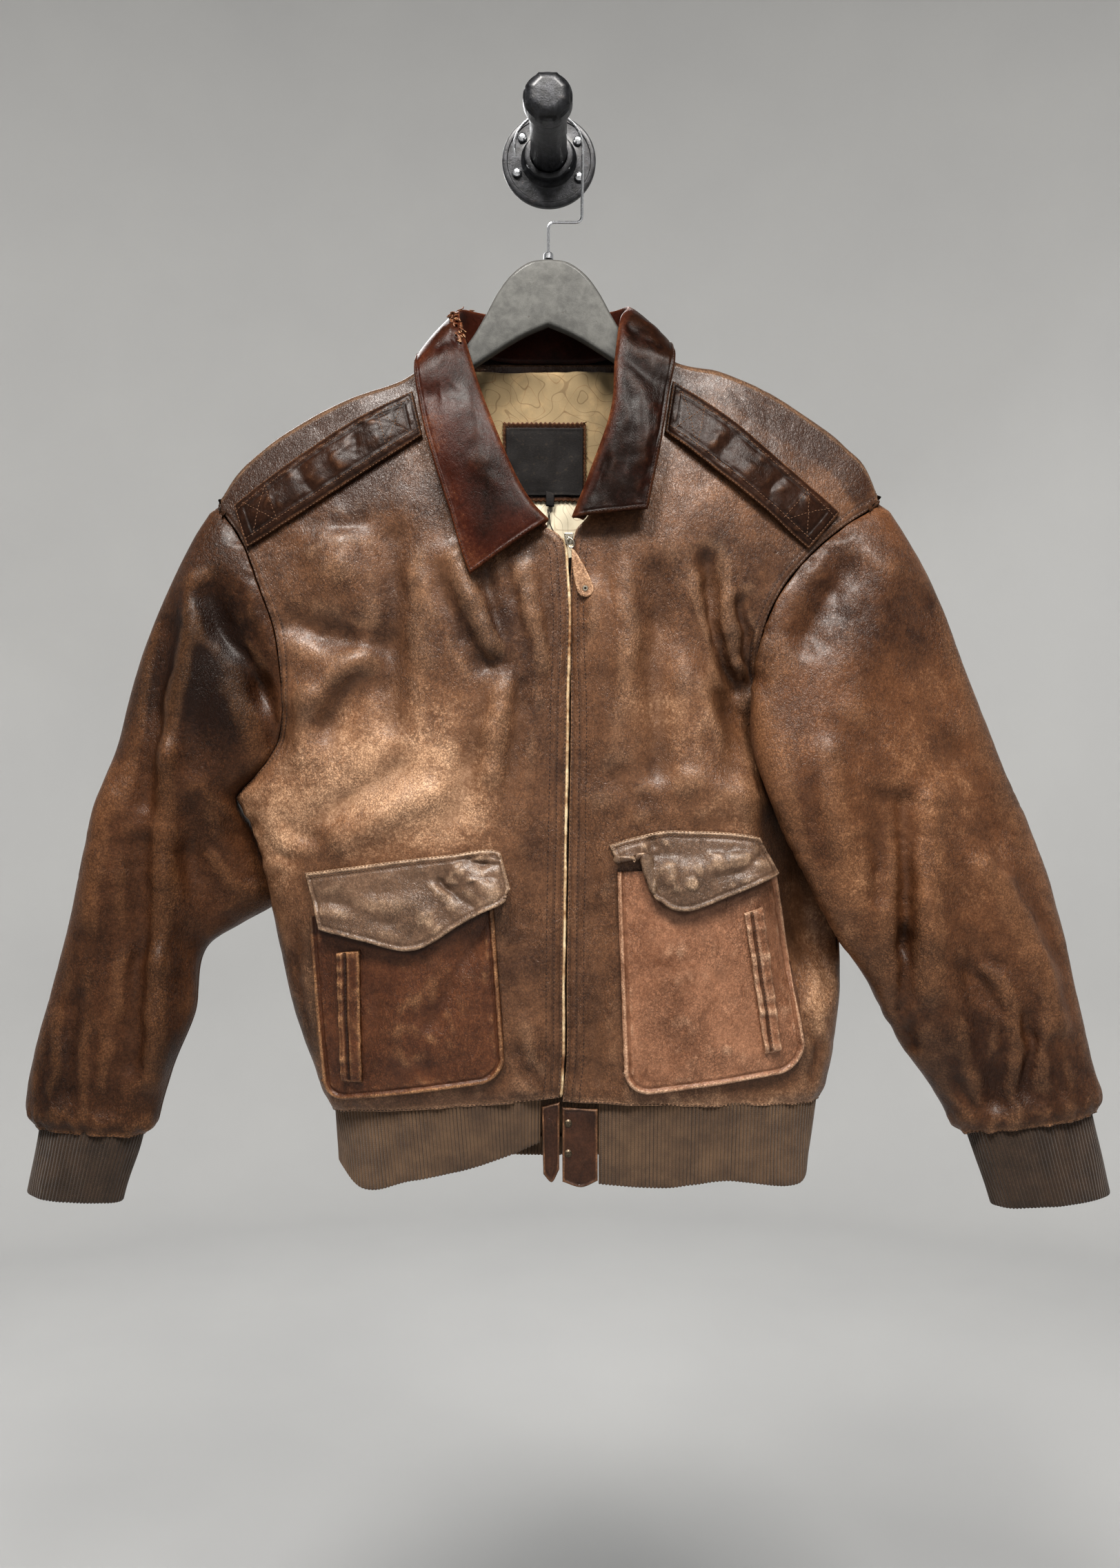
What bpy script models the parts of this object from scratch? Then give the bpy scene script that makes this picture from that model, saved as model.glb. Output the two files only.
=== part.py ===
"""A worn leather jacket on a wooden hanger, hooked over an iron pipe peg on a wall flange.

Metres, +Z up, +Y into the wall, the front of the jacket towards -Y. The origin is the centre of
the flange's back face. Left and right are as seen from the front.
"""

import math

import bmesh
import bpy
import numpy as np
from mathutils import Vector
from mathutils.bvhtree import BVHTree

for old in list(bpy.data.objects):
    bpy.data.objects.remove(old)

LEATHER = 0.0022
SEAM_GAP = 0.0003
UNDERARM = 0.45
SLEEVE_UNDERARM = 0.42
NECK_PART = 0.29
ARMHOLE_ROWS = 9
SIDE_ROWS = 11
SLEEVE_ROWS = 13
FRONT_COLUMNS = 10
ROUND_SLEEVE = 16
SHOULDER_LEAN = (0, -0.66, 0.75)
SIDE_LEAN = {"left": (-1, 0, 0), "right": (0.8, -0.6, 0)}

# Armhole seam on the front: share of its length, x, y, z.
ARMHOLE_FRONT = {
    "left": (
        (0.00, -0.2935, -0.0755, -0.3395),
        (0.14, -0.2700, -0.0900, -0.3700),
        (0.30, -0.2520, -0.0990, -0.4130),
        (0.46, -0.2385, -0.1010, -0.4520),
        (0.64, -0.2335, -0.0990, -0.4990),
        (0.78, -0.2340, -0.0940, -0.5330),
        (0.90, -0.2470, -0.0840, -0.5650),
        (1.00, -0.2780, -0.0680, -0.5970),
    ),
    "right": (
        (0.00, 0.2945, -0.0755, -0.3370),
        (0.12, 0.2640, -0.0870, -0.3560),
        (0.26, 0.2300, -0.0970, -0.3840),
        (0.40, 0.2020, -0.1020, -0.4180),
        (0.54, 0.1865, -0.1000, -0.4560),
        (0.70, 0.1870, -0.0880, -0.5000),
        (0.85, 0.2070, -0.0710, -0.5450),
        (1.00, 0.2450, -0.0600, -0.5900),
    ),
}

# Armhole seam on the back: share of its length, x, y, z.
ARMHOLE_BACK = {
    "left": (
        (0.00, -0.2920, -0.0480, -0.3430),
        (0.20, -0.2700, -0.0330, -0.3900),
        (0.45, -0.2520, -0.0240, -0.4500),
        (0.70, -0.2480, -0.0250, -0.5150),
        (0.88, -0.2570, -0.0420, -0.5650),
        (1.00, -0.2780, -0.0680, -0.5970),
    ),
    "right": (
        (0.00, 0.2930, -0.0480, -0.3405),
        (0.20, 0.2700, -0.0330, -0.3880),
        (0.45, 0.2480, -0.0240, -0.4480),
        (0.70, 0.2400, -0.0250, -0.5150),
        (0.88, 0.2410, -0.0400, -0.5600),
        (1.00, 0.2450, -0.0600, -0.5900),
    ),
}

# Side seam, from the underarm to the hem: row, x, y, z.
SIDE_SEAM = {
    "left": (
        (0.45, -0.2780, -0.0680, -0.5970),
        (0.52, -0.2630, -0.0660, -0.6280),
        (0.60, -0.2530, -0.0650, -0.6640),
        (0.74, -0.2400, -0.0640, -0.7280),
        (0.88, -0.2230, -0.0640, -0.7960),
        (0.96, -0.2050, -0.0640, -0.8470),
        (1.00, -0.1910, -0.0640, -0.8735),
    ),
    "right": (
        (0.45, 0.2450, -0.0600, -0.5900),
        (0.52, 0.2550, -0.0600, -0.6280),
        (0.60, 0.2600, -0.0600, -0.6700),
        (0.74, 0.2620, -0.0600, -0.7300),
        (0.88, 0.2580, -0.0610, -0.7950),
        (0.96, 0.2490, -0.0630, -0.8450),
        (1.00, 0.2400, -0.0640, -0.8660),
    ),
}

# Neckline, then the zip edge: row, x, y, z.
FRONT_INNER = {
    "left": (
        (0.00, -0.0850, -0.0755, -0.1910),
        (0.06, -0.0800, -0.0850, -0.2330),
        (0.12, -0.0670, -0.0930, -0.2750),
        (0.18, -0.0450, -0.1000, -0.3180),
        (0.24, -0.0150, -0.1070, -0.3560),
        (0.28, 0.0120, -0.1100, -0.3720),
        (0.32, 0.0168, -0.1120, -0.4050),
        (0.45, 0.0168, -0.1130, -0.5200),
        (0.62, 0.0150, -0.1150, -0.6400),
        (0.80, 0.0132, -0.1160, -0.7550),
        (0.92, 0.0130, -0.1150, -0.8200),
        (1.00, 0.0100, -0.1080, -0.8560),
    ),
    "right": (
        (0.00, 0.0850, -0.0755, -0.1890),
        (0.06, 0.0800, -0.0850, -0.2330),
        (0.12, 0.0710, -0.0930, -0.2750),
        (0.18, 0.0560, -0.1000, -0.3180),
        (0.24, 0.0340, -0.1070, -0.3540),
        (0.28, 0.0225, -0.1085, -0.3690),
        (0.32, 0.0192, -0.1100, -0.4050),
        (0.45, 0.0192, -0.1110, -0.5200),
        (0.62, 0.0174, -0.1130, -0.6400),
        (0.80, 0.0156, -0.1140, -0.7550),
        (0.92, 0.0154, -0.1130, -0.8200),
        (1.00, 0.0124, -0.1070, -0.8600),
    ),
}

# Top of each shoulder: share of the shoulder seam, z.
SHOULDER_LINE = {
    "left": (
        (0.00, -0.1840),
        (0.16, -0.2145),
        (0.43, -0.2370),
        (0.62, -0.2576),
        (0.80, -0.2824),
        (0.95, -0.3150),
        (1.00, -0.3325),
    ),
    "right": (
        (0.00, -0.1820),
        (0.12, -0.2030),
        (0.33, -0.2149),
        (0.51, -0.2310),
        (0.71, -0.2577),
        (0.85, -0.2806),
        (0.97, -0.3120),
        (1.00, -0.3300),
    ),
}

# Middle of the back: row, y, z.
BACK_MIDDLE = (
    (0.00, -0.0320, -0.2080),
    (0.08, -0.0240, -0.2600),
    (0.20, -0.0170, -0.3500),
    (0.45, -0.0130, -0.5400),
    (0.80, -0.0120, -0.7600),
    (0.94, -0.0130, -0.8350),
    (1.00, -0.0200, -0.8650),
)

# Sleeve edges as seen from the front: row, x inside, z inside, x outside, z outside.
SLEEVE_EDGE = {
    "left": (
        (0.00, -0.2830, -0.3370, -0.2970, -0.3335),
        (0.08, -0.2450, -0.3850, -0.3160, -0.3640),
        (0.20, -0.2200, -0.4700, -0.3450, -0.4250),
        (0.32, -0.2350, -0.5450, -0.3680, -0.4850),
        (0.42, -0.2780, -0.5970, -0.3840, -0.5480),
        (0.48, -0.2620, -0.6320, -0.3930, -0.5800),
        (0.54, -0.2470, -0.6640, -0.4020, -0.6130),
        (0.59, -0.2450, -0.6900, -0.4090, -0.6430),
        (0.64, -0.2800, -0.7120, -0.4160, -0.6720),
        (0.69, -0.3070, -0.7290, -0.4230, -0.7000),
        (0.80, -0.3170, -0.7910, -0.4430, -0.7680),
        (0.90, -0.3370, -0.8400, -0.4590, -0.8270),
        (0.96, -0.3500, -0.8790, -0.4640, -0.8660),
        (1.00, -0.3620, -0.8970, -0.4550, -0.8890),
    ),
    "right": (
        (0.00, 0.2830, -0.3350, 0.3000, -0.3320),
        (0.08, 0.2300, -0.3800, 0.3180, -0.3600),
        (0.20, 0.1850, -0.4600, 0.3450, -0.4100),
        (0.28, 0.1810, -0.5100, 0.3640, -0.4560),
        (0.42, 0.1870, -0.5800, 0.3930, -0.5280),
        (0.50, 0.1990, -0.6200, 0.4120, -0.5780),
        (0.58, 0.2185, -0.6620, 0.4280, -0.6150),
        (0.68, 0.2460, -0.7120, 0.4450, -0.6620),
        (0.77, 0.2760, -0.7520, 0.4580, -0.7150),
        (0.87, 0.3120, -0.8150, 0.4680, -0.7720),
        (0.94, 0.3370, -0.8500, 0.4790, -0.8240),
        (0.98, 0.3560, -0.8780, 0.4865, -0.8580),
        (1.00, 0.3690, -0.8920, 0.4820, -0.8740),
    ),
}

# Sleeve section: row, middle y, half depth, how far the inside edge leans forward, then the angles
# of the seam in front and behind.
SLEEVE_DEPTH = {
    "left": (
        (0.00, -0.0620, 0.0130, 0.0000, 75.0, 285.0),
        (0.10, -0.0620, 0.0320, 0.0000, 60.0, 300.0),
        (0.26, -0.0620, 0.0380, 0.0000, 42.0, 318.0),
        (0.36, -0.0620, 0.0370, 0.0000, 20.0, 340.0),
        (0.42, -0.0640, 0.0350, 0.0000, 0.0, 360.0),
        (0.50, -0.0560, 0.0350, -0.0200, 0.0, 360.0),
        (0.60, -0.0560, 0.0340, -0.0220, 0.0, 360.0),
        (0.80, -0.0640, 0.0330, 0.0000, 0.0, 360.0),
        (0.94, -0.0640, 0.0340, 0.0000, 0.0, 360.0),
        (1.00, -0.0650, 0.0270, 0.0000, 0.0, 360.0),
    ),
    "right": (
        (0.00, -0.0620, 0.0130, 0.0000, 75.0, 285.0),
        (0.10, -0.0640, 0.0330, 0.0020, 45.0, 285.0),
        (0.22, -0.0700, 0.0380, 0.0100, 0.0, 284.0),
        (0.34, -0.0800, 0.0370, 0.0240, -50.0, 286.0),
        (0.42, -0.0870, 0.0350, 0.0300, -72.0, 288.0),
        (0.60, -0.0880, 0.0330, 0.0260, -72.0, 288.0),
        (0.80, -0.0820, 0.0330, 0.0120, -72.0, 288.0),
        (0.94, -0.0780, 0.0330, 0.0000, -72.0, 288.0),
        (1.00, -0.0760, 0.0280, 0.0000, -72.0, 288.0),
    ),
}

# Folds on the front: x and z of both ends, half width, height towards -Y.
FRONT_FOLDS = (
    (-0.222, -0.444, -0.140, -0.466, 0.016, -0.007),
    (-0.160, -0.470, -0.208, -0.512, 0.014, 0.006),
    (-0.208, -0.512, -0.212, -0.560, 0.014, 0.005),
    (-0.190, -0.535, -0.150, -0.500, 0.014, -0.005),
    (-0.182, -0.380, -0.182, -0.400, 0.022, 0.006),
    (-0.079, -0.391, -0.049, -0.470, 0.013, 0.006),
    (-0.052, -0.482, -0.044, -0.490, 0.014, -0.006),
    (-0.041, -0.500, -0.049, -0.575, 0.013, 0.005),
    (-0.020, -0.400, -0.006, -0.480, 0.010, 0.003),
    (-0.134, -0.374, -0.134, -0.530, 0.016, -0.006),
    (-0.178, -0.633, -0.102, -0.596, 0.016, 0.006),
    (-0.205, -0.620, -0.130, -0.570, 0.016, -0.005),
    (-0.090, -0.610, -0.060, -0.560, 0.015, -0.003),
    (-0.215, -0.760, -0.205, -0.840, 0.016, 0.004),
    (-0.020, -0.800, -0.015, -0.850, 0.015, 0.003),
    (0.095, -0.405, 0.095, -0.575, 0.015, -0.006),
    (0.137, -0.393, 0.164, -0.500, 0.011, -0.008),
    (0.166, -0.430, 0.179, -0.495, 0.010, -0.008),
    (0.155, -0.430, 0.168, -0.478, 0.011, 0.006),
    (0.153, -0.515, 0.163, -0.570, 0.014, -0.006),
    (0.060, -0.430, 0.055, -0.560, 0.020, 0.004),
    (0.120, -0.585, 0.185, -0.600, 0.015, 0.006),
    (0.040, -0.600, 0.090, -0.590, 0.016, 0.003),
    (0.235, -0.790, 0.225, -0.850, 0.015, 0.004),
    (0.045, -0.700, 0.040, -0.840, 0.014, -0.003),
    (-0.296, -0.420, -0.252, -0.500, 0.017, -0.011),
    (-0.252, -0.500, -0.240, -0.545, 0.013, -0.008),
    (-0.308, -0.410, -0.331, -0.560, 0.014, 0.007),
    (-0.331, -0.560, -0.340, -0.740, 0.014, 0.007),
    (-0.340, -0.740, -0.346, -0.845, 0.013, 0.006),
    (-0.330, -0.450, -0.352, -0.600, 0.013, -0.006),
    (-0.356, -0.640, -0.362, -0.830, 0.013, -0.006),
    (-0.318, -0.645, -0.288, -0.697, 0.014, -0.007),
    (-0.288, -0.697, -0.262, -0.680, 0.012, -0.006),
    (-0.305, -0.590, -0.275, -0.650, 0.016, 0.006),
    (-0.385, -0.600, -0.400, -0.700, 0.016, 0.004),
    (-0.415, -0.780, -0.420, -0.850, 0.014, -0.005),
    (-0.370, -0.800, -0.385, -0.870, 0.012, -0.004),
    (0.255, -0.400, 0.225, -0.455, 0.018, -0.007),
    (0.300, -0.400, 0.262, -0.520, 0.020, 0.005),
    (0.330, -0.430, 0.345, -0.560, 0.018, -0.005),
    (0.304, -0.600, 0.307, -0.722, 0.011, -0.009),
    (0.307, -0.722, 0.317, -0.812, 0.011, -0.007),
    (0.284, -0.600, 0.281, -0.680, 0.012, -0.005),
    (0.330, -0.600, 0.330, -0.760, 0.015, 0.005),
    (0.379, -0.655, 0.440, -0.790, 0.016, 0.006),
    (0.363, -0.745, 0.388, -0.860, 0.012, -0.007),
    (0.411, -0.790, 0.412, -0.850, 0.010, -0.006),
    (0.360, -0.560, 0.390, -0.640, 0.016, -0.005),
    (0.240, -0.560, 0.250, -0.690, 0.014, 0.004),
)

# Folds on the back: x and z of both ends, half width, height towards +Y.
BACK_FOLDS = (
    (-0.190, -0.400, -0.120, -0.300, 0.020, -0.006),
    (0.190, -0.410, 0.110, -0.310, 0.022, -0.005),
    (-0.230, -0.520, -0.090, -0.560, 0.020, -0.007),
    (0.225, -0.540, 0.080, -0.600, 0.022, -0.006),
    (-0.040, -0.360, -0.060, -0.620, 0.022, 0.005),
    (0.080, -0.400, 0.070, -0.700, 0.024, 0.005),
    (0.000, -0.480, 0.010, -0.800, 0.020, -0.006),
    (-0.150, -0.640, -0.140, -0.820, 0.020, -0.006),
    (0.160, -0.660, 0.150, -0.840, 0.020, -0.005),
    (-0.300, -0.430, -0.340, -0.620, 0.016, -0.006),
    (-0.360, -0.600, -0.410, -0.820, 0.016, 0.005),
    (-0.330, -0.690, -0.280, -0.660, 0.014, -0.005),
    (0.300, -0.420, 0.350, -0.600, 0.016, -0.006),
    (0.330, -0.600, 0.390, -0.800, 0.016, 0.005),
    (0.400, -0.640, 0.340, -0.720, 0.014, -0.005),
)

# Collar from the left point round the back of the neck to the right point:
# share, then x, y, z of the neck seam, of the roll and of the outer edge.
COLLAR = (
    (0.00, 0.0000, -0.1085, -0.3620, 0.0015, -0.1210, -0.3590, -0.0665, -0.1310, -0.4070),
    (0.07, -0.0200, -0.1060, -0.3460, -0.0125, -0.1200, -0.3440, -0.0745, -0.1300, -0.3850),
    (0.15, -0.0410, -0.1000, -0.3180, -0.0265, -0.1170, -0.3210, -0.0840, -0.1260, -0.3520),
    (0.24, -0.0630, -0.0930, -0.2730, -0.0460, -0.1100, -0.2750, -0.1000, -0.1180, -0.3020),
    (0.33, -0.0770, -0.0840, -0.2310, -0.0620, -0.0980, -0.2300, -0.1120, -0.1050, -0.2550),
    (0.39, -0.0815, -0.0740, -0.1870, -0.0760, -0.0790, -0.1800, -0.1180, -0.0900, -0.2140),
    (0.44, -0.0790, -0.0560, -0.1840, -0.0790, -0.0520, -0.1560, -0.1130, -0.0380, -0.1965),
    (0.49, -0.0520, -0.0390, -0.1960, -0.0540, -0.0310, -0.1530, -0.0760, -0.0060, -0.2180),
    (0.55, 0.0000, -0.0350, -0.1990, 0.0000, -0.0270, -0.1500, 0.0000, -0.0050, -0.2250),
    (0.61, 0.0520, -0.0390, -0.1960, 0.0540, -0.0310, -0.1510, 0.0760, -0.0060, -0.2150),
    (0.66, 0.0790, -0.0560, -0.1820, 0.0720, -0.0520, -0.1530, 0.1060, -0.0380, -0.1870),
    (0.71, 0.0815, -0.0740, -0.1850, 0.0640, -0.0790, -0.1720, 0.1120, -0.0900, -0.2040),
    (0.78, 0.0780, -0.0840, -0.2310, 0.0580, -0.0990, -0.2150, 0.1050, -0.1060, -0.2470),
    (0.86, 0.0680, -0.0930, -0.2730, 0.0540, -0.1110, -0.2620, 0.0985, -0.1190, -0.2860),
    (0.94, 0.0510, -0.1000, -0.3200, 0.0350, -0.1170, -0.3180, 0.0905, -0.1260, -0.3250),
    (1.00, 0.0290, -0.1070, -0.3560, 0.0200, -0.1200, -0.3570, 0.0850, -0.1300, -0.3510),
)

# Knitted waistband, bottom edge: column share (-1 left side, 0 middle, 1 right side), x, z.
RIB_BOTTOM_FRONT = {
    "left": (
        (0.00, -0.0065, -0.8950),
        (0.30, -0.0600, -0.9140),
        (0.60, -0.1200, -0.9280),
        (0.85, -0.1650, -0.9360),
        (1.00, -0.1880, -0.9160),
    ),
    "right": (
        (0.00, 0.0440, -0.9310),
        (0.30, 0.1000, -0.9330),
        (0.60, 0.1550, -0.9280),
        (0.92, 0.2240, -0.9330),
        (1.00, 0.2310, -0.9260),
    ),
}

# Overlays on the fronts: share, x and z of the upper edge, x and z of the lower edge.
POCKET = {
    "left": (
        (0.00, -0.2070, -0.7000, -0.1985, -0.8250),
        (0.06, -0.1980, -0.6980, -0.1950, -0.8420),
        (0.14, -0.1850, -0.6950, -0.1810, -0.8590),
        (0.45, -0.1280, -0.6870, -0.1280, -0.8530),
        (0.86, -0.0640, -0.6790, -0.0560, -0.8360),
        (0.95, -0.0520, -0.6780, -0.0410, -0.8260),
        (1.00, -0.0470, -0.6780, -0.0370, -0.8080),
    ),
    "right": (
        (0.00, 0.0590, -0.6600, 0.0640, -0.8130),
        (0.06, 0.0680, -0.6580, 0.0700, -0.8320),
        (0.14, 0.0800, -0.6560, 0.0850, -0.8440),
        (0.50, 0.1300, -0.6500, 0.1400, -0.8420),
        (0.86, 0.1810, -0.6500, 0.2000, -0.8360),
        (0.95, 0.1920, -0.6530, 0.2180, -0.8220),
        (1.00, 0.1970, -0.6560, 0.2225, -0.8020),
    ),
}
FLAP = {
    "left": (
        (0.00, -0.2110, -0.6620, -0.1960, -0.7100),
        (0.25, -0.1680, -0.6560, -0.1560, -0.7190),
        (0.50, -0.1250, -0.6500, -0.1130, -0.7260),
        (0.75, -0.0820, -0.6450, -0.0720, -0.7030),
        (0.94, -0.0470, -0.6410, -0.0380, -0.6830),
        (1.00, -0.0400, -0.6430, -0.0320, -0.6740),
    ),
    "right": (
        (0.00, 0.0520, -0.6370, 0.0600, -0.6560),
        (0.14, 0.0750, -0.6300, 0.0780, -0.6700),
        (0.30, 0.0980, -0.6250, 0.0980, -0.6850),
        (0.46, 0.1190, -0.6250, 0.1160, -0.6930),
        (0.70, 0.1480, -0.6260, 0.1550, -0.6800),
        (0.92, 0.1750, -0.6290, 0.1890, -0.6660),
        (1.00, 0.1830, -0.6310, 0.1970, -0.6620),
    ),
}
EPAULETTE = {
    "left": (
        (0.00, -0.2770, -0.3400, -0.2630, -0.3790),
        (0.33, -0.2270, -0.3020, -0.2120, -0.3470),
        (0.66, -0.1720, -0.2650, -0.1600, -0.3130),
        (1.00, -0.1200, -0.2380, -0.1100, -0.2800),
    ),
    "right": (
        (0.00, 0.2560, -0.3470, 0.2270, -0.3810),
        (0.33, 0.2080, -0.3060, 0.1850, -0.3450),
        (0.66, 0.1600, -0.2640, 0.1430, -0.3110),
        (1.00, 0.1100, -0.2290, 0.1020, -0.2770),
    ),
}
WELT = {
    "left": (
        (0.00, -0.1815, -0.7300, -0.1790, -0.8420),
        (1.00, -0.1610, -0.7270, -0.1600, -0.8420),
    ),
    "right": (
        (0.00, 0.1670, -0.6950, 0.1865, -0.8170),
        (1.00, 0.1840, -0.6900, 0.2010, -0.8140),
    ),
}

# Colour, metallic, roughness.
MATERIALS = {
    "brown_leather": ((0.115, 0.060, 0.032), 0.0, 0.5),
    "dark_leather": ((0.045, 0.022, 0.014), 0.0, 0.4),
    "rib_knit": ((0.070, 0.052, 0.036), 0.0, 0.95),
    "lining_cloth": ((0.420, 0.340, 0.230), 0.0, 0.9),
    "label_cloth": ((0.012, 0.012, 0.012), 0.0, 0.9),
    "hanger_paint": ((0.160, 0.170, 0.172), 0.0, 0.6),
    "chrome_wire": ((0.750, 0.750, 0.760), 1.0, 0.15),
    "black_iron": ((0.020, 0.020, 0.021), 0.9, 0.45),
    "zip_metal": ((0.600, 0.560, 0.480), 1.0, 0.35),
}

collection = bpy.data.collections.new("worn_leather_jacket")
bpy.context.scene.collection.children.link(collection)


def material(name):
    found = bpy.data.materials.get(name)
    if found:
        return found
    colour, metallic, roughness = MATERIALS[name]
    made = bpy.data.materials.new(name)
    made.use_nodes = True
    shader = made.node_tree.nodes["Principled BSDF"]
    shader.inputs["Base Color"].default_value = (*colour, 1.0)
    shader.inputs["Metallic"].default_value = metallic
    shader.inputs["Roughness"].default_value = roughness
    made.diffuse_color = (*colour, 1.0)
    return made


def curve(table, at):
    """Smooth values of a table at these positions, which are its first column."""
    rows = np.array(table, float)
    knots = rows[:, 0]
    values = rows[:, 1:]
    at = np.clip(np.asarray(at, float), knots[0], knots[-1])
    k = np.clip(np.searchsorted(knots, at, side="right") - 1, 0, len(knots) - 2)
    step = np.diff(knots)[:, None]
    slope = np.diff(values, axis=0) / step
    lean = np.concatenate([slope[:1], slope[:-1], slope[-1:]])
    if len(rows) > 2:
        lean[1:-1] = (slope[:-1] * step[1:] + slope[1:] * step[:-1]) / (step[1:] + step[:-1])
    wide = step[k]
    s = (at - knots[k])[..., None] / wide
    return (
        (2 * s**3 - 3 * s**2 + 1) * values[k]
        + (s**3 - 2 * s**2 + s) * wide * lean[k]
        + (3 * s**2 - 2 * s**3) * values[k + 1]
        + (s**3 - s**2) * wide * lean[k + 1]
    )


def smooth(value):
    value = np.clip(value, 0.0, 1.0)
    return value * value * (3 - 2 * value)


def folded(points, folds, height_of):
    """Height of these folds at each point, faded by height_of."""
    total = np.zeros(points.shape[:-1])
    spot = points[..., (0, 2)]
    for x0, z0, x1, z1, wide, high in folds:
        start = np.array((x0, z0))
        way = np.array((x1, z1)) - start
        part = np.clip(((spot - start) @ way) / (way @ way), 0, 1)
        away = np.linalg.norm(spot - start - part[..., None] * way, axis=-1)
        total += high * np.exp(-((away / wide) ** 2))
    return total * height_of


def with_folds(points):
    """The points, moved by the folds of the side that they are on."""
    y = points[..., 1]
    ahead = smooth((-0.066 - y) / 0.018)
    behind = smooth((y + 0.050) / 0.022)
    moved = points.copy()
    moved[..., 1] -= folded(points, FRONT_FOLDS, ahead)
    moved[..., 1] += folded(points, BACK_FOLDS, behind)
    return moved


def front_outer(side, row):
    on_armhole = curve(ARMHOLE_FRONT[side], row / UNDERARM)
    on_side = curve(SIDE_SEAM[side], row)
    return np.where((row < UNDERARM)[..., None], on_armhole, on_side)


def back_outer(side, row):
    on_armhole = curve(ARMHOLE_BACK[side], row / UNDERARM)
    on_side = curve(SIDE_SEAM[side], row)
    return np.where((row < UNDERARM)[..., None], on_armhole, on_side)


def across(share, wrap):
    """How far the section has turned back, from 0 in the middle to 1 at the side."""
    soft = share**1.7
    turned = 1 - (1 - np.clip(share, 0, 1) ** 2.6) ** (1 / 2.6)
    return soft + (turned - soft) * wrap


def front_form(side, share, row):
    """A front without folds: share runs from the zip to the side, row from shoulder to hem."""
    share, row = np.broadcast_arrays(np.asarray(share, float), np.asarray(row, float))
    inner = curve(FRONT_INNER[side], row)
    outer = front_outer(side, row)
    points = inner + (outer - inner) * share[..., None]
    turn = across(share, smooth((row - 0.30) / 0.20))
    if side == "right":
        # This side turns back early, under the sleeve that hangs in front of it.
        tucked = 0.92 * smooth((share - 0.62) / 0.25) + 0.08 * share
        turn = turn + (tucked - turn) * smooth((row - 0.30) / 0.08) * smooth((0.86 - row) / 0.15)
    points[..., 1] = inner[..., 1] + (outer[..., 1] - inner[..., 1]) * turn
    points[..., 1] -= 0.009 * np.sin(np.pi * share**0.8) * smooth(row / 0.22)
    start = curve(FRONT_INNER[side], 0.0)
    end = curve(ARMHOLE_FRONT[side], 0.0)
    straight = start[2] + (end[2] - start[2]) * share
    bow = curve(SHOULDER_LINE[side], share)[..., 0] - 0.007 - straight
    points[..., 2] += bow * np.clip(1 - row / 0.30, 0, 1) ** 1.5
    return points


def front(side, share, row):
    return with_folds(front_form(side, share, row))


def back(column, row):
    """The back: column from -1 (left side) to 1, row from -0.08 (shoulder seam) to 1 (hem)."""
    column, row = np.broadcast_arrays(np.asarray(column, float), np.asarray(row, float))
    share = np.abs(column)
    down = np.clip(row, 0, 1)
    outer = np.where(
        (column < 0)[..., None], back_outer("left", down), back_outer("right", down)
    )
    middle = curve(BACK_MIDDLE, down)
    turn = across(share, smooth((down - 0.30) / 0.20))
    points = outer * share[..., None]
    points[..., 1] = middle[..., 0] + (outer[..., 1] - middle[..., 0]) * turn
    on_shoulder = np.clip((share - NECK_PART) / (1 - NECK_PART), 0, 1)
    line = np.where(
        column < 0,
        curve(SHOULDER_LINE["left"], on_shoulder)[..., 0],
        curve(SHOULDER_LINE["right"], on_shoulder)[..., 0],
    )
    in_neck = smooth((NECK_PART - share) / 0.06)
    top = (line - 0.0075) * (1 - in_neck) - 0.2080 * in_neck
    flat = middle[..., 1] + (outer[..., 2] - middle[..., 1]) * share**1.5
    top_outer = np.where(column < 0, -0.3430, -0.3405)
    flat_top = -0.2080 + (top_outer + 0.2080) * share**1.5
    points[..., 2] = flat + (top - flat_top) * np.clip(1 - down / 0.35, 0, 1) ** 1.5
    points = with_folds(points)
    # Over the shoulder, from the back to the seam in front.
    rise = np.clip(-row / 0.08, 0, 1)
    seam_y = -0.0755 * (1 - in_neck) - 0.0345 * in_neck
    seam_z = (line - 0.0070) * (1 - in_neck) - 0.2005 * in_neck + 0.048 * in_neck * (1 - in_neck)
    ridge = 0.0075 * (1 - in_neck) * 4 * rise * (1 - rise)
    points[..., 1] += (seam_y - points[..., 1]) * rise
    points[..., 2] += (seam_z - points[..., 2]) * rise + ridge
    left_x = curve(FRONT_INNER["left"], 0.0)[0] * (1 - on_shoulder) - 0.2935 * on_shoulder
    right_x = curve(FRONT_INNER["right"], 0.0)[0] * (1 - on_shoulder) + 0.2945 * on_shoulder
    seam_x = np.where(column < 0, left_x, right_x)
    seam_x = np.where(share < NECK_PART, seam_x * share / NECK_PART, seam_x)
    points[..., 0] += (seam_x - points[..., 0]) * rise
    return points


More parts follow.
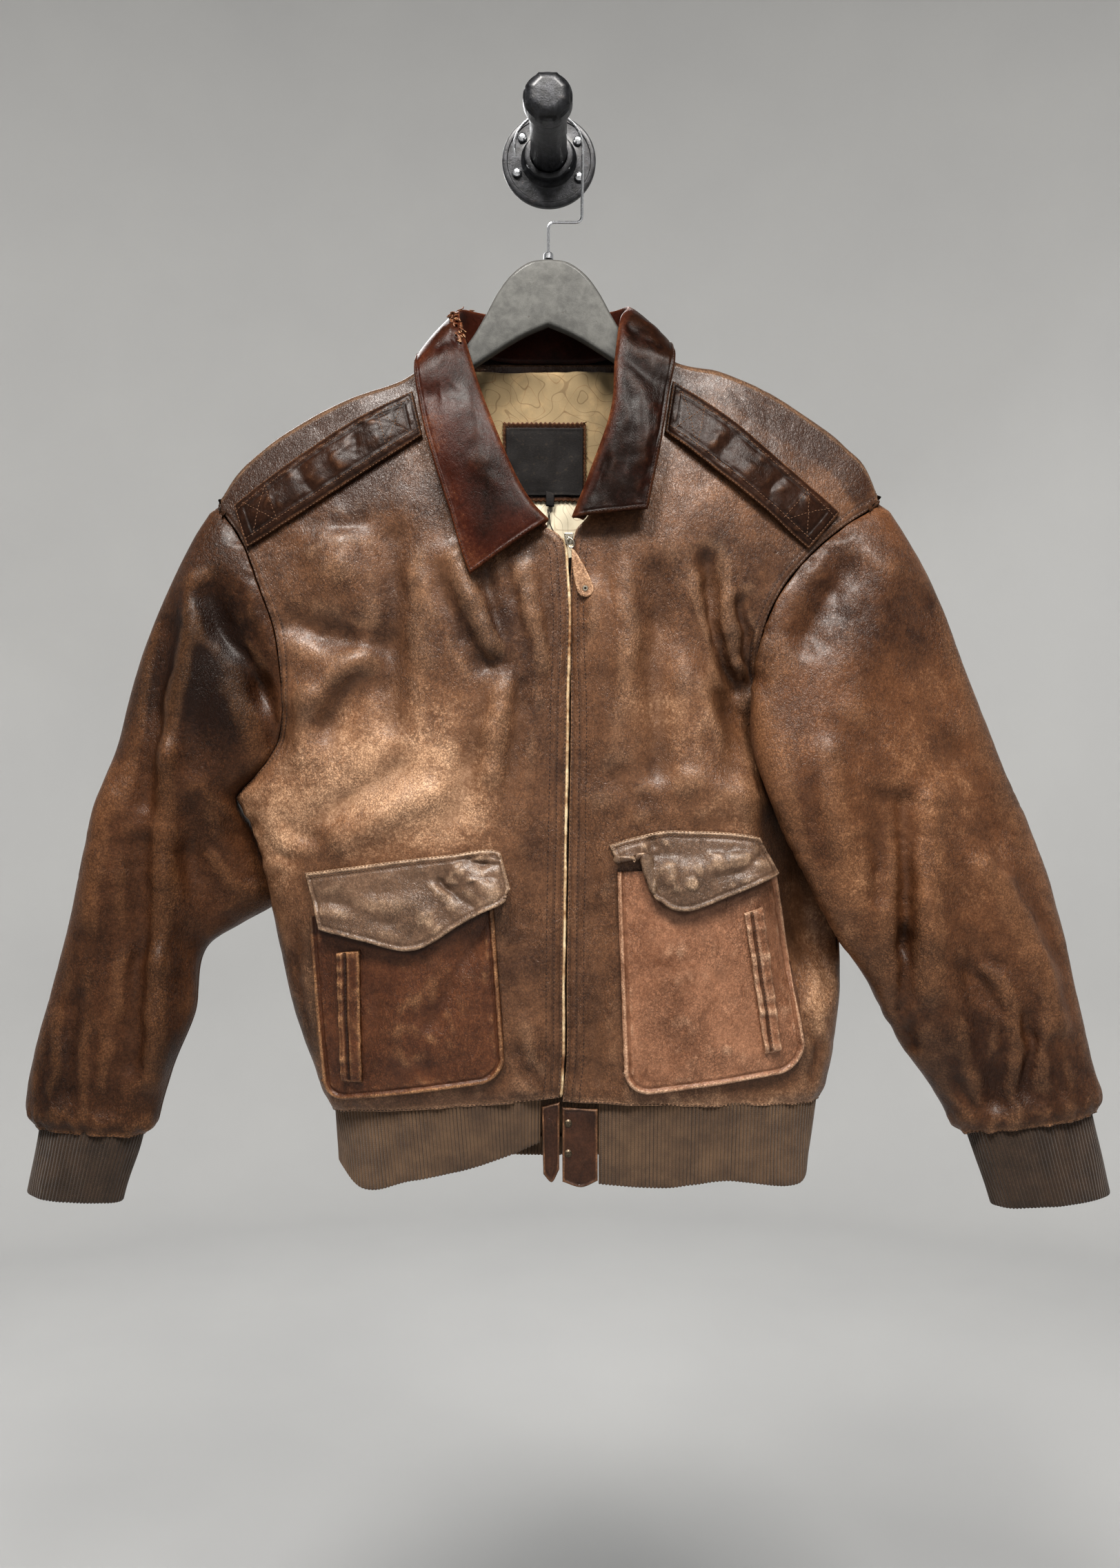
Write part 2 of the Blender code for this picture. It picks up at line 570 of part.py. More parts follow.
def sleeve_ring(side, around, row):
    """A sleeve's plain ring: around from 0 at the seam in front to 1 at the seam behind."""
    sign = -1.0 if side == "left" else 1.0
    edge = curve(SLEEVE_EDGE[side], row)
    depth = curve(SLEEVE_DEPTH[side], row)
    start = np.radians(depth[..., 3])
    end = np.radians(depth[..., 4])
    angle = start + (end - start) * around
    cos = np.sign(np.cos(angle)) * np.abs(np.cos(angle)) ** 0.87
    sin = np.sign(np.sin(angle)) * np.abs(np.sin(angle)) ** 0.87
    half = sign * (edge[..., 2] - edge[..., 0]) / 2
    x = (edge[..., 0] + edge[..., 2]) / 2 - sign * half * cos
    y = depth[..., 0] - depth[..., 1] * sin - depth[..., 2] * cos
    z = edge[..., 1] + (edge[..., 3] - edge[..., 1]) * (1 - np.cos(angle)) / 2
    return np.stack([x, y, z], axis=-1)


def sleeve(side, around, row):
    around, row = np.broadcast_arrays(np.asarray(around, float), np.asarray(row, float))
    points = sleeve_ring(side, around, row)
    seam = np.clip(row / SLEEVE_UNDERARM, 0, 1)
    ahead = curve(ARMHOLE_FRONT[side], seam)
    behind = curve(ARMHOLE_BACK[side], seam)
    held = np.minimum(row, SLEEVE_UNDERARM)
    fade = 1 - smooth((row - SLEEVE_UNDERARM) / 0.14)
    pull_ahead = (ahead - sleeve_ring(side, np.zeros_like(row), held)) * fade[..., None]
    pull_behind = (behind - sleeve_ring(side, np.ones_like(row), held)) * fade[..., None]
    near = np.clip(1 - around / 0.30, 0, 1) ** 1.6
    far = np.clip(1 - (1 - around) / 0.30, 0, 1) ** 1.6
    points = points + pull_ahead * near[..., None] + pull_behind * far[..., None]
    return with_folds(points)


def collar(along, up):
    """The collar: along from the left point to the right, up from the neck seam to the edge."""
    along, up = np.broadcast_arrays(np.asarray(along, float), np.asarray(up, float))
    row = curve(COLLAR, along)
    seam = row[..., 0:3]
    roll = row[..., 3:6]
    edge = row[..., 6:9]
    rise = roll - (seam + edge) / 2
    rise = rise / np.linalg.norm(rise, axis=-1, keepdims=True)
    over = edge - seam
    over = over - rise * (over * rise).sum(axis=-1, keepdims=True)
    over = over / np.linalg.norm(over, axis=-1, keepdims=True)
    radius = 0.0048
    stops = [
        seam,
        roll - rise * radius * 1.1 - over * radius,
        roll,
        roll - rise * radius * 1.1 + over * radius,
        roll * 0.45 + edge * 0.55 + over * 0.004,
        edge,
    ]
    at = (0.0, 0.24, 0.34, 0.44, 0.72, 1.0)
    lean = [(stops[1] - stops[0]) / at[1]]
    for k in range(1, 5):
        lean.append((stops[k + 1] - stops[k - 1]) / (at[k + 1] - at[k - 1]))
    lean.append((stops[5] - stops[4]) / (at[5] - at[4]))
    points = np.zeros(up.shape + (3,))
    for k in range(5):
        wide = at[k + 1] - at[k]
        inside = (up >= at[k]) & ((up < at[k + 1]) | (k == 4))
        s = np.clip((up - at[k]) / wide, 0, 1)[..., None]
        value = (
            (2 * s**3 - 3 * s**2 + 1) * stops[k]
            + (s**3 - 2 * s**2 + s) * wide * lean[k]
            + (3 * s**2 - 2 * s**3) * stops[k + 1]
            + (s**3 - s**2) * wide * lean[k + 1]
        )
        points = np.where(inside[..., None], value, points)
    return points


def spaced(count, power=1.0):
    return 1 - (1 - np.linspace(0, 1, count + 1)) ** power


def drawn_in(grid, sides, gap=SEAM_GAP):
    """The grid with its named edges drawn in by gap, along the sheet."""
    pairs = {"top": (0, 1), "bottom": (-1, -2)}
    grid = grid.copy()
    for name in sides:
        turned = grid if name in pairs else grid.transpose(1, 0, 2)
        outer, inner = pairs.get(name, {"first": (0, 1), "last": (-1, -2)}.get(name))
        way = turned[inner] - turned[outer]
        size = np.linalg.norm(way, axis=-1, keepdims=True)
        turned[outer] += way / np.maximum(size, 1e-9) * gap
    return grid


def add_object(name, mesh, material_name):
    mesh.materials.append(material(material_name))
    made = bpy.data.objects.new(name, mesh)
    collection.objects.link(made)
    return made


trees = {}


def sheet(name, grid, material_name, thickness=LEATHER, flip=False, leans=(), joined_from=None):
    """A sheet whose outside is this grid, thickened inwards.

    leans gives (edge, first row, outward direction) where a rim has to match its neighbour's, and
    joined_from is the row from which the last column is the first one again, as in a tube.
    """
    rows, columns = grid.shape[:2]
    shape = bmesh.new()
    at = [[shape.verts.new(point) for point in row] for row in grid[:, :-1]]
    for i in range(rows):
        joined = joined_from is not None and i >= joined_from
        at[i].append(at[i][0] if joined else shape.verts.new(grid[i, -1]))
    for i in range(rows - 1):
        for j in range(columns - 1):
            a, b, c, d = at[i][j], at[i + 1][j], at[i + 1][j + 1], at[i][j + 1]
            for face in ((a, b, c), (a, c, d)):
                shape.faces.new(face[::-1] if flip else face)
    shape.normal_update()
    trees[name] = BVHTree.FromBMesh(shape)
    outside = list(shape.verts)
    ways = {vert: vert.normal.copy() for vert in outside}
    edges = {"top": at[0], "bottom": at[-1], "first": [r[0] for r in at], "last": [r[-1] for r in at]}
    for name_of_edge, first_row, direction in leans:
        for vert in edges[name_of_edge][first_row:]:
            ways[vert] = Vector(direction).normalized()
    rim = [edge for edge in shape.edges if len(edge.link_faces) == 1]
    rim = [(edge, edge.link_loops[0].vert) for edge in rim]
    inside = {vert: shape.verts.new(vert.co - ways[vert] * thickness) for vert in outside}
    for face in list(shape.faces):
        shape.faces.new([inside[vert] for vert in reversed(face.verts)])
    for edge, start in rim:
        end = edge.other_vert(start)
        shape.faces.new((end, start, inside[start]))
        shape.faces.new((end, inside[start], inside[end]))
    for face in shape.faces:
        face.smooth = True
    mesh = bpy.data.meshes.new(name)
    shape.to_mesh(mesh)
    shape.free()
    return add_object(name, mesh, material_name)


def skin(x, z, reach, names):
    """The foremost y of the named sheets within reach of this spot."""
    best = 1.0
    for dx, dz in ((0, 0), (1, 0), (-1, 0), (0, 1), (0, -1), (0.7, 0.7), (-0.7, 0.7),
                   (0.7, -0.7), (-0.7, -0.7)):
        for name in names:
            start = Vector((x + dx * reach, -0.5, z + dz * reach))
            hit = trees[name].ray_cast(start, Vector((0, 1, 0)))[0]
            if hit:
                best = min(best, hit.y)
    return best


def overlay(name, table, columns, rows, under, material_name, lift=0.0006, puff=0.0, reach=0.009):
    """A sheet on top of others, between its upper and lower edge."""
    share = np.linspace(0, 1, columns + 1)
    edges = curve(table, share)
    grid = np.zeros((rows + 1, columns + 1, 3))
    for i, down in enumerate(np.linspace(0, 1, rows + 1)):
        for j, part in enumerate(share):
            x = edges[j, 0] + (edges[j, 2] - edges[j, 0]) * down
            z = edges[j, 1] + (edges[j, 3] - edges[j, 1]) * down
            y = skin(x, z, reach, under) - lift - LEATHER
            y -= puff * math.sin(math.pi * part) * math.sin(math.pi * min(down * 0.9, 1))
            grid[i, j] = (x, y, z)
    left_to_right = edges[-1, 0] > edges[0, 0]
    return sheet(name, grid, material_name, flip=not left_to_right)


def mesh_from(name, build, material_name, smooth_faces=True):
    mesh = bpy.data.meshes.new(name)
    shape = bmesh.new()
    build(shape)
    bmesh.ops.recalc_face_normals(shape, faces=shape.faces)
    for face in shape.faces:
        face.smooth = smooth_faces
    shape.to_mesh(mesh)
    shape.free()
    return add_object(name, mesh, material_name)


def lathed(name, profile, origin, axis, steps, material_name):
    """A profile of (radius, distance) turned about the axis through origin."""
    direction = Vector(axis).normalized()
    side = direction.orthogonal().normalized()

    def build(shape):
        at = Vector(origin)
        ring = [shape.verts.new(at + side * r + direction * d) for r, d in profile]
        edges = [shape.edges.new(pair) for pair in zip(ring, ring[1:] + ring[:1])]
        if profile[0][0] < 1e-9 or profile[-1][0] < 1e-9:
            shape.edges.remove(edges.pop())
        bmesh.ops.spin(
            shape,
            geom=shape.verts[:] + shape.edges[:],
            cent=at,
            axis=direction,
            angle=2 * math.pi,
            steps=steps,
            use_merge=True,
        )
        bmesh.ops.remove_doubles(shape, verts=shape.verts, dist=1e-6)

    made = mesh_from(name, build, material_name, smooth_faces=False)
    return made


def tube(name, points, radius, material_name, sides=2, order=3):
    """A round wire along these points."""
    data = bpy.data.curves.new(name, "CURVE")
    data.dimensions = "3D"
    data.bevel_depth = radius
    data.bevel_resolution = sides
    data.use_fill_caps = True
    data.resolution_u = order
    spline = data.splines.new("POLY")
    spline.points.add(len(points) - 1)
    for point, spot in zip(spline.points, points):
        point.co = (*spot, 1.0)
    data.materials.append(material(material_name))
    made = bpy.data.objects.new(name, data)
    collection.objects.link(made)
    return made


def plate(name, outline, y_front, y_back, material_name):
    """A flat plate whose outline is in x and z."""

    def build(shape):
        face = shape.faces.new([shape.verts.new((x, y_front, z)) for x, z in outline])
        grown = bmesh.ops.extrude_face_region(shape, geom=[face])
        moved = [item for item in grown["geom"] if isinstance(item, bmesh.types.BMVert)]
        bmesh.ops.translate(shape, verts=moved, vec=(0, y_back - y_front, 0))

    return mesh_from(name, build, material_name, smooth_faces=False)


# ---------------------------------------------------------------- fronts, back and sleeves
armhole_rows = np.linspace(0, UNDERARM, ARMHOLE_ROWS + 1)
body_rows = np.concatenate([armhole_rows, np.linspace(UNDERARM, 1, SIDE_ROWS + 1)[1:]])
front_shares = spaced(FRONT_COLUMNS, 1.35)

for side in ("left", "right"):
    grid = front(side, front_shares[None, :], body_rows[:, None])
    grid[0, 1::2] = (grid[0, :-1:2] + grid[0, 2::2]) / 2
    grid = drawn_in(grid, ("top", "last"))
    grid[:3] = drawn_in(grid[:3], ("last",), 0.0016)
    leans = (("top", 0, SHOULDER_LEAN), ("last", ARMHOLE_ROWS, SIDE_LEAN[side]))
    sheet("front_" + side, grid, "brown_leather", flip=side == "left", leans=leans)

shoulder_columns = NECK_PART + (1 - NECK_PART) * front_shares[::2]
neck_columns = np.array((-0.25, -0.13, 0.0, 0.13, 0.25))
back_columns = np.concatenate([-shoulder_columns[::-1], neck_columns, shoulder_columns])
back_rows = np.concatenate([(-0.08, -0.04), body_rows])
back_grid = back(back_columns[None, :], back_rows[:, None])
back_grid = drawn_in(back_grid, ("top", "first", "last"))
back_grid[:3] = drawn_in(back_grid[:3], ("first", "last"), 0.0010)
back_leans = (
    ("top", 0, SHOULDER_LEAN),
    ("first", ARMHOLE_ROWS + 2, SIDE_LEAN["left"]),
    ("last", ARMHOLE_ROWS + 2, SIDE_LEAN["right"]),
)
sheet("back", back_grid, "brown_leather", flip=True, leans=back_leans)

sleeve_rows = np.concatenate(
    [
        armhole_rows / UNDERARM * SLEEVE_UNDERARM,
        np.linspace(SLEEVE_UNDERARM, 1, SLEEVE_ROWS + 1)[1:],
    ]
)
around = np.linspace(0, 1, ROUND_SLEEVE + 1)
sleeve_ends = {}
for side in ("left", "right"):
    sign = -1.0 if side == "left" else 1.0
    grid = sleeve(side, around[None, :], sleeve_rows[:, None])
    # The top of the sleeve follows the back's edge over the shoulder.
    column = -1 if side == "left" else 1
    over = back(np.full(3, float(column)), np.array((-0.08, -0.04, 0.0)))
    for axis in range(3):
        grid[0, :, axis] = np.interp(around, (0, 0.5, 1), over[:, axis])
    grid = drawn_in(grid, ("top", "first", "last"), 0.0004)
    # The seam bends sharply over the end of the shoulder, so more is drawn in there.
    grid[:4] = drawn_in(grid[:4], ("top", "first", "last"), 0.0026)
    grid[ARMHOLE_ROWS, 0] += np.array((sign * 0.0012, 0, -0.0012))
    grid[ARMHOLE_ROWS:, -1] = grid[ARMHOLE_ROWS:, 0]
    sleeve_ends[side] = grid[-1]
    sheet(
        "sleeve_" + side,
        drawn_in(grid, ("bottom",)),
        "brown_leather",
        flip=side == "left",
        joined_from=ARMHOLE_ROWS,
    )

# ---------------------------------------------------------------- knitted waistband and cuffs
columns = []
for side, order in (("left", slice(None)), ("right", slice(None, None, -1))):
    top = front(side, front_shares, np.ones_like(front_shares))
    low = curve(RIB_BOTTOM_FRONT[side], front_shares)
    first = 0.0065 + 0.0100 if side == "left" else 0.0316
    sign = -1.0 if side == "left" else 1.0
    top[:, 0] += sign * first * (1 - front_shares) ** 3
    bottom = np.stack([low[:, 0], top[:, 1] * 0.94 - 0.004, low[:, 1]], axis=-1)
    bottom[:, 1] = top[:, 1] + (-0.064 - top[:, 1]) * 0.10
    columns.append((top[order], bottom[order]))
behind_top = back(back_columns, np.ones_like(back_columns))
behind_low = behind_top.copy()
behind_low[:, 2] = -0.9230 - 0.004 * np.cos(back_columns * 3.0)
behind_low[0] = columns[0][1][-1]
behind_low[-1] = columns[1][1][0]
behind_low[1:-1, 0] *= 0.975
rib_top = np.concatenate([columns[0][0], behind_top[1:-1], columns[1][0]])
rib_low = np.concatenate([columns[0][1], behind_low[1:-1], columns[1][1]])
parts = np.array((0.0, 0.35, 0.7, 1.0))[:, None, None]
rib = rib_top * (1 - parts) + rib_low * parts
rib[0, :, 2] -= 0.0016
sheet("waist_rib", rib, "rib_knit", thickness=0.0030, flip=True)

CUFF_BOTTOM = {
    "left": (-0.3790, -0.9560, -0.4650, -0.9470, -0.0660, 0.0240),
    "right": (0.3930, -0.9560, 0.4980, -0.9450, -0.0770, 0.0250),
}
for side in ("left", "right"):
    sign = -1.0 if side == "left" else 1.0
    x_in, z_in, x_out, z_out, middle_y, half_y = CUFF_BOTTOM[side]
    top = sleeve_ends[side].copy()
    start = math.radians(SLEEVE_DEPTH[side][-1][4])
    angle = start + 2 * np.pi * around
    low = np.stack(
        [
            (x_in + x_out) / 2 - (x_out - x_in) / 2 * np.cos(angle),
            middle_y - half_y * np.sin(angle),
            z_in + (z_out - z_in) * (1 - np.cos(angle)) / 2,
        ],
        axis=-1,
    )
    grid = top[None] * (1 - parts) + low[None] * parts
    grid[0, :, 2] -= 0.0014
    grid[:, -1] = grid[:, 0]
    sheet(
        "cuff_" + side, grid, "rib_knit", thickness=0.0030, flip=side == "left", joined_from=0
    )

# ---------------------------------------------------------------- zip and hem tabs
tape_rows = np.linspace(0.30, 0.985, 12)
tape = []
for part in (0.0, 0.5, 1.0):
    strip = front("left", np.full(12, 0.045 * (1 - part)), tape_rows)
    strip[:, 0] += 0.0100 * part
    strip[:, 1] += 2 * LEATHER + 0.0016
    tape.append(strip)
sheet("zip_tape", np.stack(tape, axis=1), "dark_leather", thickness=0.0010)

hem_y = front("left", np.array([0.0]), np.array([1.0]))[0, 1]
plate(
    "hem_tab_left",
    ((-0.0056, -0.8640), (0.0102, -0.8600), (0.0098, -0.9180), (0.0040, -0.9290), (-0.0040, -0.9220)),
    hem_y - 0.0008,
    hem_y + 0.0018,
    "brown_leather",
)
plate(
    "hem_tab_right",
    ((0.0122, -0.8645), (0.0430, -0.8660), (0.0430, -0.9280), (0.0300, -0.9335), (0.0125, -0.9290)),
    hem_y - 0.0004,
    hem_y + 0.0022,
    "brown_leather",
)
for number, z in (("upper", -0.8780), ("lower", -0.9040)):
    lathed(
        "hem_snap_" + number,
        ((0, 0), (0.0034, 0), (0.0034, 0.0008), (0.0020, 0.0018), (0, 0.0020)),
        (0.0175, hem_y - 0.0007, z),
        (0, -1, 0),
        12,
        "zip_metal",
    )

# ---------------------------------------------------------------- collar and what lies on the fronts
collar_along = np.linspace(0, 1, 25)
collar_up = np.array((0.0, 0.14, 0.24, 0.34, 0.44, 0.60, 0.80, 1.0))
sheet("collar", collar(collar_along[None, :], collar_up[:, None]), "dark_leather", flip=True)

for side in ("left", "right"):
    panels = ("front_" + side, "sleeve_" + side) if side == "left" else ("front_" + side,)
    overlay(
        "pocket_" + side, POCKET[side], 9, 7, ("front_" + side,), "brown_leather", puff=0.003
    )
    pocket = ("front_" + side, "pocket_" + side)
    overlay("welt_" + side, WELT[side], 2, 6, ("pocket_" + side,), "brown_leather")
    overlay(
        "pocket_flap_" + side,
        FLAP[side],
        9,
        4,
        pocket,
        "brown_leather",
        lift=0.0010,
        puff=0.003,
    )
    overlay("epaulette_" + side, EPAULETTE[side], 8, 3, panels, "dark_leather", puff=0.003)

# ---------------------------------------------------------------- lining and label inside the neck
lining = np.zeros((8, 9, 3))
for i, z in enumerate(np.linspace(-0.2120, -0.4000, 8)):
    half = 0.0680 + 0.0470 * float(smooth((-0.2120 - z) / 0.06))
    for j, x in enumerate(np.linspace(-half, half, 9)):
        lining[i, j] = (x, skin(x, z, 0.012, ("back",)) - LEATHER - 0.0016, z)
sheet("back_lining", lining, "lining_cloth", thickness=0.0010)


def inside_patch(name, x0, x1, z0, z1, lift, material_name, under, thickness):
    """A flat patch sewn on the inside of the back, facing the front."""
    grid = np.zeros((4, 5, 3))
    for i, z in enumerate(np.linspace(z1, z0, 4)):
        for j, x in enumerate(np.linspace(x0, x1, 5)):
            grid[i, j] = (x, skin(x, z, 0.004, (under,)) - lift - thickness, z)
    sheet(name, grid, material_name, thickness=thickness)


inside_patch(
    "label_patch", -0.0430, 0.0350, -0.3250, -0.2520, 0.0006, "dark_leather", "back_lining", 0.0014
)
inside_patch(
    "label_cloth", -0.0240, 0.0180, -0.3080, -0.2720, 0.0004, "label_cloth", "label_patch", 0.0006
)

# ---------------------------------------------------------------- hanger, hook and peg
HANGER_TOP = (
    (0.000, -0.1140),
    (0.018, -0.1165),
    (0.032, -0.1270),
    (0.043, -0.1420),
    (0.056, -0.1640),
    (0.0710, -0.1890),
    (0.0820, -0.2010),
    (0.119, -0.2225),
    (0.170, -0.2440),
    (0.208, -0.2650),
    (0.214, -0.2760),
)
HANGER_LOW = (
    (0.214, -0.2900),
    (0.206, -0.3000),
    (0.150, -0.2620),
    (0.068, -0.2120),
    (0.020, -0.1830),
    (0.000, -0.1740),
)
half = HANGER_TOP + HANGER_LOW
outline = list(half) + [(-x, z) for x, z in half[-2:0:-1]]
hanger = plate("hanger", outline, -0.0660, -0.0540, "hanger_paint")
rounding = hanger.modifiers.new("rounding", "BEVEL")
rounding.width = 0.0022
rounding.segments = 2
rounding.limit_method = "ANGLE"
rounding.angle_limit = math.radians(50)

HOOK_Y = -0.0600
LOOP_RADIUS = 0.0310
LOOP_Z = -0.0125
wire = []
for degrees in range(196, -1, -14):
    turn = math.radians(degrees)
    wire.append((LOOP_RADIUS * math.cos(turn), HOOK_Y, LOOP_Z + LOOP_RADIUS * math.sin(turn)))
wire.append((0.0305, HOOK_Y, -0.0450))
for centre_x, centre_z, start_degrees in ((0.0250, -0.0750, 0), (0.0050, -0.0850, 90)):
    step = -22.5 if start_degrees == 0 else 22.5
    for k in range(5):
        turn = math.radians(start_degrees + k * step)
        wire.append(
            (centre_x + 0.0050 * math.cos(turn), HOOK_Y, centre_z + 0.0050 * math.sin(turn))
        )
wire.append((0.0, HOOK_Y, -0.1136))
tube("hanger_hook", wire, 0.0013, "chrome_wire", sides=2)

lathed(
    "hook_ferrule",
    ((0.0016, 0), (0.0044, 0), (0.0044, 0.0045), (0.0036, 0.0055), (0.0016, 0.0055)),
    (0, HOOK_Y, -0.1134),
    (0, 0, 1),
    16,
    "chrome_wire",
)

lathed(
    "wall_flange",
    (
        (0, 0),
        (0.0425, 0),
        (0.0440, 0.0015),
        (0.0440, 0.0060),
        (0.0430, 0.0070),
        (0.0225, 0.0078),
        (0.0208, 0.0095),
        (0.0205, 0.0200),
        (0.0175, 0.0200),
        (0.0175, 0.0120),
        (0, 0.0120),
    ),
    (0, 0, 0),
    (0, -1, 0),
    32,
    "black_iron",
)
lathed(
    "pipe",
    ((0, 0.0123), (0.0167, 0.0123), (0.0167, 0.1190), (0, 0.1190)),
    (0, 0, 0),
    (0, -1, 0),
    32,
    "black_iron",
)
lathed(
    "pipe_cap",
    (
        (0, 0.1350),
        (0.0165, 0.1350),
        (0.0198, 0.1330),
        (0.0206, 0.1290),
        (0.0213, 0.1270),
        (0.0213, 0.1130),
        (0.0205, 0.1110),
        (0.0172, 0.1110),
        (0.0172, 0.1195),
        (0, 0.1195),
    ),
    (0, 0, 0),
    (0, -1, 0),
    32,
    "black_iron",
)
for number, (x, z) in enumerate(((-0.0300, -0.0120), (0.0285, -0.0160), (-0.0250, 0.0210), (0.0270, 0.0180))):
    lathed(
        f"flange_screw_{number + 1}",
        ((0, 0), (0.0046, 0), (0.0040, 0.0016), (0.0024, 0.0026), (0, 0.0029)),
        (x, -0.0079, z),
        (0, -1, 0),
        12,
        "chrome_wire",
    )

# ---------------------------------------------------------------- zip slider and its pull
SLIDER = (0.0180, -0.3740)
PULL_LEAN = math.radians(18)
slider_y = front("left", np.array([0.0]), np.array([0.31]))[0, 1] - 0.0008


def slider_body(shape):
    made = bmesh.ops.create_cube(shape, size=1.0)
    for vert in made["verts"]:
        narrow = 0.72 if vert.co.z < 0 else 1.0
        vert.co.x = SLIDER[0] + vert.co.x * 0.0085 * narrow
        vert.co.y = slider_y - 0.0016 + vert.co.y * 0.0032
        vert.co.z = SLIDER[1] + vert.co.z * 0.0100
    bmesh.ops.bevel(
        shape, geom=shape.edges[:], offset=0.0008, segments=2, affect="EDGES", profile=0.5
    )


mesh_from("zip_slider", slider_body, "zip_metal")

pull_y = slider_y - 0.0052
along_x = math.sin(PULL_LEAN)
along_z = -math.cos(PULL_LEAN)


def on_pull(down, out, y):
    """A point on the pull: metres down its length, out to its right."""
    return (
        SLIDER[0] + along_x * down - along_z * out,
        y,
        SLIDER[1] + along_z * down + along_x * out,
    )


bail = []
for k in range(7):
    turn = math.pi * k / 6
    bail.append(
        (
            SLIDER[0],
            slider_y - 0.0034 - 0.0034 * math.sin(turn),
            SLIDER[1] - 0.0003 + 0.0026 * math.cos(turn),
        )
    )
tube("zip_slider_bail", bail, 0.0006, "zip_metal", sides=1)

loop = []
for k in range(13):
    turn = 2 * math.pi * k / 12
    loop.append(on_pull(0.0045 + 0.0042 * math.cos(turn), 0.0028 * math.sin(turn), pull_y))
ring = bpy.data.curves.new("zip_pull_ring", "CURVE")
ring.dimensions = "3D"
ring.bevel_depth = 0.0007
ring.bevel_resolution = 2
spline = ring.splines.new("POLY")
spline.points.add(11)
spline.use_cyclic_u = True
for point, spot in zip(spline.points, loop):
    point.co = (*spot, 1.0)
ring.materials.append(material("zip_metal"))
collection.objects.link(bpy.data.objects.new("zip_pull_ring", ring))

tab_outline = []
for k in range(9):
    turn = math.pi * k / 8
    tab_outline.append((0.0460 + 0.0070 * math.sin(turn), 0.0072 * math.cos(turn)))
tab_outline += [(0.0130, -0.0058), (0.0095, -0.0030), (0.0095, 0.0030), (0.0130, 0.0058)]


def pull_tab(shape):
    low = [shape.verts.new(on_pull(d, o, pull_y - 0.0011)) for d, o in tab_outline]
    face = shape.faces.new(low)
    grown = bmesh.ops.extrude_face_region(shape, geom=[face])
    moved = [item for item in grown["geom"] if isinstance(item, bmesh.types.BMVert)]
    bmesh.ops.translate(shape, verts=moved, vec=(0, 0.0022, 0))


mesh_from("zip_pull_tab", pull_tab, "dark_leather", smooth_faces=False)
lathed(
    "zip_pull_eyelet",
    ((0.0010, 0), (0.0026, 0), (0.0021, 0.0007), (0.0010, 0.0007)),
    on_pull(0.0455, 0.0, pull_y - 0.0012),
    (0, -1, 0),
    14,
    "zip_metal",
)
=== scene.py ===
"""The looks of a worn leather jacket on a hanger and a wall peg, built round its CAD solids.

Metres, +Z up, +Y into the wall. Left and right are as seen from the front.
"""

import math

import bmesh
import bpy
import numpy as np
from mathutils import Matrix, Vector
from mathutils.bvhtree import BVHTree


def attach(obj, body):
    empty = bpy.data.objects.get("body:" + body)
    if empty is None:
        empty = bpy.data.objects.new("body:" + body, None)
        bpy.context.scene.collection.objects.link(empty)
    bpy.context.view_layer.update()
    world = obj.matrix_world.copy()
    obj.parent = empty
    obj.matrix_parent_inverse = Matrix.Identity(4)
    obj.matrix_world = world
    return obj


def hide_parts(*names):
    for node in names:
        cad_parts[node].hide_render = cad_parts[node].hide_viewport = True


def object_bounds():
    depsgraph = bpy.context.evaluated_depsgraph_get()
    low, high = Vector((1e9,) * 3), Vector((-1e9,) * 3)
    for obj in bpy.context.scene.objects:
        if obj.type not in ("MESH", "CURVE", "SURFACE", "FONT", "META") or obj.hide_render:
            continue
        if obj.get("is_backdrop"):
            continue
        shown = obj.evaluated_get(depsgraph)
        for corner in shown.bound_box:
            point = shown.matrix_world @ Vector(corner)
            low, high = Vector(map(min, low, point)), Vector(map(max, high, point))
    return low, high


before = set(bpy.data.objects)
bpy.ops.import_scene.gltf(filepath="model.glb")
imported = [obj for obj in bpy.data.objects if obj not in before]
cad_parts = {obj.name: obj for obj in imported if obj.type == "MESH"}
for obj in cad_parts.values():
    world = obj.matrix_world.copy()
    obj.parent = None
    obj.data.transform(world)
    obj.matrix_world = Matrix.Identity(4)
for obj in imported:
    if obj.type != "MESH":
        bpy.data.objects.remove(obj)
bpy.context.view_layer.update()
scene = bpy.context.scene


def metres(rows, start=0, stop=None):
    """An array in metres of a table whose columns start to stop are in tenths of a millimetre."""
    if isinstance(rows, dict):
        return {side: metres(part, start, stop) for side, part in rows.items()}
    table = np.array(rows, float)
    table[:, start:stop] /= 10000
    return table


LEATHER = 0.0022
UNDERARM = 0.45
SLEEVE_UNDERARM = 0.42
NECK_PART = 0.29

# Armhole seam on the front: share of its length, x, y, z.
ARMHOLE_FRONT = metres({
    "left": (
        (0, -2935, -755, -3395),
        (0.14, -2700, -900, -3700),
        (0.3, -2520, -990, -4130),
        (0.46, -2385, -1010, -4520),
        (0.64, -2335, -990, -4990),
        (0.78, -2340, -940, -5330),
        (0.9, -2470, -840, -5650),
        (1, -2780, -680, -5970),
    ),
    "right": (
        (0, 2945, -755, -3370),
        (0.12, 2640, -870, -3560),
        (0.26, 2300, -970, -3840),
        (0.4, 2020, -1020, -4180),
        (0.54, 1865, -1000, -4560),
        (0.7, 1870, -880, -5000),
        (0.85, 2070, -710, -5450),
        (1, 2450, -600, -5900),
    ),
}, 1)

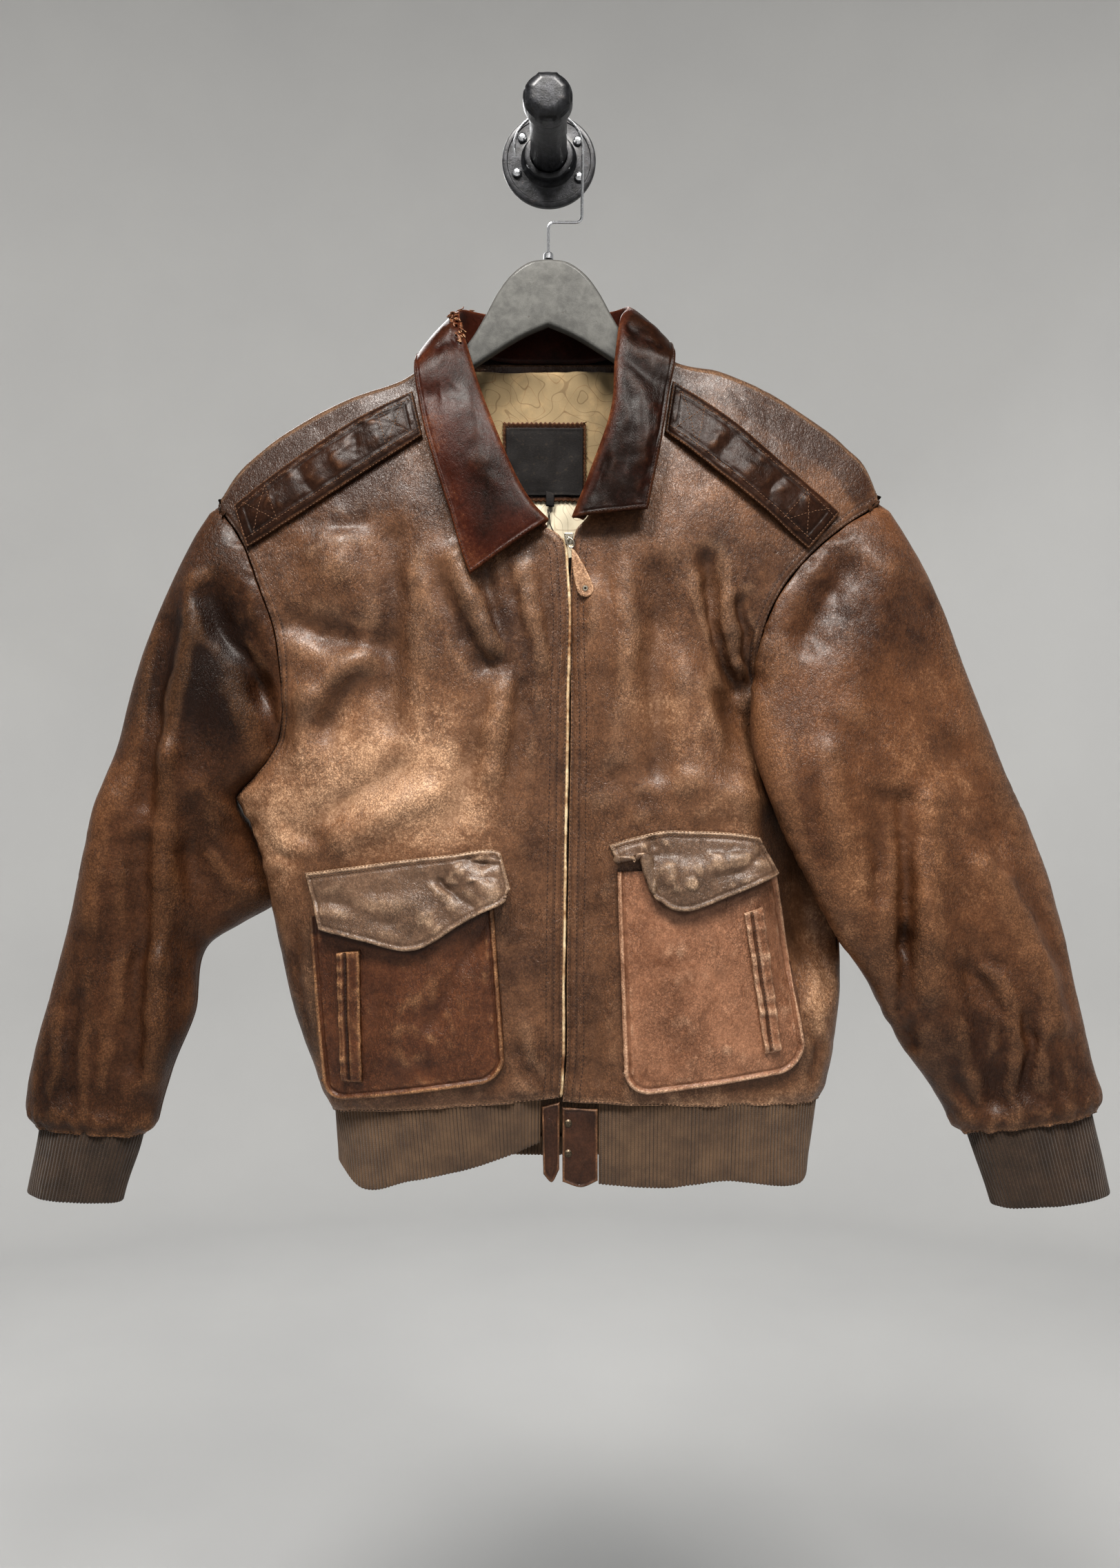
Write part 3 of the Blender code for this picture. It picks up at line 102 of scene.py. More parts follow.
# Armhole seam on the back: share of its length, x, y, z.
ARMHOLE_BACK = metres({
    "left": (
        (0, -2920, -480, -3430),
        (0.2, -2700, -330, -3900),
        (0.45, -2520, -240, -4500),
        (0.7, -2480, -250, -5150),
        (0.88, -2570, -420, -5650),
        (1, -2780, -680, -5970),
    ),
    "right": (
        (0, 2930, -480, -3405),
        (0.2, 2700, -330, -3880),
        (0.45, 2480, -240, -4480),
        (0.7, 2400, -250, -5150),
        (0.88, 2410, -400, -5600),
        (1, 2450, -600, -5900),
    ),
}, 1)

# Side seam, from the underarm to the hem: row, x, y, z.
SIDE_SEAM = metres({
    "left": (
        (0.45, -2780, -680, -5970),
        (0.52, -2630, -660, -6280),
        (0.6, -2530, -650, -6640),
        (0.74, -2400, -640, -7280),
        (0.88, -2230, -640, -7960),
        (0.96, -2050, -640, -8470),
        (1, -1910, -640, -8735),
    ),
    "right": (
        (0.45, 2450, -600, -5900),
        (0.52, 2550, -600, -6280),
        (0.6, 2600, -600, -6700),
        (0.74, 2620, -600, -7300),
        (0.88, 2580, -610, -7950),
        (0.96, 2490, -630, -8450),
        (1, 2400, -640, -8660),
    ),
}, 1)

# Neckline, then the zip edge: row, x, y, z.
FRONT_INNER = metres({
    "left": (
        (0, -850, -755, -1910),
        (0.06, -800, -850, -2330),
        (0.12, -670, -930, -2750),
        (0.18, -450, -1000, -3180),
        (0.24, -150, -1070, -3560),
        (0.28, 120, -1100, -3720),
        (0.32, 168, -1120, -4050),
        (0.45, 168, -1130, -5200),
        (0.62, 150, -1150, -6400),
        (0.8, 132, -1160, -7550),
        (0.92, 130, -1150, -8200),
        (1, 100, -1080, -8560),
    ),
    "right": (
        (0, 850, -755, -1890),
        (0.06, 800, -850, -2330),
        (0.12, 710, -930, -2750),
        (0.18, 560, -1000, -3180),
        (0.24, 340, -1070, -3540),
        (0.28, 225, -1085, -3690),
        (0.32, 192, -1100, -4050),
        (0.45, 192, -1110, -5200),
        (0.62, 174, -1130, -6400),
        (0.8, 156, -1140, -7550),
        (0.92, 154, -1130, -8200),
        (1, 124, -1070, -8600),
    ),
}, 1)

# Top of each shoulder: share of the shoulder seam, z.
SHOULDER_LINE = metres({
    "left": (
        (0, -1840),
        (0.16, -2145),
        (0.43, -2370),
        (0.62, -2576),
        (0.8, -2824),
        (0.95, -3150),
        (1, -3325),
    ),
    "right": (
        (0, -1820),
        (0.12, -2030),
        (0.33, -2149),
        (0.51, -2310),
        (0.71, -2577),
        (0.85, -2806),
        (0.97, -3120),
        (1, -3300),
    ),
}, 1)

# Middle of the back: row, y, z.
BACK_MIDDLE = metres((
    (0, -320, -2080),
    (0.08, -240, -2600),
    (0.2, -170, -3500),
    (0.45, -130, -5400),
    (0.8, -120, -7600),
    (0.94, -130, -8350),
    (1, -200, -8650),
), 1)

# Sleeve edges as seen from the front: row, x inside, z inside, x outside, z outside.
SLEEVE_EDGE = metres({
    "left": (
        (0, -2830, -3370, -2970, -3335),
        (0.08, -2450, -3850, -3160, -3640),
        (0.2, -2200, -4700, -3450, -4250),
        (0.32, -2350, -5450, -3680, -4850),
        (0.42, -2780, -5970, -3840, -5480),
        (0.48, -2620, -6320, -3930, -5800),
        (0.54, -2470, -6640, -4020, -6130),
        (0.59, -2450, -6900, -4090, -6430),
        (0.64, -2800, -7120, -4160, -6720),
        (0.69, -3070, -7290, -4230, -7000),
        (0.8, -3170, -7910, -4430, -7680),
        (0.9, -3370, -8400, -4590, -8270),
        (0.96, -3500, -8790, -4640, -8660),
        (1, -3620, -8970, -4550, -8890),
    ),
    "right": (
        (0, 2830, -3350, 3000, -3320),
        (0.08, 2300, -3800, 3180, -3600),
        (0.2, 1850, -4600, 3450, -4100),
        (0.28, 1810, -5100, 3640, -4560),
        (0.42, 1870, -5800, 3930, -5280),
        (0.5, 1990, -6200, 4120, -5780),
        (0.58, 2185, -6620, 4280, -6150),
        (0.68, 2460, -7120, 4450, -6620),
        (0.77, 2760, -7520, 4580, -7150),
        (0.87, 3120, -8150, 4680, -7720),
        (0.94, 3370, -8500, 4790, -8240),
        (0.98, 3560, -8780, 4865, -8580),
        (1, 3690, -8920, 4820, -8740),
    ),
}, 1)

# Sleeve section: row, middle y, half depth, how far the inside edge leans forward, then the angles
# of the seam in front and behind.
SLEEVE_DEPTH = metres({
    "left": (
        (0, -620, 130, 0, 75, 285),
        (0.1, -620, 320, 0, 60, 300),
        (0.26, -620, 380, 0, 42, 318),
        (0.36, -620, 370, 0, 20, 340),
        (0.42, -640, 350, 0, 0, 360),
        (0.5, -560, 350, -200, 0, 360),
        (0.6, -560, 340, -220, 0, 360),
        (0.8, -640, 330, 0, 0, 360),
        (0.94, -640, 340, 0, 0, 360),
        (1, -650, 270, 0, 0, 360),
    ),
    "right": (
        (0, -620, 130, 0, 75, 285),
        (0.1, -640, 330, 20, 45, 285),
        (0.22, -700, 380, 100, 0, 284),
        (0.34, -800, 370, 240, -50, 286),
        (0.42, -870, 350, 300, -72, 288),
        (0.6, -880, 330, 260, -72, 288),
        (0.8, -820, 330, 120, -72, 288),
        (0.94, -780, 330, 0, -72, 288),
        (1, -760, 280, 0, -72, 288),
    ),
}, 1, 4)

# Folds on the front: x and z of both ends, half width, height towards -Y.
FRONT_FOLDS = metres((
    (-2220, -4440, -1400, -4660, 160, -70),
    (-1600, -4700, -2080, -5120, 140, 60),
    (-2080, -5120, -2120, -5600, 140, 50),
    (-1900, -5350, -1500, -5000, 140, -50),
    (-1820, -3800, -1820, -4000, 220, 60),
    (-790, -3910, -490, -4700, 130, 60),
    (-520, -4820, -440, -4900, 140, -60),
    (-410, -5000, -490, -5750, 130, 50),
    (-200, -4000, -60, -4800, 100, 30),
    (-1340, -3740, -1340, -5300, 160, -60),
    (-1780, -6330, -1020, -5960, 160, 60),
    (-2050, -6200, -1300, -5700, 160, -50),
    (-900, -6100, -600, -5600, 150, -30),
    (-2150, -7600, -2050, -8400, 160, 40),
    (-200, -8000, -150, -8500, 150, 30),
    (950, -4050, 950, -5750, 150, -60),
    (1370, -3930, 1640, -5000, 110, -80),
    (1660, -4300, 1790, -4950, 100, -80),
    (1550, -4300, 1680, -4780, 110, 60),
    (1530, -5150, 1630, -5700, 140, -60),
    (600, -4300, 550, -5600, 200, 40),
    (1200, -5850, 1850, -6000, 150, 60),
    (400, -6000, 900, -5900, 160, 30),
    (2350, -7900, 2250, -8500, 150, 40),
    (450, -7000, 400, -8400, 140, -30),
    (-2960, -4200, -2520, -5000, 170, -110),
    (-2520, -5000, -2400, -5450, 130, -80),
    (-3080, -4100, -3310, -5600, 140, 70),
    (-3310, -5600, -3400, -7400, 140, 70),
    (-3400, -7400, -3460, -8450, 130, 60),
    (-3300, -4500, -3520, -6000, 130, -60),
    (-3560, -6400, -3620, -8300, 130, -60),
    (-3180, -6450, -2880, -6970, 140, -70),
    (-2880, -6970, -2620, -6800, 120, -60),
    (-3050, -5900, -2750, -6500, 160, 60),
    (-3850, -6000, -4000, -7000, 160, 40),
    (-4150, -7800, -4200, -8500, 140, -50),
    (-3700, -8000, -3850, -8700, 120, -40),
    (2550, -4000, 2250, -4550, 180, -70),
    (3000, -4000, 2620, -5200, 200, 50),
    (3300, -4300, 3450, -5600, 180, -50),
    (3040, -6000, 3070, -7220, 110, -90),
    (3070, -7220, 3170, -8120, 110, -70),
    (2840, -6000, 2810, -6800, 120, -50),
    (3300, -6000, 3300, -7600, 150, 50),
    (3790, -6550, 4400, -7900, 160, 60),
    (3630, -7450, 3880, -8600, 120, -70),
    (4110, -7900, 4120, -8500, 100, -60),
    (3600, -5600, 3900, -6400, 160, -50),
    (2400, -5600, 2500, -6900, 140, 40),
))

# Folds on the back: x and z of both ends, half width, height towards +Y.
BACK_FOLDS = metres((
    (-1900, -4000, -1200, -3000, 200, -60),
    (1900, -4100, 1100, -3100, 220, -50),
    (-2300, -5200, -900, -5600, 200, -70),
    (2250, -5400, 800, -6000, 220, -60),
    (-400, -3600, -600, -6200, 220, 50),
    (800, -4000, 700, -7000, 240, 50),
    (0, -4800, 100, -8000, 200, -60),
    (-1500, -6400, -1400, -8200, 200, -60),
    (1600, -6600, 1500, -8400, 200, -50),
    (-3000, -4300, -3400, -6200, 160, -60),
    (-3600, -6000, -4100, -8200, 160, 50),
    (-3300, -6900, -2800, -6600, 140, -50),
    (3000, -4200, 3500, -6000, 160, -60),
    (3300, -6000, 3900, -8000, 160, 50),
    (4000, -6400, 3400, -7200, 140, -50),
))

# Collar from the left point round the back of the neck to the right point:
# share, then x, y, z of the neck seam, of the roll and of the outer edge.
COLLAR = metres((
    (0, 0, -1085, -3620, 15, -1210, -3590, -665, -1310, -4070),
    (0.07, -200, -1060, -3460, -125, -1200, -3440, -745, -1300, -3850),
    (0.15, -410, -1000, -3180, -265, -1170, -3210, -840, -1260, -3520),
    (0.24, -630, -930, -2730, -460, -1100, -2750, -1000, -1180, -3020),
    (0.33, -770, -840, -2310, -620, -980, -2300, -1120, -1050, -2550),
    (0.39, -815, -740, -1870, -760, -790, -1800, -1180, -900, -2140),
    (0.44, -790, -560, -1840, -790, -520, -1560, -1130, -380, -1965),
    (0.49, -520, -390, -1960, -540, -310, -1530, -760, -60, -2180),
    (0.55, 0, -350, -1990, 0, -270, -1500, 0, -50, -2250),
    (0.61, 520, -390, -1960, 540, -310, -1510, 760, -60, -2150),
    (0.66, 790, -560, -1820, 720, -520, -1530, 1060, -380, -1870),
    (0.71, 815, -740, -1850, 640, -790, -1720, 1120, -900, -2040),
    (0.78, 780, -840, -2310, 580, -990, -2150, 1050, -1060, -2470),
    (0.86, 680, -930, -2730, 540, -1110, -2620, 985, -1190, -2860),
    (0.94, 510, -1000, -3200, 350, -1170, -3180, 905, -1260, -3250),
    (1, 290, -1070, -3560, 200, -1200, -3570, 850, -1300, -3510),
), 1)

# Knitted waistband, bottom edge: column share (-1 left side, 0 middle, 1 right side), x, z.
RIB_BOTTOM_FRONT = metres({
    "left": (
        (0, -65, -8950),
        (0.3, -600, -9140),
        (0.6, -1200, -9280),
        (0.85, -1650, -9360),
        (1, -1880, -9160),
    ),
    "right": (
        (0, 440, -9310),
        (0.3, 1000, -9330),
        (0.6, 1550, -9280),
        (0.92, 2240, -9330),
        (1, 2310, -9260),
    ),
}, 1)

# Overlays on the fronts: share, x and z of the upper edge, x and z of the lower edge.
FLAP = metres({
    "left": (
        (0, -2110, -6620, -1960, -7100),
        (0.25, -1680, -6560, -1560, -7190),
        (0.5, -1250, -6500, -1130, -7260),
        (0.75, -820, -6450, -720, -7030),
        (0.94, -470, -6410, -380, -6830),
        (1, -400, -6430, -320, -6740),
    ),
    "right": (
        (0, 520, -6370, 600, -6545),
        (0.12, 720, -6308, 757, -6535),
        (0.185, 815, -6286, 830, -6540),
        (0.215, 860, -6275, 868, -6720),
        (0.3, 980, -6250, 980, -6860),
        (0.46, 1190, -6250, 1160, -6930),
        (0.7, 1480, -6260, 1550, -6800),
        (0.92, 1750, -6290, 1890, -6660),
        (1, 1830, -6310, 1970, -6620),
    ),
}, 1)
EPAULETTE = metres({
    "left": (
        (0, -2770, -3400, -2630, -3790),
        (0.33, -2270, -3020, -2120, -3470),
        (0.66, -1720, -2650, -1600, -3130),
        (1, -1200, -2380, -1100, -2800),
    ),
    "right": (
        (0, 2560, -3470, 2270, -3810),
        (0.33, 2080, -3060, 1850, -3450),
        (0.66, 1600, -2640, 1430, -3110),
        (1, 1100, -2290, 1020, -2770),
    ),
}, 1)
WELT = metres({
    "left": (
        (0, -1815, -7300, -1790, -8420),
        (1, -1610, -7270, -1600, -8420),
    ),
    "right": (
        (0, 1670, -6950, 1865, -8170),
        (1, 1840, -6900, 2010, -8140),
    ),
}, 1)

CUFF_BOTTOM = {
    "left": (-0.3790, -0.9560, -0.4650, -0.9470, -0.0660, 0.0240),
    "right": (0.3930, -0.9560, 0.4980, -0.9450, -0.0770, 0.0250),
}


def curve(table, at):
    """Smooth values of a table at these positions, which are its first column."""
    rows = np.array(table, float)
    knots = rows[:, 0]
    values = rows[:, 1:]
    at = np.clip(np.asarray(at, float), knots[0], knots[-1])
    k = np.clip(np.searchsorted(knots, at, side="right") - 1, 0, len(knots) - 2)
    step = np.diff(knots)[:, None]
    slope = np.diff(values, axis=0) / step
    lean = np.concatenate([slope[:1], slope[:-1], slope[-1:]])
    if len(rows) > 2:
        lean[1:-1] = (slope[:-1] * step[1:] + slope[1:] * step[:-1]) / (step[1:] + step[:-1])
    wide = step[k]
    s = (at - knots[k])[..., None] / wide
    return (
        (2 * s**3 - 3 * s**2 + 1) * values[k]
        + (s**3 - 2 * s**2 + s) * wide * lean[k]
        + (3 * s**2 - 2 * s**3) * values[k + 1]
        + (s**3 - s**2) * wide * lean[k + 1]
    )


def smooth(value):
    value = np.clip(value, 0.0, 1.0)
    return value * value * (3 - 2 * value)


def folded(points, folds, height_of):
    """Height of these folds at each point, faded by height_of."""
    total = np.zeros(points.shape[:-1])
    spot = points[..., (0, 2)]
    for x0, z0, x1, z1, wide, high in folds:
        start = np.array((x0, z0))
        way = np.array((x1, z1)) - start
        part = np.clip(((spot - start) @ way) / (way @ way), 0, 1)
        away = np.linalg.norm(spot - start - part[..., None] * way, axis=-1)
        total += high * np.exp(-((away / wide) ** 2))
    return total * height_of


def with_folds(points):
    """The points, moved by the folds of the side that they are on."""
    y = points[..., 1]
    ahead = smooth((-0.066 - y) / 0.018)
    behind = smooth((y + 0.050) / 0.022)
    moved = points.copy()
    moved[..., 1] -= folded(points, FRONT_FOLDS, ahead)
    moved[..., 1] += folded(points, BACK_FOLDS, behind)
    return moved


def outer_edge(armhole, side, row):
    """The outer edge of a front or of the back: the armhole, then the side seam."""
    on_armhole = curve(armhole[side], row / UNDERARM)
    on_side = curve(SIDE_SEAM[side], row)
    return np.where((row < UNDERARM)[..., None], on_armhole, on_side)


def across(share, wrap):
    """How far the section has turned back, from 0 in the middle to 1 at the side."""
    soft = share**1.7
    turned = 1 - (1 - np.clip(share, 0, 1) ** 2.6) ** (1 / 2.6)
    return soft + (turned - soft) * wrap


def front_form(side, share, row):
    """A front without folds: share runs from the zip to the side, row from shoulder to hem."""
    share, row = np.broadcast_arrays(np.asarray(share, float), np.asarray(row, float))
    inner = curve(FRONT_INNER[side], row)
    outer = outer_edge(ARMHOLE_FRONT, side, row)
    points = inner + (outer - inner) * share[..., None]
    turn = across(share, smooth((row - 0.30) / 0.20))
    if side == "right":
        # This side turns back early, under the sleeve that hangs in front of it.
        tucked = 0.92 * smooth((share - 0.62) / 0.25) + 0.08 * share
        turn = turn + (tucked - turn) * smooth((row - 0.30) / 0.08) * smooth((0.86 - row) / 0.15)
    points[..., 1] = inner[..., 1] + (outer[..., 1] - inner[..., 1]) * turn
    points[..., 1] -= 0.009 * np.sin(np.pi * share**0.8) * smooth(row / 0.22)
    start = curve(FRONT_INNER[side], 0.0)
    end = curve(ARMHOLE_FRONT[side], 0.0)
    straight = start[2] + (end[2] - start[2]) * share
    bow = curve(SHOULDER_LINE[side], share)[..., 0] - 0.007 - straight
    points[..., 2] += bow * np.clip(1 - row / 0.30, 0, 1) ** 1.5
    return points


def front(side, share, row):
    return with_folds(front_form(side, share, row))


def back(column, row):
    """The back: column from -1 (left side) to 1, row from -0.08 (shoulder seam) to 1 (hem)."""
    column, row = np.broadcast_arrays(np.asarray(column, float), np.asarray(row, float))
    share = np.abs(column)
    down = np.clip(row, 0, 1)
    left, right = (outer_edge(ARMHOLE_BACK, side, down) for side in ("left", "right"))
    outer = np.where((column < 0)[..., None], left, right)
    middle = curve(BACK_MIDDLE, down)
    turn = across(share, smooth((down - 0.30) / 0.20))
    points = outer * share[..., None]
    points[..., 1] = middle[..., 0] + (outer[..., 1] - middle[..., 0]) * turn
    on_shoulder = np.clip((share - NECK_PART) / (1 - NECK_PART), 0, 1)
    line = np.where(
        column < 0,
        curve(SHOULDER_LINE["left"], on_shoulder)[..., 0],
        curve(SHOULDER_LINE["right"], on_shoulder)[..., 0],
    )
    in_neck = smooth((NECK_PART - share) / 0.06)
    top = (line - 0.0075) * (1 - in_neck) - 0.2080 * in_neck
    flat = middle[..., 1] + (outer[..., 2] - middle[..., 1]) * share**1.5
    top_outer = np.where(column < 0, -0.3430, -0.3405)
    flat_top = -0.2080 + (top_outer + 0.2080) * share**1.5
    points[..., 2] = flat + (top - flat_top) * np.clip(1 - down / 0.35, 0, 1) ** 1.5
    points = with_folds(points)
    # Over the shoulder, from the back to the seam in front.
    rise = np.clip(-row / 0.08, 0, 1)
    seam_y = -0.0755 * (1 - in_neck) - 0.0345 * in_neck
    seam_z = (line - 0.0070) * (1 - in_neck) - 0.2005 * in_neck + 0.048 * in_neck * (1 - in_neck)
    ridge = 0.0075 * (1 - in_neck) * 4 * rise * (1 - rise)
    points[..., 1] += (seam_y - points[..., 1]) * rise
    points[..., 2] += (seam_z - points[..., 2]) * rise + ridge
    left_x = curve(FRONT_INNER["left"], 0.0)[0] * (1 - on_shoulder) - 0.2935 * on_shoulder
    right_x = curve(FRONT_INNER["right"], 0.0)[0] * (1 - on_shoulder) + 0.2945 * on_shoulder
    seam_x = np.where(column < 0, left_x, right_x)
    seam_x = np.where(share < NECK_PART, seam_x * share / NECK_PART, seam_x)
    points[..., 0] += (seam_x - points[..., 0]) * rise
    return points


def sleeve_ring(side, around, row):
    """A sleeve's plain ring: around from 0 at the seam in front to 1 at the seam behind."""
    sign = -1.0 if side == "left" else 1.0
    edge = curve(SLEEVE_EDGE[side], row)
    depth = curve(SLEEVE_DEPTH[side], row)
    start = np.radians(depth[..., 3])
    end = np.radians(depth[..., 4])
    angle = start + (end - start) * around
    cos = np.sign(np.cos(angle)) * np.abs(np.cos(angle)) ** 0.87
    sin = np.sign(np.sin(angle)) * np.abs(np.sin(angle)) ** 0.87
    half = sign * (edge[..., 2] - edge[..., 0]) / 2
    x = (edge[..., 0] + edge[..., 2]) / 2 - sign * half * cos
    y = depth[..., 0] - depth[..., 1] * sin - depth[..., 2] * cos
    z = edge[..., 1] + (edge[..., 3] - edge[..., 1]) * (1 - np.cos(angle)) / 2
    return np.stack([x, y, z], axis=-1)


def sleeve(side, around, row):
    around, row = np.broadcast_arrays(np.asarray(around, float), np.asarray(row, float))
    points = sleeve_ring(side, around, row)
    seam = np.clip(row / SLEEVE_UNDERARM, 0, 1)
    ahead = curve(ARMHOLE_FRONT[side], seam)
    behind = curve(ARMHOLE_BACK[side], seam)
    held = np.minimum(row, SLEEVE_UNDERARM)
    fade = 1 - smooth((row - SLEEVE_UNDERARM) / 0.14)
    pull_ahead = (ahead - sleeve_ring(side, np.zeros_like(row), held)) * fade[..., None]
    pull_behind = (behind - sleeve_ring(side, np.ones_like(row), held)) * fade[..., None]
    near = np.clip(1 - around / 0.30, 0, 1) ** 1.6
    far = np.clip(1 - (1 - around) / 0.30, 0, 1) ** 1.6
    points = points + pull_ahead * near[..., None] + pull_behind * far[..., None]
    return with_folds(points)


def collar(along, up):
    """The collar: along from the left point to the right, up from the neck seam to the edge."""
    along, up = np.broadcast_arrays(np.asarray(along, float), np.asarray(up, float))
    row = curve(COLLAR, along)
    seam = row[..., 0:3]
    roll = row[..., 3:6]
    edge = row[..., 6:9]
    rise = roll - (seam + edge) / 2
    rise = rise / np.linalg.norm(rise, axis=-1, keepdims=True)
    over = edge - seam
    over = over - rise * (over * rise).sum(axis=-1, keepdims=True)
    over = over / np.linalg.norm(over, axis=-1, keepdims=True)
    radius = 0.0048
    stops = [
        seam,
        roll - rise * radius * 1.1 - over * radius,
        roll,
        roll - rise * radius * 1.1 + over * radius,
        roll * 0.45 + edge * 0.55 + over * 0.004,
        edge,
    ]
    at = (0.0, 0.24, 0.34, 0.44, 0.72, 1.0)
    lean = [(stops[1] - stops[0]) / at[1]]
    for k in range(1, 5):
        lean.append((stops[k + 1] - stops[k - 1]) / (at[k + 1] - at[k - 1]))
    lean.append((stops[5] - stops[4]) / (at[5] - at[4]))
    points = np.zeros(up.shape + (3,))
    for k in range(5):
        wide = at[k + 1] - at[k]
        inside = (up >= at[k]) & ((up < at[k + 1]) | (k == 4))
        s = np.clip((up - at[k]) / wide, 0, 1)[..., None]
        value = (
            (2 * s**3 - 3 * s**2 + 1) * stops[k]
            + (s**3 - 2 * s**2 + s) * wide * lean[k]
            + (3 * s**2 - 2 * s**3) * stops[k + 1]
            + (s**3 - s**2) * wide * lean[k + 1]
        )
        points = np.where(inside[..., None], value, points)
    return points




# ---------------------------------------------------------------- sizes and tables of the looks
COARSE = 0.0032
FINE = (
    0.0, 0.0005, 0.0010, 0.0016, 0.0024, 0.0034, 0.0046, 0.0058, 0.0070, 0.0082, 0.0094,
    0.0106, 0.0120, 0.0140, 0.0165,
)
SEAM_ROUND = 0.0019
STITCH_ROWS = (0.0028, 0.0088)
# The rows beside the zip, and the one above the knitted pieces.
ZIP_ROWS = (0.0032, 0.0098)
HEM_ROW = 0.0030
SKIRT = 0.0045
RIB_PITCH = 0.0033
RIB_DEPTH = 0.00115

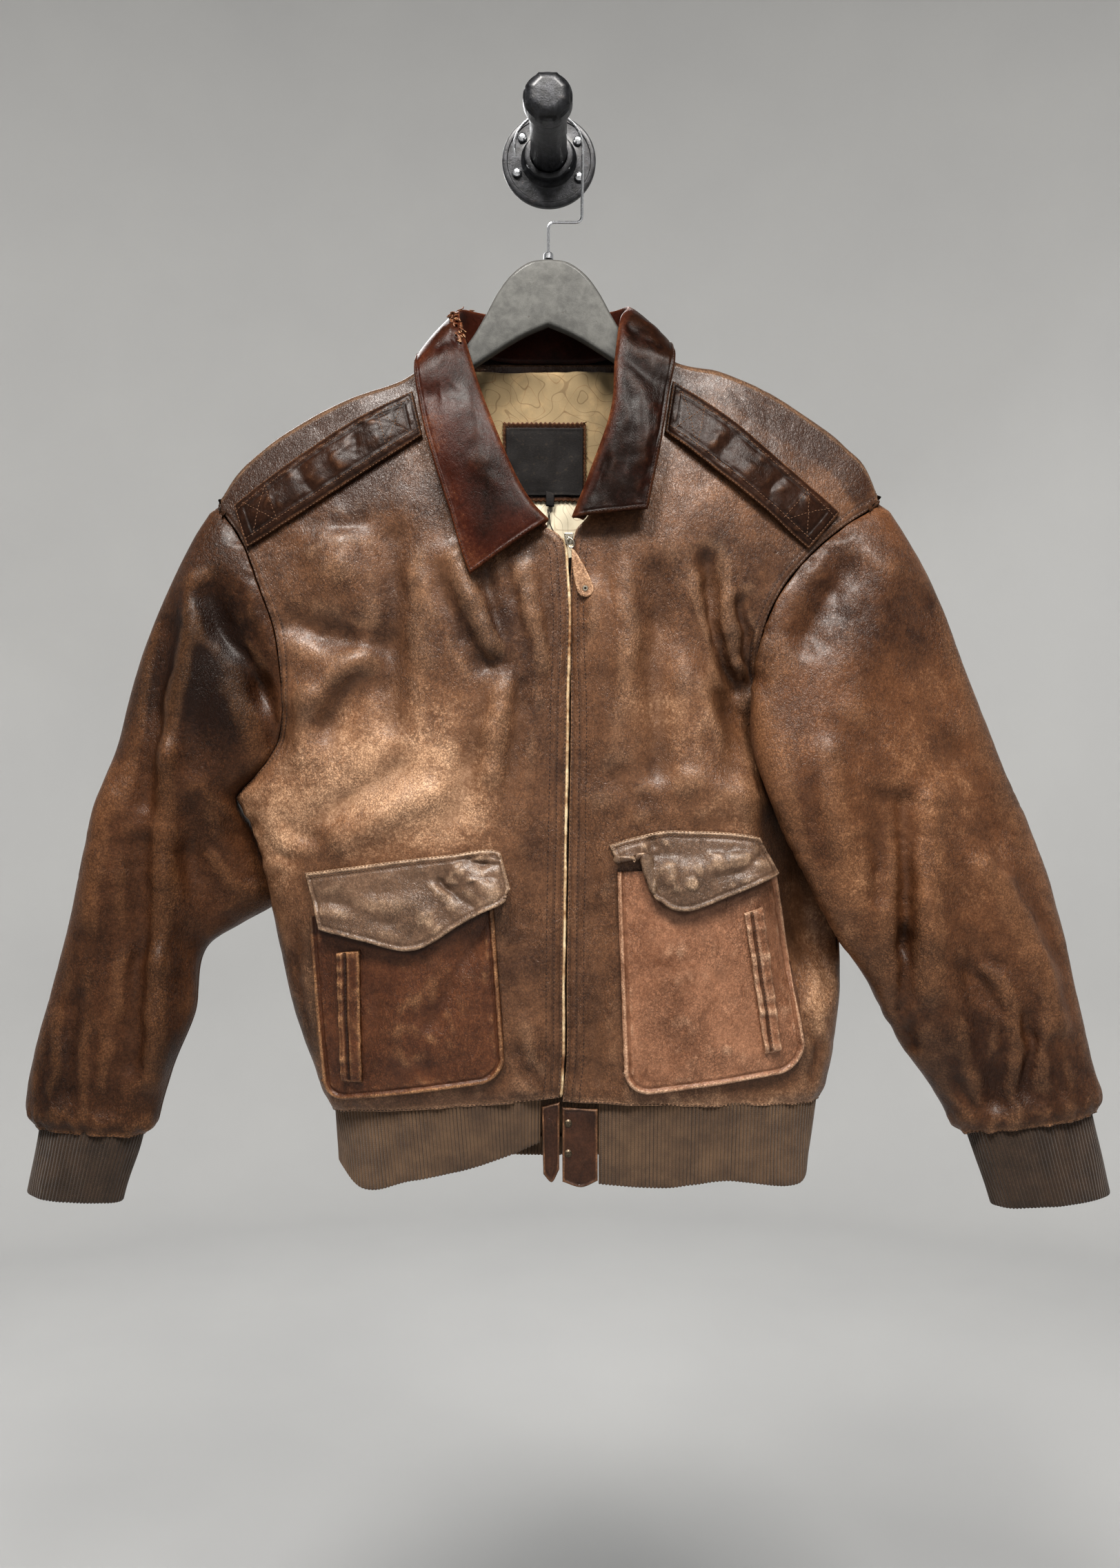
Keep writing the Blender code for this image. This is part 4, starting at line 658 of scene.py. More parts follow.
# Finer folds in front: three points as x and z, half width, height, how sharp from 0 to 1.
FINE_FRONT = metres((
    (-2220, -4440, -1800, -4620, -1400, -4650, 90, -30, 0.8),
    (-1570, -4670, -2010, -5050, -2100, -5430, 100, 30, 0.2),
    (-1500, -4860, -1800, -5100, -1920, -5450, 80, -25, 0.7),
    (-2050, -3720, -1900, -3920, -1600, -3980, 120, 30, 0.1),
    (-2150, -3520, -1800, -3600, -1400, -3500, 80, -22, 0.6),
    (-790, -3910, -620, -4360, -490, -4740, 90, 46, 0.2),
    (-950, -3980, -780, -4460, -620, -4840, 70, -30, 0.8),
    (-600, -3880, -460, -4300, -340, -4760, 70, -34, 0.8),
    (-620, -4790, -490, -4800, -400, -4740, 60, -40, 1),
    (-410, -4860, -430, -5220, -490, -5700, 80, 34, 0.2),
    (-600, -4920, -580, -5300, -640, -5800, 80, -22, 0.5),
    (-280, -4900, -260, -5300, -340, -5900, 70, -30, 0.7),
    (-285, -3930, -180, -4300, -110, -4690, 60, 26, 0.3),
    (-380, -3960, -260, -4360, -180, -4800, 50, -24, 0.9),
    (-90, -3880, -30, -4400, 20, -5000, 40, -16, 0.9),
    (-100, -5200, -90, -6400, -120, -7600, 40, -11, 0.7),
    (-1340, -3740, -1310, -4500, -1360, -5220, 100, -26, 0.4),
    (-1100, -3900, -1060, -4500, -1120, -5200, 110, 22, 0.1),
    (-1780, -6330, -1400, -6120, -1020, -5960, 90, 24, 0.2),
    (-2000, -6180, -1600, -5880, -1200, -5720, 80, -26, 0.6),
    (-2350, -6120, -2150, -6280, -1920, -6300, 60, -26, 0.8),
    (-2460, -6400, -2280, -6500, -2140, -6400, 60, -20, 0.8),
    (-900, -6250, -700, -5900, -620, -5500, 90, -20, 0.4),
    (-300, -6400, -220, -7000, -280, -7700, 90, -22, 0.4),
    (-2280, -7000, -2180, -7700, -2050, -8500, 70, -22, 0.6),
    (-280, -8000, -200, -8260, -40, -8460, 60, -26, 0.8),
    (340, -3850, 360, -4400, 300, -5000, 80, 24, 0.1),
    (500, -3840, 520, -4500, 460, -5300, 80, -20, 0.5),
    (660, -3880, 700, -4400, 620, -5200, 90, 26, 0.1),
    (950, -4160, 920, -4900, 960, -5640, 90, -30, 0.5),
    (1370, -3930, 1490, -4600, 1660, -5010, 60, -50, 1),
    (1630, -4290, 1720, -4700, 1780, -4940, 50, -48, 1),
    (1560, -4320, 1630, -4600, 1680, -4840, 70, 34, 0.2),
    (1510, -5090, 1580, -5350, 1620, -5660, 70, -30, 0.7),
    (1250, -5200, 1280, -5560, 1200, -5900, 90, 20, 0.1),
    (620, -5600, 700, -5900, 1000, -6060, 90, -20, 0.4),
    (700, -6180, 1100, -6080, 1700, -6140, 70, 20, 0.2),
    (300, -6100, 340, -6800, 300, -7600, 80, -20, 0.5),
    (450, -7600, 400, -8100, 480, -8500, 60, -18, 0.6),
    (2300, -7000, 2440, -7400, 2460, -7900, 60, -20, 0.6),
    (2260, -7900, 2360, -8200, 2280, -8520, 50, -24, 0.8),
    # left sleeve
    (-2960, -4260, -2660, -4800, -2380, -5400, 80, -40, 0.8),
    (-2700, -4200, -2580, -4500, -2440, -4800, 60, -24, 0.8),
    (-3080, -4100, -3300, -5540, -3390, -6950, 90, 32, 0.2),
    (-3390, -6950, -3410, -7770, -3450, -8450, 90, 32, 0.2),
    (-3260, -4300, -3480, -5600, -3570, -7000, 80, -34, 0.7),
    (-3570, -7000, -3600, -7800, -3660, -8460, 70, -30, 0.7),
    (-3000, -5600, -3120, -6400, -3200, -7200, 80, -26, 0.6),
    (-3180, -6490, -2960, -6920, -2580, -6800, 70, -40, 0.9),
    (-3000, -6280, -2800, -6520, -2560, -6500, 60, -30, 0.9),
    (-2960, -6040, -2760, -6180, -2560, -6160, 50, -22, 0.9),
    (-3860, -5700, -4000, -6400, -4040, -7200, 90, 24, 0.2),
    (-3720, -6000, -3840, -6800, -3880, -7700, 80, -22, 0.5),
    (-4120, -7400, -4180, -8000, -4240, -8580, 60, -28, 0.8),
    (-3900, -8000, -3980, -8400, -3960, -8760, 50, -26, 0.9),
    (-4360, -8000, -4400, -8300, -4460, -8620, 50, -20, 0.9),
    (-3400, -3800, -3500, -4300, -3660, -4900, 100, 24, 0.1),
    # right sleeve
    (2580, -4020, 2360, -4300, 2220, -4620, 90, -30, 0.6),
    (2850, -4000, 2620, -4500, 2400, -5200, 100, 24, 0.1),
    (3040, -6040, 3065, -7220, 3050, -7730, 60, -50, 1),
    (3050, -7730, 3090, -7920, 3170, -8120, 50, -40, 1),
    (2850, -6150, 2820, -6450, 2820, -6800, 70, -26, 0.6),
    (3220, -6400, 3260, -7000, 3220, -7600, 80, 30, 0.1),
    (3630, -7490, 3920, -7900, 3870, -8580, 60, -48, 0.9),
    (3740, -7420, 4020, -7800, 4020, -8500, 70, 30, 0.2),
    (4110, -7920, 4200, -8150, 4080, -8500, 50, -38, 1),
    (3790, -6580, 4160, -7010, 4430, -7920, 90, 34, 0.2),
    (3980, -6600, 4340, -7080, 4560, -7900, 80, -26, 0.6),
    (3500, -7000, 3720, -7300, 4000, -7440, 60, -24, 0.8),
    (4300, -8000, 4400, -8300, 4460, -8620, 50, -26, 0.9),
    (3500, -8200, 3600, -8500, 3760, -8740, 50, -28, 0.9),
    (3450, -4700, 3720, -5400, 3960, -6100, 120, -22, 0.4),
    (2400, -6000, 2620, -6600, 2880, -7200, 100, 22, 0.1),
    (2160, -5600, 2260, -6200, 2460, -6700, 80, -20, 0.6),
), 0, 8)

# Finer folds behind, in the same columns.
FINE_BACK = metres((
    (-2100, -3800, -1600, -3400, -1100, -2900, 100, -26, 0.6),
    (2150, -3900, 1600, -3500, 1000, -3000, 90, -28, 0.6),
    (-2360, -5000, -1700, -5400, -1000, -5520, 100, -32, 0.7),
    (-2300, -5400, -1600, -5900, -1100, -6400, 90, -26, 0.6),
    (2300, -5200, 1600, -5600, 900, -5800, 100, -30, 0.7),
    (2260, -5700, 1700, -6200, 1100, -6800, 90, -24, 0.6),
    (-450, -3500, -600, -4800, -550, -6200, 120, 26, 0.1),
    (100, -4200, 0, -6000, 160, -7800, 100, -26, 0.5),
    (750, -4200, 850, -5600, 700, -7000, 120, 26, 0.1),
    (-1500, -6500, -1400, -7400, -1500, -8400, 90, -28, 0.6),
    (-900, -7200, -860, -7900, -960, -8500, 70, -24, 0.7),
    (1500, -6800, 1600, -7600, 1460, -8460, 90, -28, 0.6),
    (600, -7600, 660, -8100, 580, -8560, 60, -24, 0.8),
    (-2000, -7600, -1900, -8100, -1940, -8560, 60, -24, 0.8),
    (2100, -7700, 2000, -8200, 2060, -8520, 60, -24, 0.8),
    (-3000, -4400, -3300, -5400, -3500, -6400, 100, -30, 0.6),
    (-3300, -6900, -3000, -6760, -2700, -6680, 70, -34, 0.9),
    (-3450, -7250, -3200, -7100, -2920, -7020, 60, -28, 0.9),
    (-3700, -6200, -3920, -7200, -4100, -8200, 90, 28, 0.2),
    (-4000, -7800, -4100, -8200, -4120, -8680, 60, -30, 0.8),
    (3000, -4300, 3300, -5100, 3500, -6000, 100, -30, 0.6),
    (4000, -6500, 3700, -6900, 3300, -7140, 80, -36, 0.9),
    (4200, -6900, 3960, -7240, 3560, -7440, 70, -30, 0.9),
    (3400, -6000, 3660, -7000, 3940, -8000, 100, 28, 0.2),
    (4200, -7800, 4300, -8200, 4320, -8640, 60, -30, 0.8),
), 0, 8)

# Where the leather is rubbed tan (up to 1) or stays dark (down to -1) in front, and painted
# shade under the left arm: x, z, half width, half height, amount.
TONES_FRONT = metres((
    (-1650, -3300, 1000, 500, -0.55),
    (-2150, -2900, 850, 300, -0.8),
    (2050, -2900, 850, 320, -0.6),
    (-2050, -4700, 600, 500, 0.1),
    (-1200, -4700, 600, 600, -0.1),
    (-600, -4400, 350, 700, -0.25),
    (-1650, -5900, 850, 500, 0.95),
    (-850, -6000, 600, 550, 0.7),
    (-2350, -6400, 350, 600, 0.5),
    (-1000, -5300, 500, 400, 0.35),
    (-100, -5600, 180, 1200, -0.3),
    (-150, -7300, 260, 800, -0.1),
    (-2200, -7800, 300, 700, -0.35),
    (-1200, -8600, 1100, 140, 0.1),
    (1200, -3700, 500, 600, -0.2),
    (600, -4500, 360, 800, 0.1),
    (1300, -5600, 500, 500, 0.4),
    (800, -6000, 600, 400, -0.1),
    (1000, -5000, 300, 600, 0.15),
    (1700, -4500, 200, 600, -0.35),
    (350, -7200, 200, 1000, 0.05),
    (2450, -7600, 240, 800, 0.55),
    (1400, -8620, 1100, 160, 0.65),
    # The hollow under the left arm: painted shade.
    (-2900, -4800, 400, 800, -1.1),
    (-3700, -4700, 500, 800, -0.5),
    (-3450, -6000, 600, 600, 0.15),
    (-2900, -6400, 400, 400, -0.25),
    (-4100, -7200, 500, 800, -0.1),
    (-3300, -7800, 300, 600, -0.25),
    (-4400, -8400, 400, 400, -0.55),
    (2600, -4300, 600, 500, -0.35),
    (3100, -5600, 700, 700, 0.35),
    (3600, -6600, 600, 600, 0.3),
    (2400, -5600, 300, 800, 0.1),
    (4200, -6400, 300, 800, -0.1),
    (3000, -7400, 400, 500, -0.2),
    (4200, -8300, 600, 500, -0.6),
    (3500, -8200, 300, 500, -0.35),
), 0, 4)

# The same behind.
TONES_BACK = metres((
    (-1500, -3200, 900, 600, -0.45),
    (1600, -3200, 900, 600, -0.35),
    (0, -4200, 1200, 900, 0.35),
    (-1300, -5600, 800, 800, 0.55),
    (1400, -6000, 800, 800, 0.5),
    (100, -7000, 900, 800, 0.2),
    (-1500, -8000, 800, 600, -0.3),
    (1500, -8100, 800, 600, -0.2),
    (-3600, -5200, 600, 900, -0.45),
    (-3200, -6800, 400, 400, 0.5),
    (-4100, -8000, 600, 700, -0.4),
    (3300, -4800, 700, 800, -0.2),
    (3800, -7000, 500, 500, 0.55),
    (4300, -8300, 600, 500, -0.45),
), 0, 4)


# ---------------------------------------------------------------- noise
def bell(away, wide):
    """A soft spot: 1 where away is 0, fading out over wide."""
    return np.exp(-((away / wide) ** 2))


def raise_value(values, key, amount):
    values[key] = np.clip(values[key] + amount, 0, 1)


def shares(shape):
    """How far along its row, and how far down its column, each point of a grid lies."""
    span = np.linspace(0, 1, shape[1])[None] * np.ones(shape[:2])
    down = np.linspace(0, 1, shape[0])[:, None] * np.ones(shape[:2])
    return span, down


def lattice(cell, seed):
    x, y, z = np.moveaxis(cell, -1, 0)
    mixed = (x * 73856093) ^ (y * 19349663) ^ (z * 83492791) ^ (seed * 2654435 + 97)
    mixed = ((mixed ^ (mixed >> 13)) * 1274126177) & 0xFFFFFFFF
    return ((mixed ^ (mixed >> 16)) & 0xFFFF) / 32767.5 - 1.0


def noise(points, size, seed):
    """Smooth noise from -1 to 1, with features of this size in metres."""
    at = np.asarray(points) / size
    cell = np.floor(at).astype(np.int64)
    part = at - cell
    part = part * part * (3 - 2 * part)
    total = np.zeros(at.shape[:-1])
    for corner in range(8):
        step = np.array((corner & 1, corner >> 1 & 1, corner >> 2))
        weight = np.prod(np.where(step, part, 1 - part), axis=-1)
        total += weight * lattice(cell + step, seed)
    return total


def crumple(points, seed=0):
    """Height of the uneven shallow wrinkles that old leather has, in metres."""
    warp = np.stack([noise(points, 0.050, 11 + seed + k) for k in range(3)], axis=-1)
    moved = points + 0.014 * warp
    broad = noise(moved, (0.040, 0.045, 0.062), 21 + seed)
    middle = np.clip(1 - 2.2 * np.abs(noise(moved, (0.022, 0.024, 0.036), 22 + seed)), 0, 1)
    small = np.clip(1 - 2.4 * np.abs(noise(moved, (0.011, 0.012, 0.016), 23 + seed)), 0, 1)
    tiny = noise(moved, 0.0075, 24 + seed)
    patchy = smooth(0.5 + 0.9 * noise(points, 0.060, 25 + seed))
    return 0.00080 * broad - 0.00036 * middle**2 - 0.00022 * small**2 * patchy + 0.00009 * tiny


def creases(points, table):
    """Height of these three-point folds at each point, by x and z."""
    total = np.zeros(points.shape[:-1])
    sway = [noise(points, 0.030, 5 + k) + 0.4 * noise(points, 0.011, 7 + k) for k in (0, 1)]
    spot = points[..., (0, 2)] + 0.0042 * np.stack(sway, axis=-1)
    for number, (xa, za, xb, zb, xc, zc, wide, high, sharp) in enumerate(table):
        ends = np.array(((xa, za), (xb, zb), (xc, zc)))
        near = np.all(
            (spot > ends.min(0) - 4 * wide) & (spot < ends.max(0) + 4 * wide), axis=-1
        )
        if not near.any():
            continue
        here = spot[near]
        # A quadratic curve through the middle point, in short straight pieces.
        t = np.linspace(0, 1, 13)[:, None]
        bend = 2 * ends[1] - (ends[0] + ends[2]) / 2
        line = (1 - t) ** 2 * ends[0] + 2 * t * (1 - t) * bend + t**2 * ends[2]
        best = np.full(len(here), 9.0)
        along = np.zeros(len(here))
        for k in range(12):
            way = line[k + 1] - line[k]
            part = np.clip(((here - line[k]) @ way) / (way @ way), 0, 1)
            away = np.linalg.norm(here - line[k] - part[:, None] * way, axis=-1)
            closer = away < best
            best = np.where(closer, away, best)
            along = np.where(closer, (k + part) / 12, along)
        uneven = 1 + 0.28 * np.sin(9.0 * along + 2.3 * number)
        uneven = uneven + 0.14 * np.sin(23.0 * along + number)
        sway = 0.82 + 0.34 * np.sin(5.0 * along + 1.7 * number) ** 2
        width = wide * (1.22 - 0.25 * sharp) * sway
        taper = np.clip(1.25 * np.sin(np.pi * np.clip(along, 0.04, 0.96)) ** 0.7, 0, 1)
        away = best / width
        round_one = np.exp(-(away**2))
        sharp_one = np.exp(-1.5 * np.sqrt(away**2 + 0.02)) * 1.2 - 0.42 * bell(away - 2.0, 1)
        height = high * (0.86 + 0.22 * sharp**3)
        total[near] += height * taper * uneven * (round_one + (sharp_one - round_one) * sharp)
    return total


def spots(points, table):
    """The sum of soft spots at each point, by x and z."""
    total = np.zeros(points.shape[:-1])
    for x, z, wide, high, amount in table:
        total += amount * np.exp(
            -(((points[..., 0] - x) / wide) ** 2) - ((points[..., 2] - z) / high) ** 2
        )
    return total


# ---------------------------------------------------------------- panels
def graded(length, low=True, high=True, coarse=COARSE):
    """Shares of this length that lie close together near its two ends."""
    fine = np.array(FINE)
    start = fine if low else fine[:1]
    end = fine if high else fine[:1]
    middle = length - start[-1] - end[-1]
    count = max(1, int(round(middle / coarse)))
    inner = np.linspace(start[-1], length - end[-1], count + 1)[1:-1]
    return np.concatenate([start, inner, length - end[::-1]]) / length


class Panel:
    """A grid of points, with its outward normals and each point's distance from each edge."""

    def __init__(self, grid, flip=False):
        self.flip = flip
        self.take(grid)

    def take(self, grid):
        self.grid = grid
        facing = np.cross(np.gradient(grid, axis=0), np.gradient(grid, axis=1))
        facing *= -1 if self.flip else 1
        length = np.linalg.norm(facing, axis=-1, keepdims=True)
        self.normal = facing / np.maximum(length, 1e-15)
        across = np.linalg.norm(np.diff(grid, axis=1), axis=-1).cumsum(axis=1)
        across = np.pad(across, ((0, 0), (1, 0)))
        down = np.linalg.norm(np.diff(grid, axis=0), axis=-1).cumsum(axis=0)
        down = np.pad(down, ((1, 0), (0, 0)))
        self.away = {
            "first": across,
            "last": across[:, -1:] - across,
            "top": down,
            "bottom": down[-1:] - down,
        }

    def push(self, height):
        self.take(self.grid + self.normal * np.asarray(height)[..., None])

    def from_edges(self, sides):
        return np.min([self.away[side] for side in sides], axis=0)

    def bend(self, reach):
        """How far each point stands out of its surroundings, in metres: below 0 in a hollow."""
        total = np.zeros(self.grid.shape)
        for axis in (0, 1):
            for step in (-reach, reach):
                moved = np.roll(self.grid, step, axis=axis)
                if axis == 0 and step > 0:
                    moved[:step] = self.grid[:1]
                elif axis == 0:
                    moved[step:] = self.grid[-1:]
                elif step > 0:
                    moved[:, :step] = self.grid[:, :1]
                else:
                    moved[:, step:] = self.grid[:, -1:]
                total += moved / 4
        return ((self.grid - total) * self.normal).sum(axis=-1)

    def line(self, side, distance, start=0.0, stop=1.0):
        """Points and normals at this distance from an edge, between two shares of its length."""
        if side in ("top", "bottom"):
            grid, normal, away = (
                self.grid.transpose(1, 0, 2),
                self.normal.transpose(1, 0, 2),
                self.away[side].T,
            )
        else:
            grid, normal, away = self.grid, self.normal, self.away[side]
        if side in ("last", "bottom"):
            grid, normal, away = grid[:, ::-1], normal[:, ::-1], away[:, ::-1]
        found = []
        for i in range(int(start * (len(grid) - 1)), int(math.ceil(stop * (len(grid) - 1))) + 1):
            at = np.interp(distance, away[i], np.arange(away.shape[1]))
            k = min(int(at), away.shape[1] - 2)
            part = at - k
            found.append(
                np.concatenate(
                    [
                        grid[i, k] * (1 - part) + grid[i, k + 1] * part,
                        normal[i, k] * (1 - part) + normal[i, k + 1] * part,
                    ]
                )
            )
        return np.array(found)


def seam_form(away, stitched=STITCH_ROWS):
    """Height of a turned and stitched edge at this distance from it."""
    inner = np.clip(SEAM_ROUND - away, 0, SEAM_ROUND)
    fall = np.sqrt(np.maximum(SEAM_ROUND**2 - inner**2, 0)) - SEAM_ROUND
    if not stitched:
        return fall
    raised = 0.00055 * smooth((max(stitched) + 0.003 - away) / 0.0025)
    for row in stitched:
        raised = raised - 0.00050 * bell(away - row, 0.0010)
    return fall + raised


def stitched_dark(dirt_and_shade, away, rows, where=1.0):
    """The dirt that gathers along rows of stitches at these distances from an edge."""
    line = sum(bell(away - row, 0.0010) for row in rows)
    return np.clip(dirt_and_shade + 0.75 * line * where, 0, 1)


def pucker(points, away, depth=0.0004, reach=0.012, size=0.0085, seed=31):
    """Small gathers that a line of stitches leaves, fading away from it."""
    return depth * noise(points, size, seed) * bell(away, reach)


def build(name, points, faces, material, body="jacket", values=None, replaces=()):
    mesh = bpy.data.meshes.new(name)
    mesh.from_pydata(np.asarray(points).tolist(), [], [tuple(face) for face in faces])
    for key, value in (values or {}).items():
        layer = mesh.attributes.new(key, "FLOAT", "POINT")
        layer.data.foreach_set("value", np.ascontiguousarray(value, np.float32).ravel())
    mesh.shade_smooth()
    mesh.materials.append(material)
    made = bpy.data.objects.new(name, mesh)
    scene.collection.objects.link(made)
    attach(made, body)
    if replaces:
        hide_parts(*replaces)
    return made


def welded(made, distance=1e-6, sharp=None):
    """Joins the points that lie on each other, turns every face outward and marks sharp edges."""
    shape = bmesh.new()
    shape.from_mesh(made.data)
    bmesh.ops.remove_doubles(shape, verts=shape.verts, dist=distance)
    bmesh.ops.recalc_face_normals(shape, faces=shape.faces)
    for face in shape.faces:
        face.smooth = True
    for edge in shape.edges if sharp else ():
        if len(edge.link_faces) == 2 and edge.calc_face_angle() > sharp:
            edge.smooth = False
    shape.to_mesh(made.data)
    shape.free()
    return made


def quads(rows, columns, flip=False):
    i, j = np.meshgrid(np.arange(rows - 1), np.arange(columns - 1), indexing="ij")
    a = (i * columns + j).ravel()
    faces = np.stack([a, a + columns, a + columns + 1, a + 1], axis=1)
    return faces[:, ::-1] if flip else faces


def worn_dirt_and_shade(panel, edge_wear=0.0, edges=("first", "last", "top", "bottom"), scale=0.0012):
    """Values for the material: wear on what stands out, dirt and painted shade in what lies low."""
    stands = panel.bend(4)
    away = panel.from_edges(edges)
    patchy = 0.8 + 0.5 * noise(panel.grid, 0.010, 86) + 0.3 * noise(panel.grid, 0.0034, 87)
    worn = 0.17 * smooth(stands / scale - 0.2) + edge_wear * bell(away, 0.0022) * patchy
    return {"worn": np.clip(worn, 0, 1), "dirt_and_shade": 0.34 * smooth(-stands / scale - 0.1)}


def with_skirt(panel, values, sides, depth=SKIRT):
    """The panel's grid and values with its named edges turned in by depth."""
    grid = panel.grid
    for side in sides:
        turned = side in ("top", "bottom")
        index = {"top": 0, "bottom": -1, "first": 0, "last": -1}[side]
        normal = panel.normal
        rim = (grid[index], normal[index]) if turned else (grid[:, index], normal[:, index])
        extra = (rim[0] - rim[1] * depth)[None] if turned else (rim[0] - rim[1] * depth)[:, None]
        axis = 0 if turned else 1
        pieces = [extra, grid] if index == 0 else [grid, extra]
        grid = np.concatenate(pieces, axis=axis)
        ends = normal[:1] if index == 0 else normal[-1:]
        ends = ends if turned else (normal[:, :1] if index == 0 else normal[:, -1:])
        normal = np.concatenate([ends, normal] if index == 0 else [normal, ends], axis=axis)
        panel.normal = normal
        for key, value in values.items():
            rim_value = np.take(value, [index], axis=axis)
            values[key] = np.concatenate(
                [rim_value, value] if index == 0 else [value, rim_value], axis=axis
            )
    return grid, values


ALLOWANCE_TAPER = 7.0  # points of the rim


def with_allowance(panel, sides, reach=0.0036, depth=0.0018, trim=(0.03, 0.97)):
    """Strips that carry the panel's edges on under the piece sewn to them: points and faces."""
    points, faces, start = [], [], 0
    for side in sides:
        rim = panel.line(side, 0.0, *trim)[:, :3]
        inner, way = panel.line(side, 0.0045, *trim).reshape(-1, 2, 3).transpose(1, 0, 2)
        out = rim - inner
        out = out - way * (out * way).sum(axis=-1, keepdims=True)
        out /= np.maximum(np.linalg.norm(out, axis=-1, keepdims=True), 1e-9)
        low = rim - way * depth
        count = len(rim)
        k = np.arange(count)
        # The strip narrows away at its ends, so that no corner of it sticks out.
        taper = np.clip(np.minimum(k, count - 1 - k) / ALLOWANCE_TAPER, 0.0, 1.0)[:, None]
        points += [low - out * reach * 0.7, low + out * reach * (1.4 * taper - 0.4)]
        k = k[:-1]
        faces.append(np.stack([k, k + 1, k + 1 + count, k + count], axis=1) + start)
        start += 2 * count
    return np.concatenate(points), np.concatenate(faces)


def cloth(name, panel, material, replaces, values, thickness=0.0, skirt=(), body="jacket"):
    grid, values = with_skirt(panel, values, skirt) if skirt else (panel.grid, values)
    rows, columns = grid.shape[:2]
    made = build(
        name,
        grid.reshape(-1, 3),
        quads(rows, columns, panel.flip),
        material,
        body,
        values,
        replaces,
    )
    if thickness:
        shell = made.modifiers.new("thickness", "SOLIDIFY")
        shell.thickness = thickness
        shell.offset = -1
        shell.use_rim = True
    return made


# ---------------------------------------------------------------- stitches and cords
def resampled(line, pitch):
    """The line's points and normals at even distances."""
    step = np.linalg.norm(np.diff(line[:, :3], axis=0), axis=-1)
    keep = np.concatenate([[True], step > 1e-7])
    line = line[keep]
    at = np.concatenate([[0], np.linalg.norm(np.diff(line[:, :3], axis=0), axis=-1).cumsum()])
    count = max(1, int(at[-1] / pitch))
    where = (np.arange(count) + 0.5) / count * at[-1]
    return np.stack([np.interp(where, at, line[:, k]) for k in range(line.shape[1])], axis=1), where


def axes_of(line):
    """The directions along, out of and across a line of points and normals."""
    along = np.gradient(line[:, :3], axis=0)
    along /= np.maximum(np.linalg.norm(along, axis=-1, keepdims=True), 1e-12)
    normal = line[:, 3:6]
    normal = normal - along * (normal * along).sum(axis=-1, keepdims=True)
    normal /= np.maximum(np.linalg.norm(normal, axis=-1, keepdims=True), 1e-12)
    return along, normal, np.cross(along, normal)


def stitch_mesh(lines, pitch=0.0036, length=0.0027, radius=0.00034, lift=0.0001):
    """Short threads along these lines: points and faces."""
    sides = 5
    stations = ((-0.5, 0.15, -0.9), (-0.25, 1.0, 0.3), (0.25, 1.0, 0.3), (0.5, 0.15, -0.9))
    points, faces = [], []
    ring = np.arange(sides)
    template = []
    for s in range(len(stations) - 1):
        for k in range(sides):
            n = (k + 1) % sides
            low, high = s * sides, (s + 1) * sides
            template.append((low + k, low + n, high + n, high + k))
    total = 0
    for line in lines:
        if len(line) < 2:
            continue
        places, _ = resampled(line, pitch)
        if len(places) < 2:
            continue
        spot = places[:, :3]
        along, normal, over = axes_of(places)
        turn = 2 * np.pi * ring[:, None] / sides
        round_it = normal[:, None] * np.cos(turn) + over[:, None] * np.sin(turn)
        rings = []
        for where, size, rise in stations:
            middle = spot + along * length * where + normal * (lift + radius * rise)
            rings.append(middle[:, None] + radius * size * round_it)
        block = np.stack(rings, axis=1).reshape(len(spot), -1, 3)
        points.append(block.reshape(-1, 3))
        per = len(stations) * sides
        base = total + np.arange(len(spot)) * per
        faces.append((base[:, None, None] + np.array(template)[None]).reshape(-1, 4))
        total += len(spot) * per
    return np.concatenate(points), np.concatenate(faces)


def stitches(name, lines, material, slot, **sizes):
    points, faces = stitch_mesh(lines, **sizes)
    return build(name, points, faces, material)


def bead(line, wide, high, sides=9, uneven=0.0, seed=41, sink=0.35, ends=0.004):
    """A raised half-round cord along a line of points and normals: points and faces."""
    spot = line[:, :3]
    _, normal, over = axes_of(line)
    turn = 2 * np.pi * np.arange(sides) / sides
    size = 1 + uneven * (noise(spot, 0.006, seed) + 0.5 * noise(spot, 0.0025, seed + 1))
    length = np.concatenate([[0], np.linalg.norm(np.diff(spot, axis=0), axis=-1).cumsum()])
    tips = np.clip(np.minimum(length, length[-1] - length) / ends, 0.02, 1) ** 0.5
    size = (size * tips)[:, None, None]
    rings = (
        spot[:, None]
        + over[:, None] * (np.sin(turn)[:, None] * wide / 2) * size
        + normal[:, None] * ((np.cos(turn)[:, None] * high / 2) * size + high * (0.5 - sink))
    )
    count = len(spot)
    i, k = np.meshgrid(np.arange(count - 1), np.arange(sides), indexing="ij")
    a = (i * sides + k).ravel()
    b = (i * sides + (k + 1) % sides).ravel()
    faces = np.stack([a, b, b + sides, a + sides], axis=1)
    return rings.reshape(-1, 3), faces[:, ::-1]


# ---------------------------------------------------------------- materials
def srgb(red, green, blue):
    """A colour given from 0 to 255, as the linear values that a shader takes."""
    part = np.array((red, green, blue)) / 255
    linear = np.where(part <= 0.04045, part / 12.92, ((part + 0.055) / 1.055) ** 2.4)
    return (*linear.tolist(), 1.0)


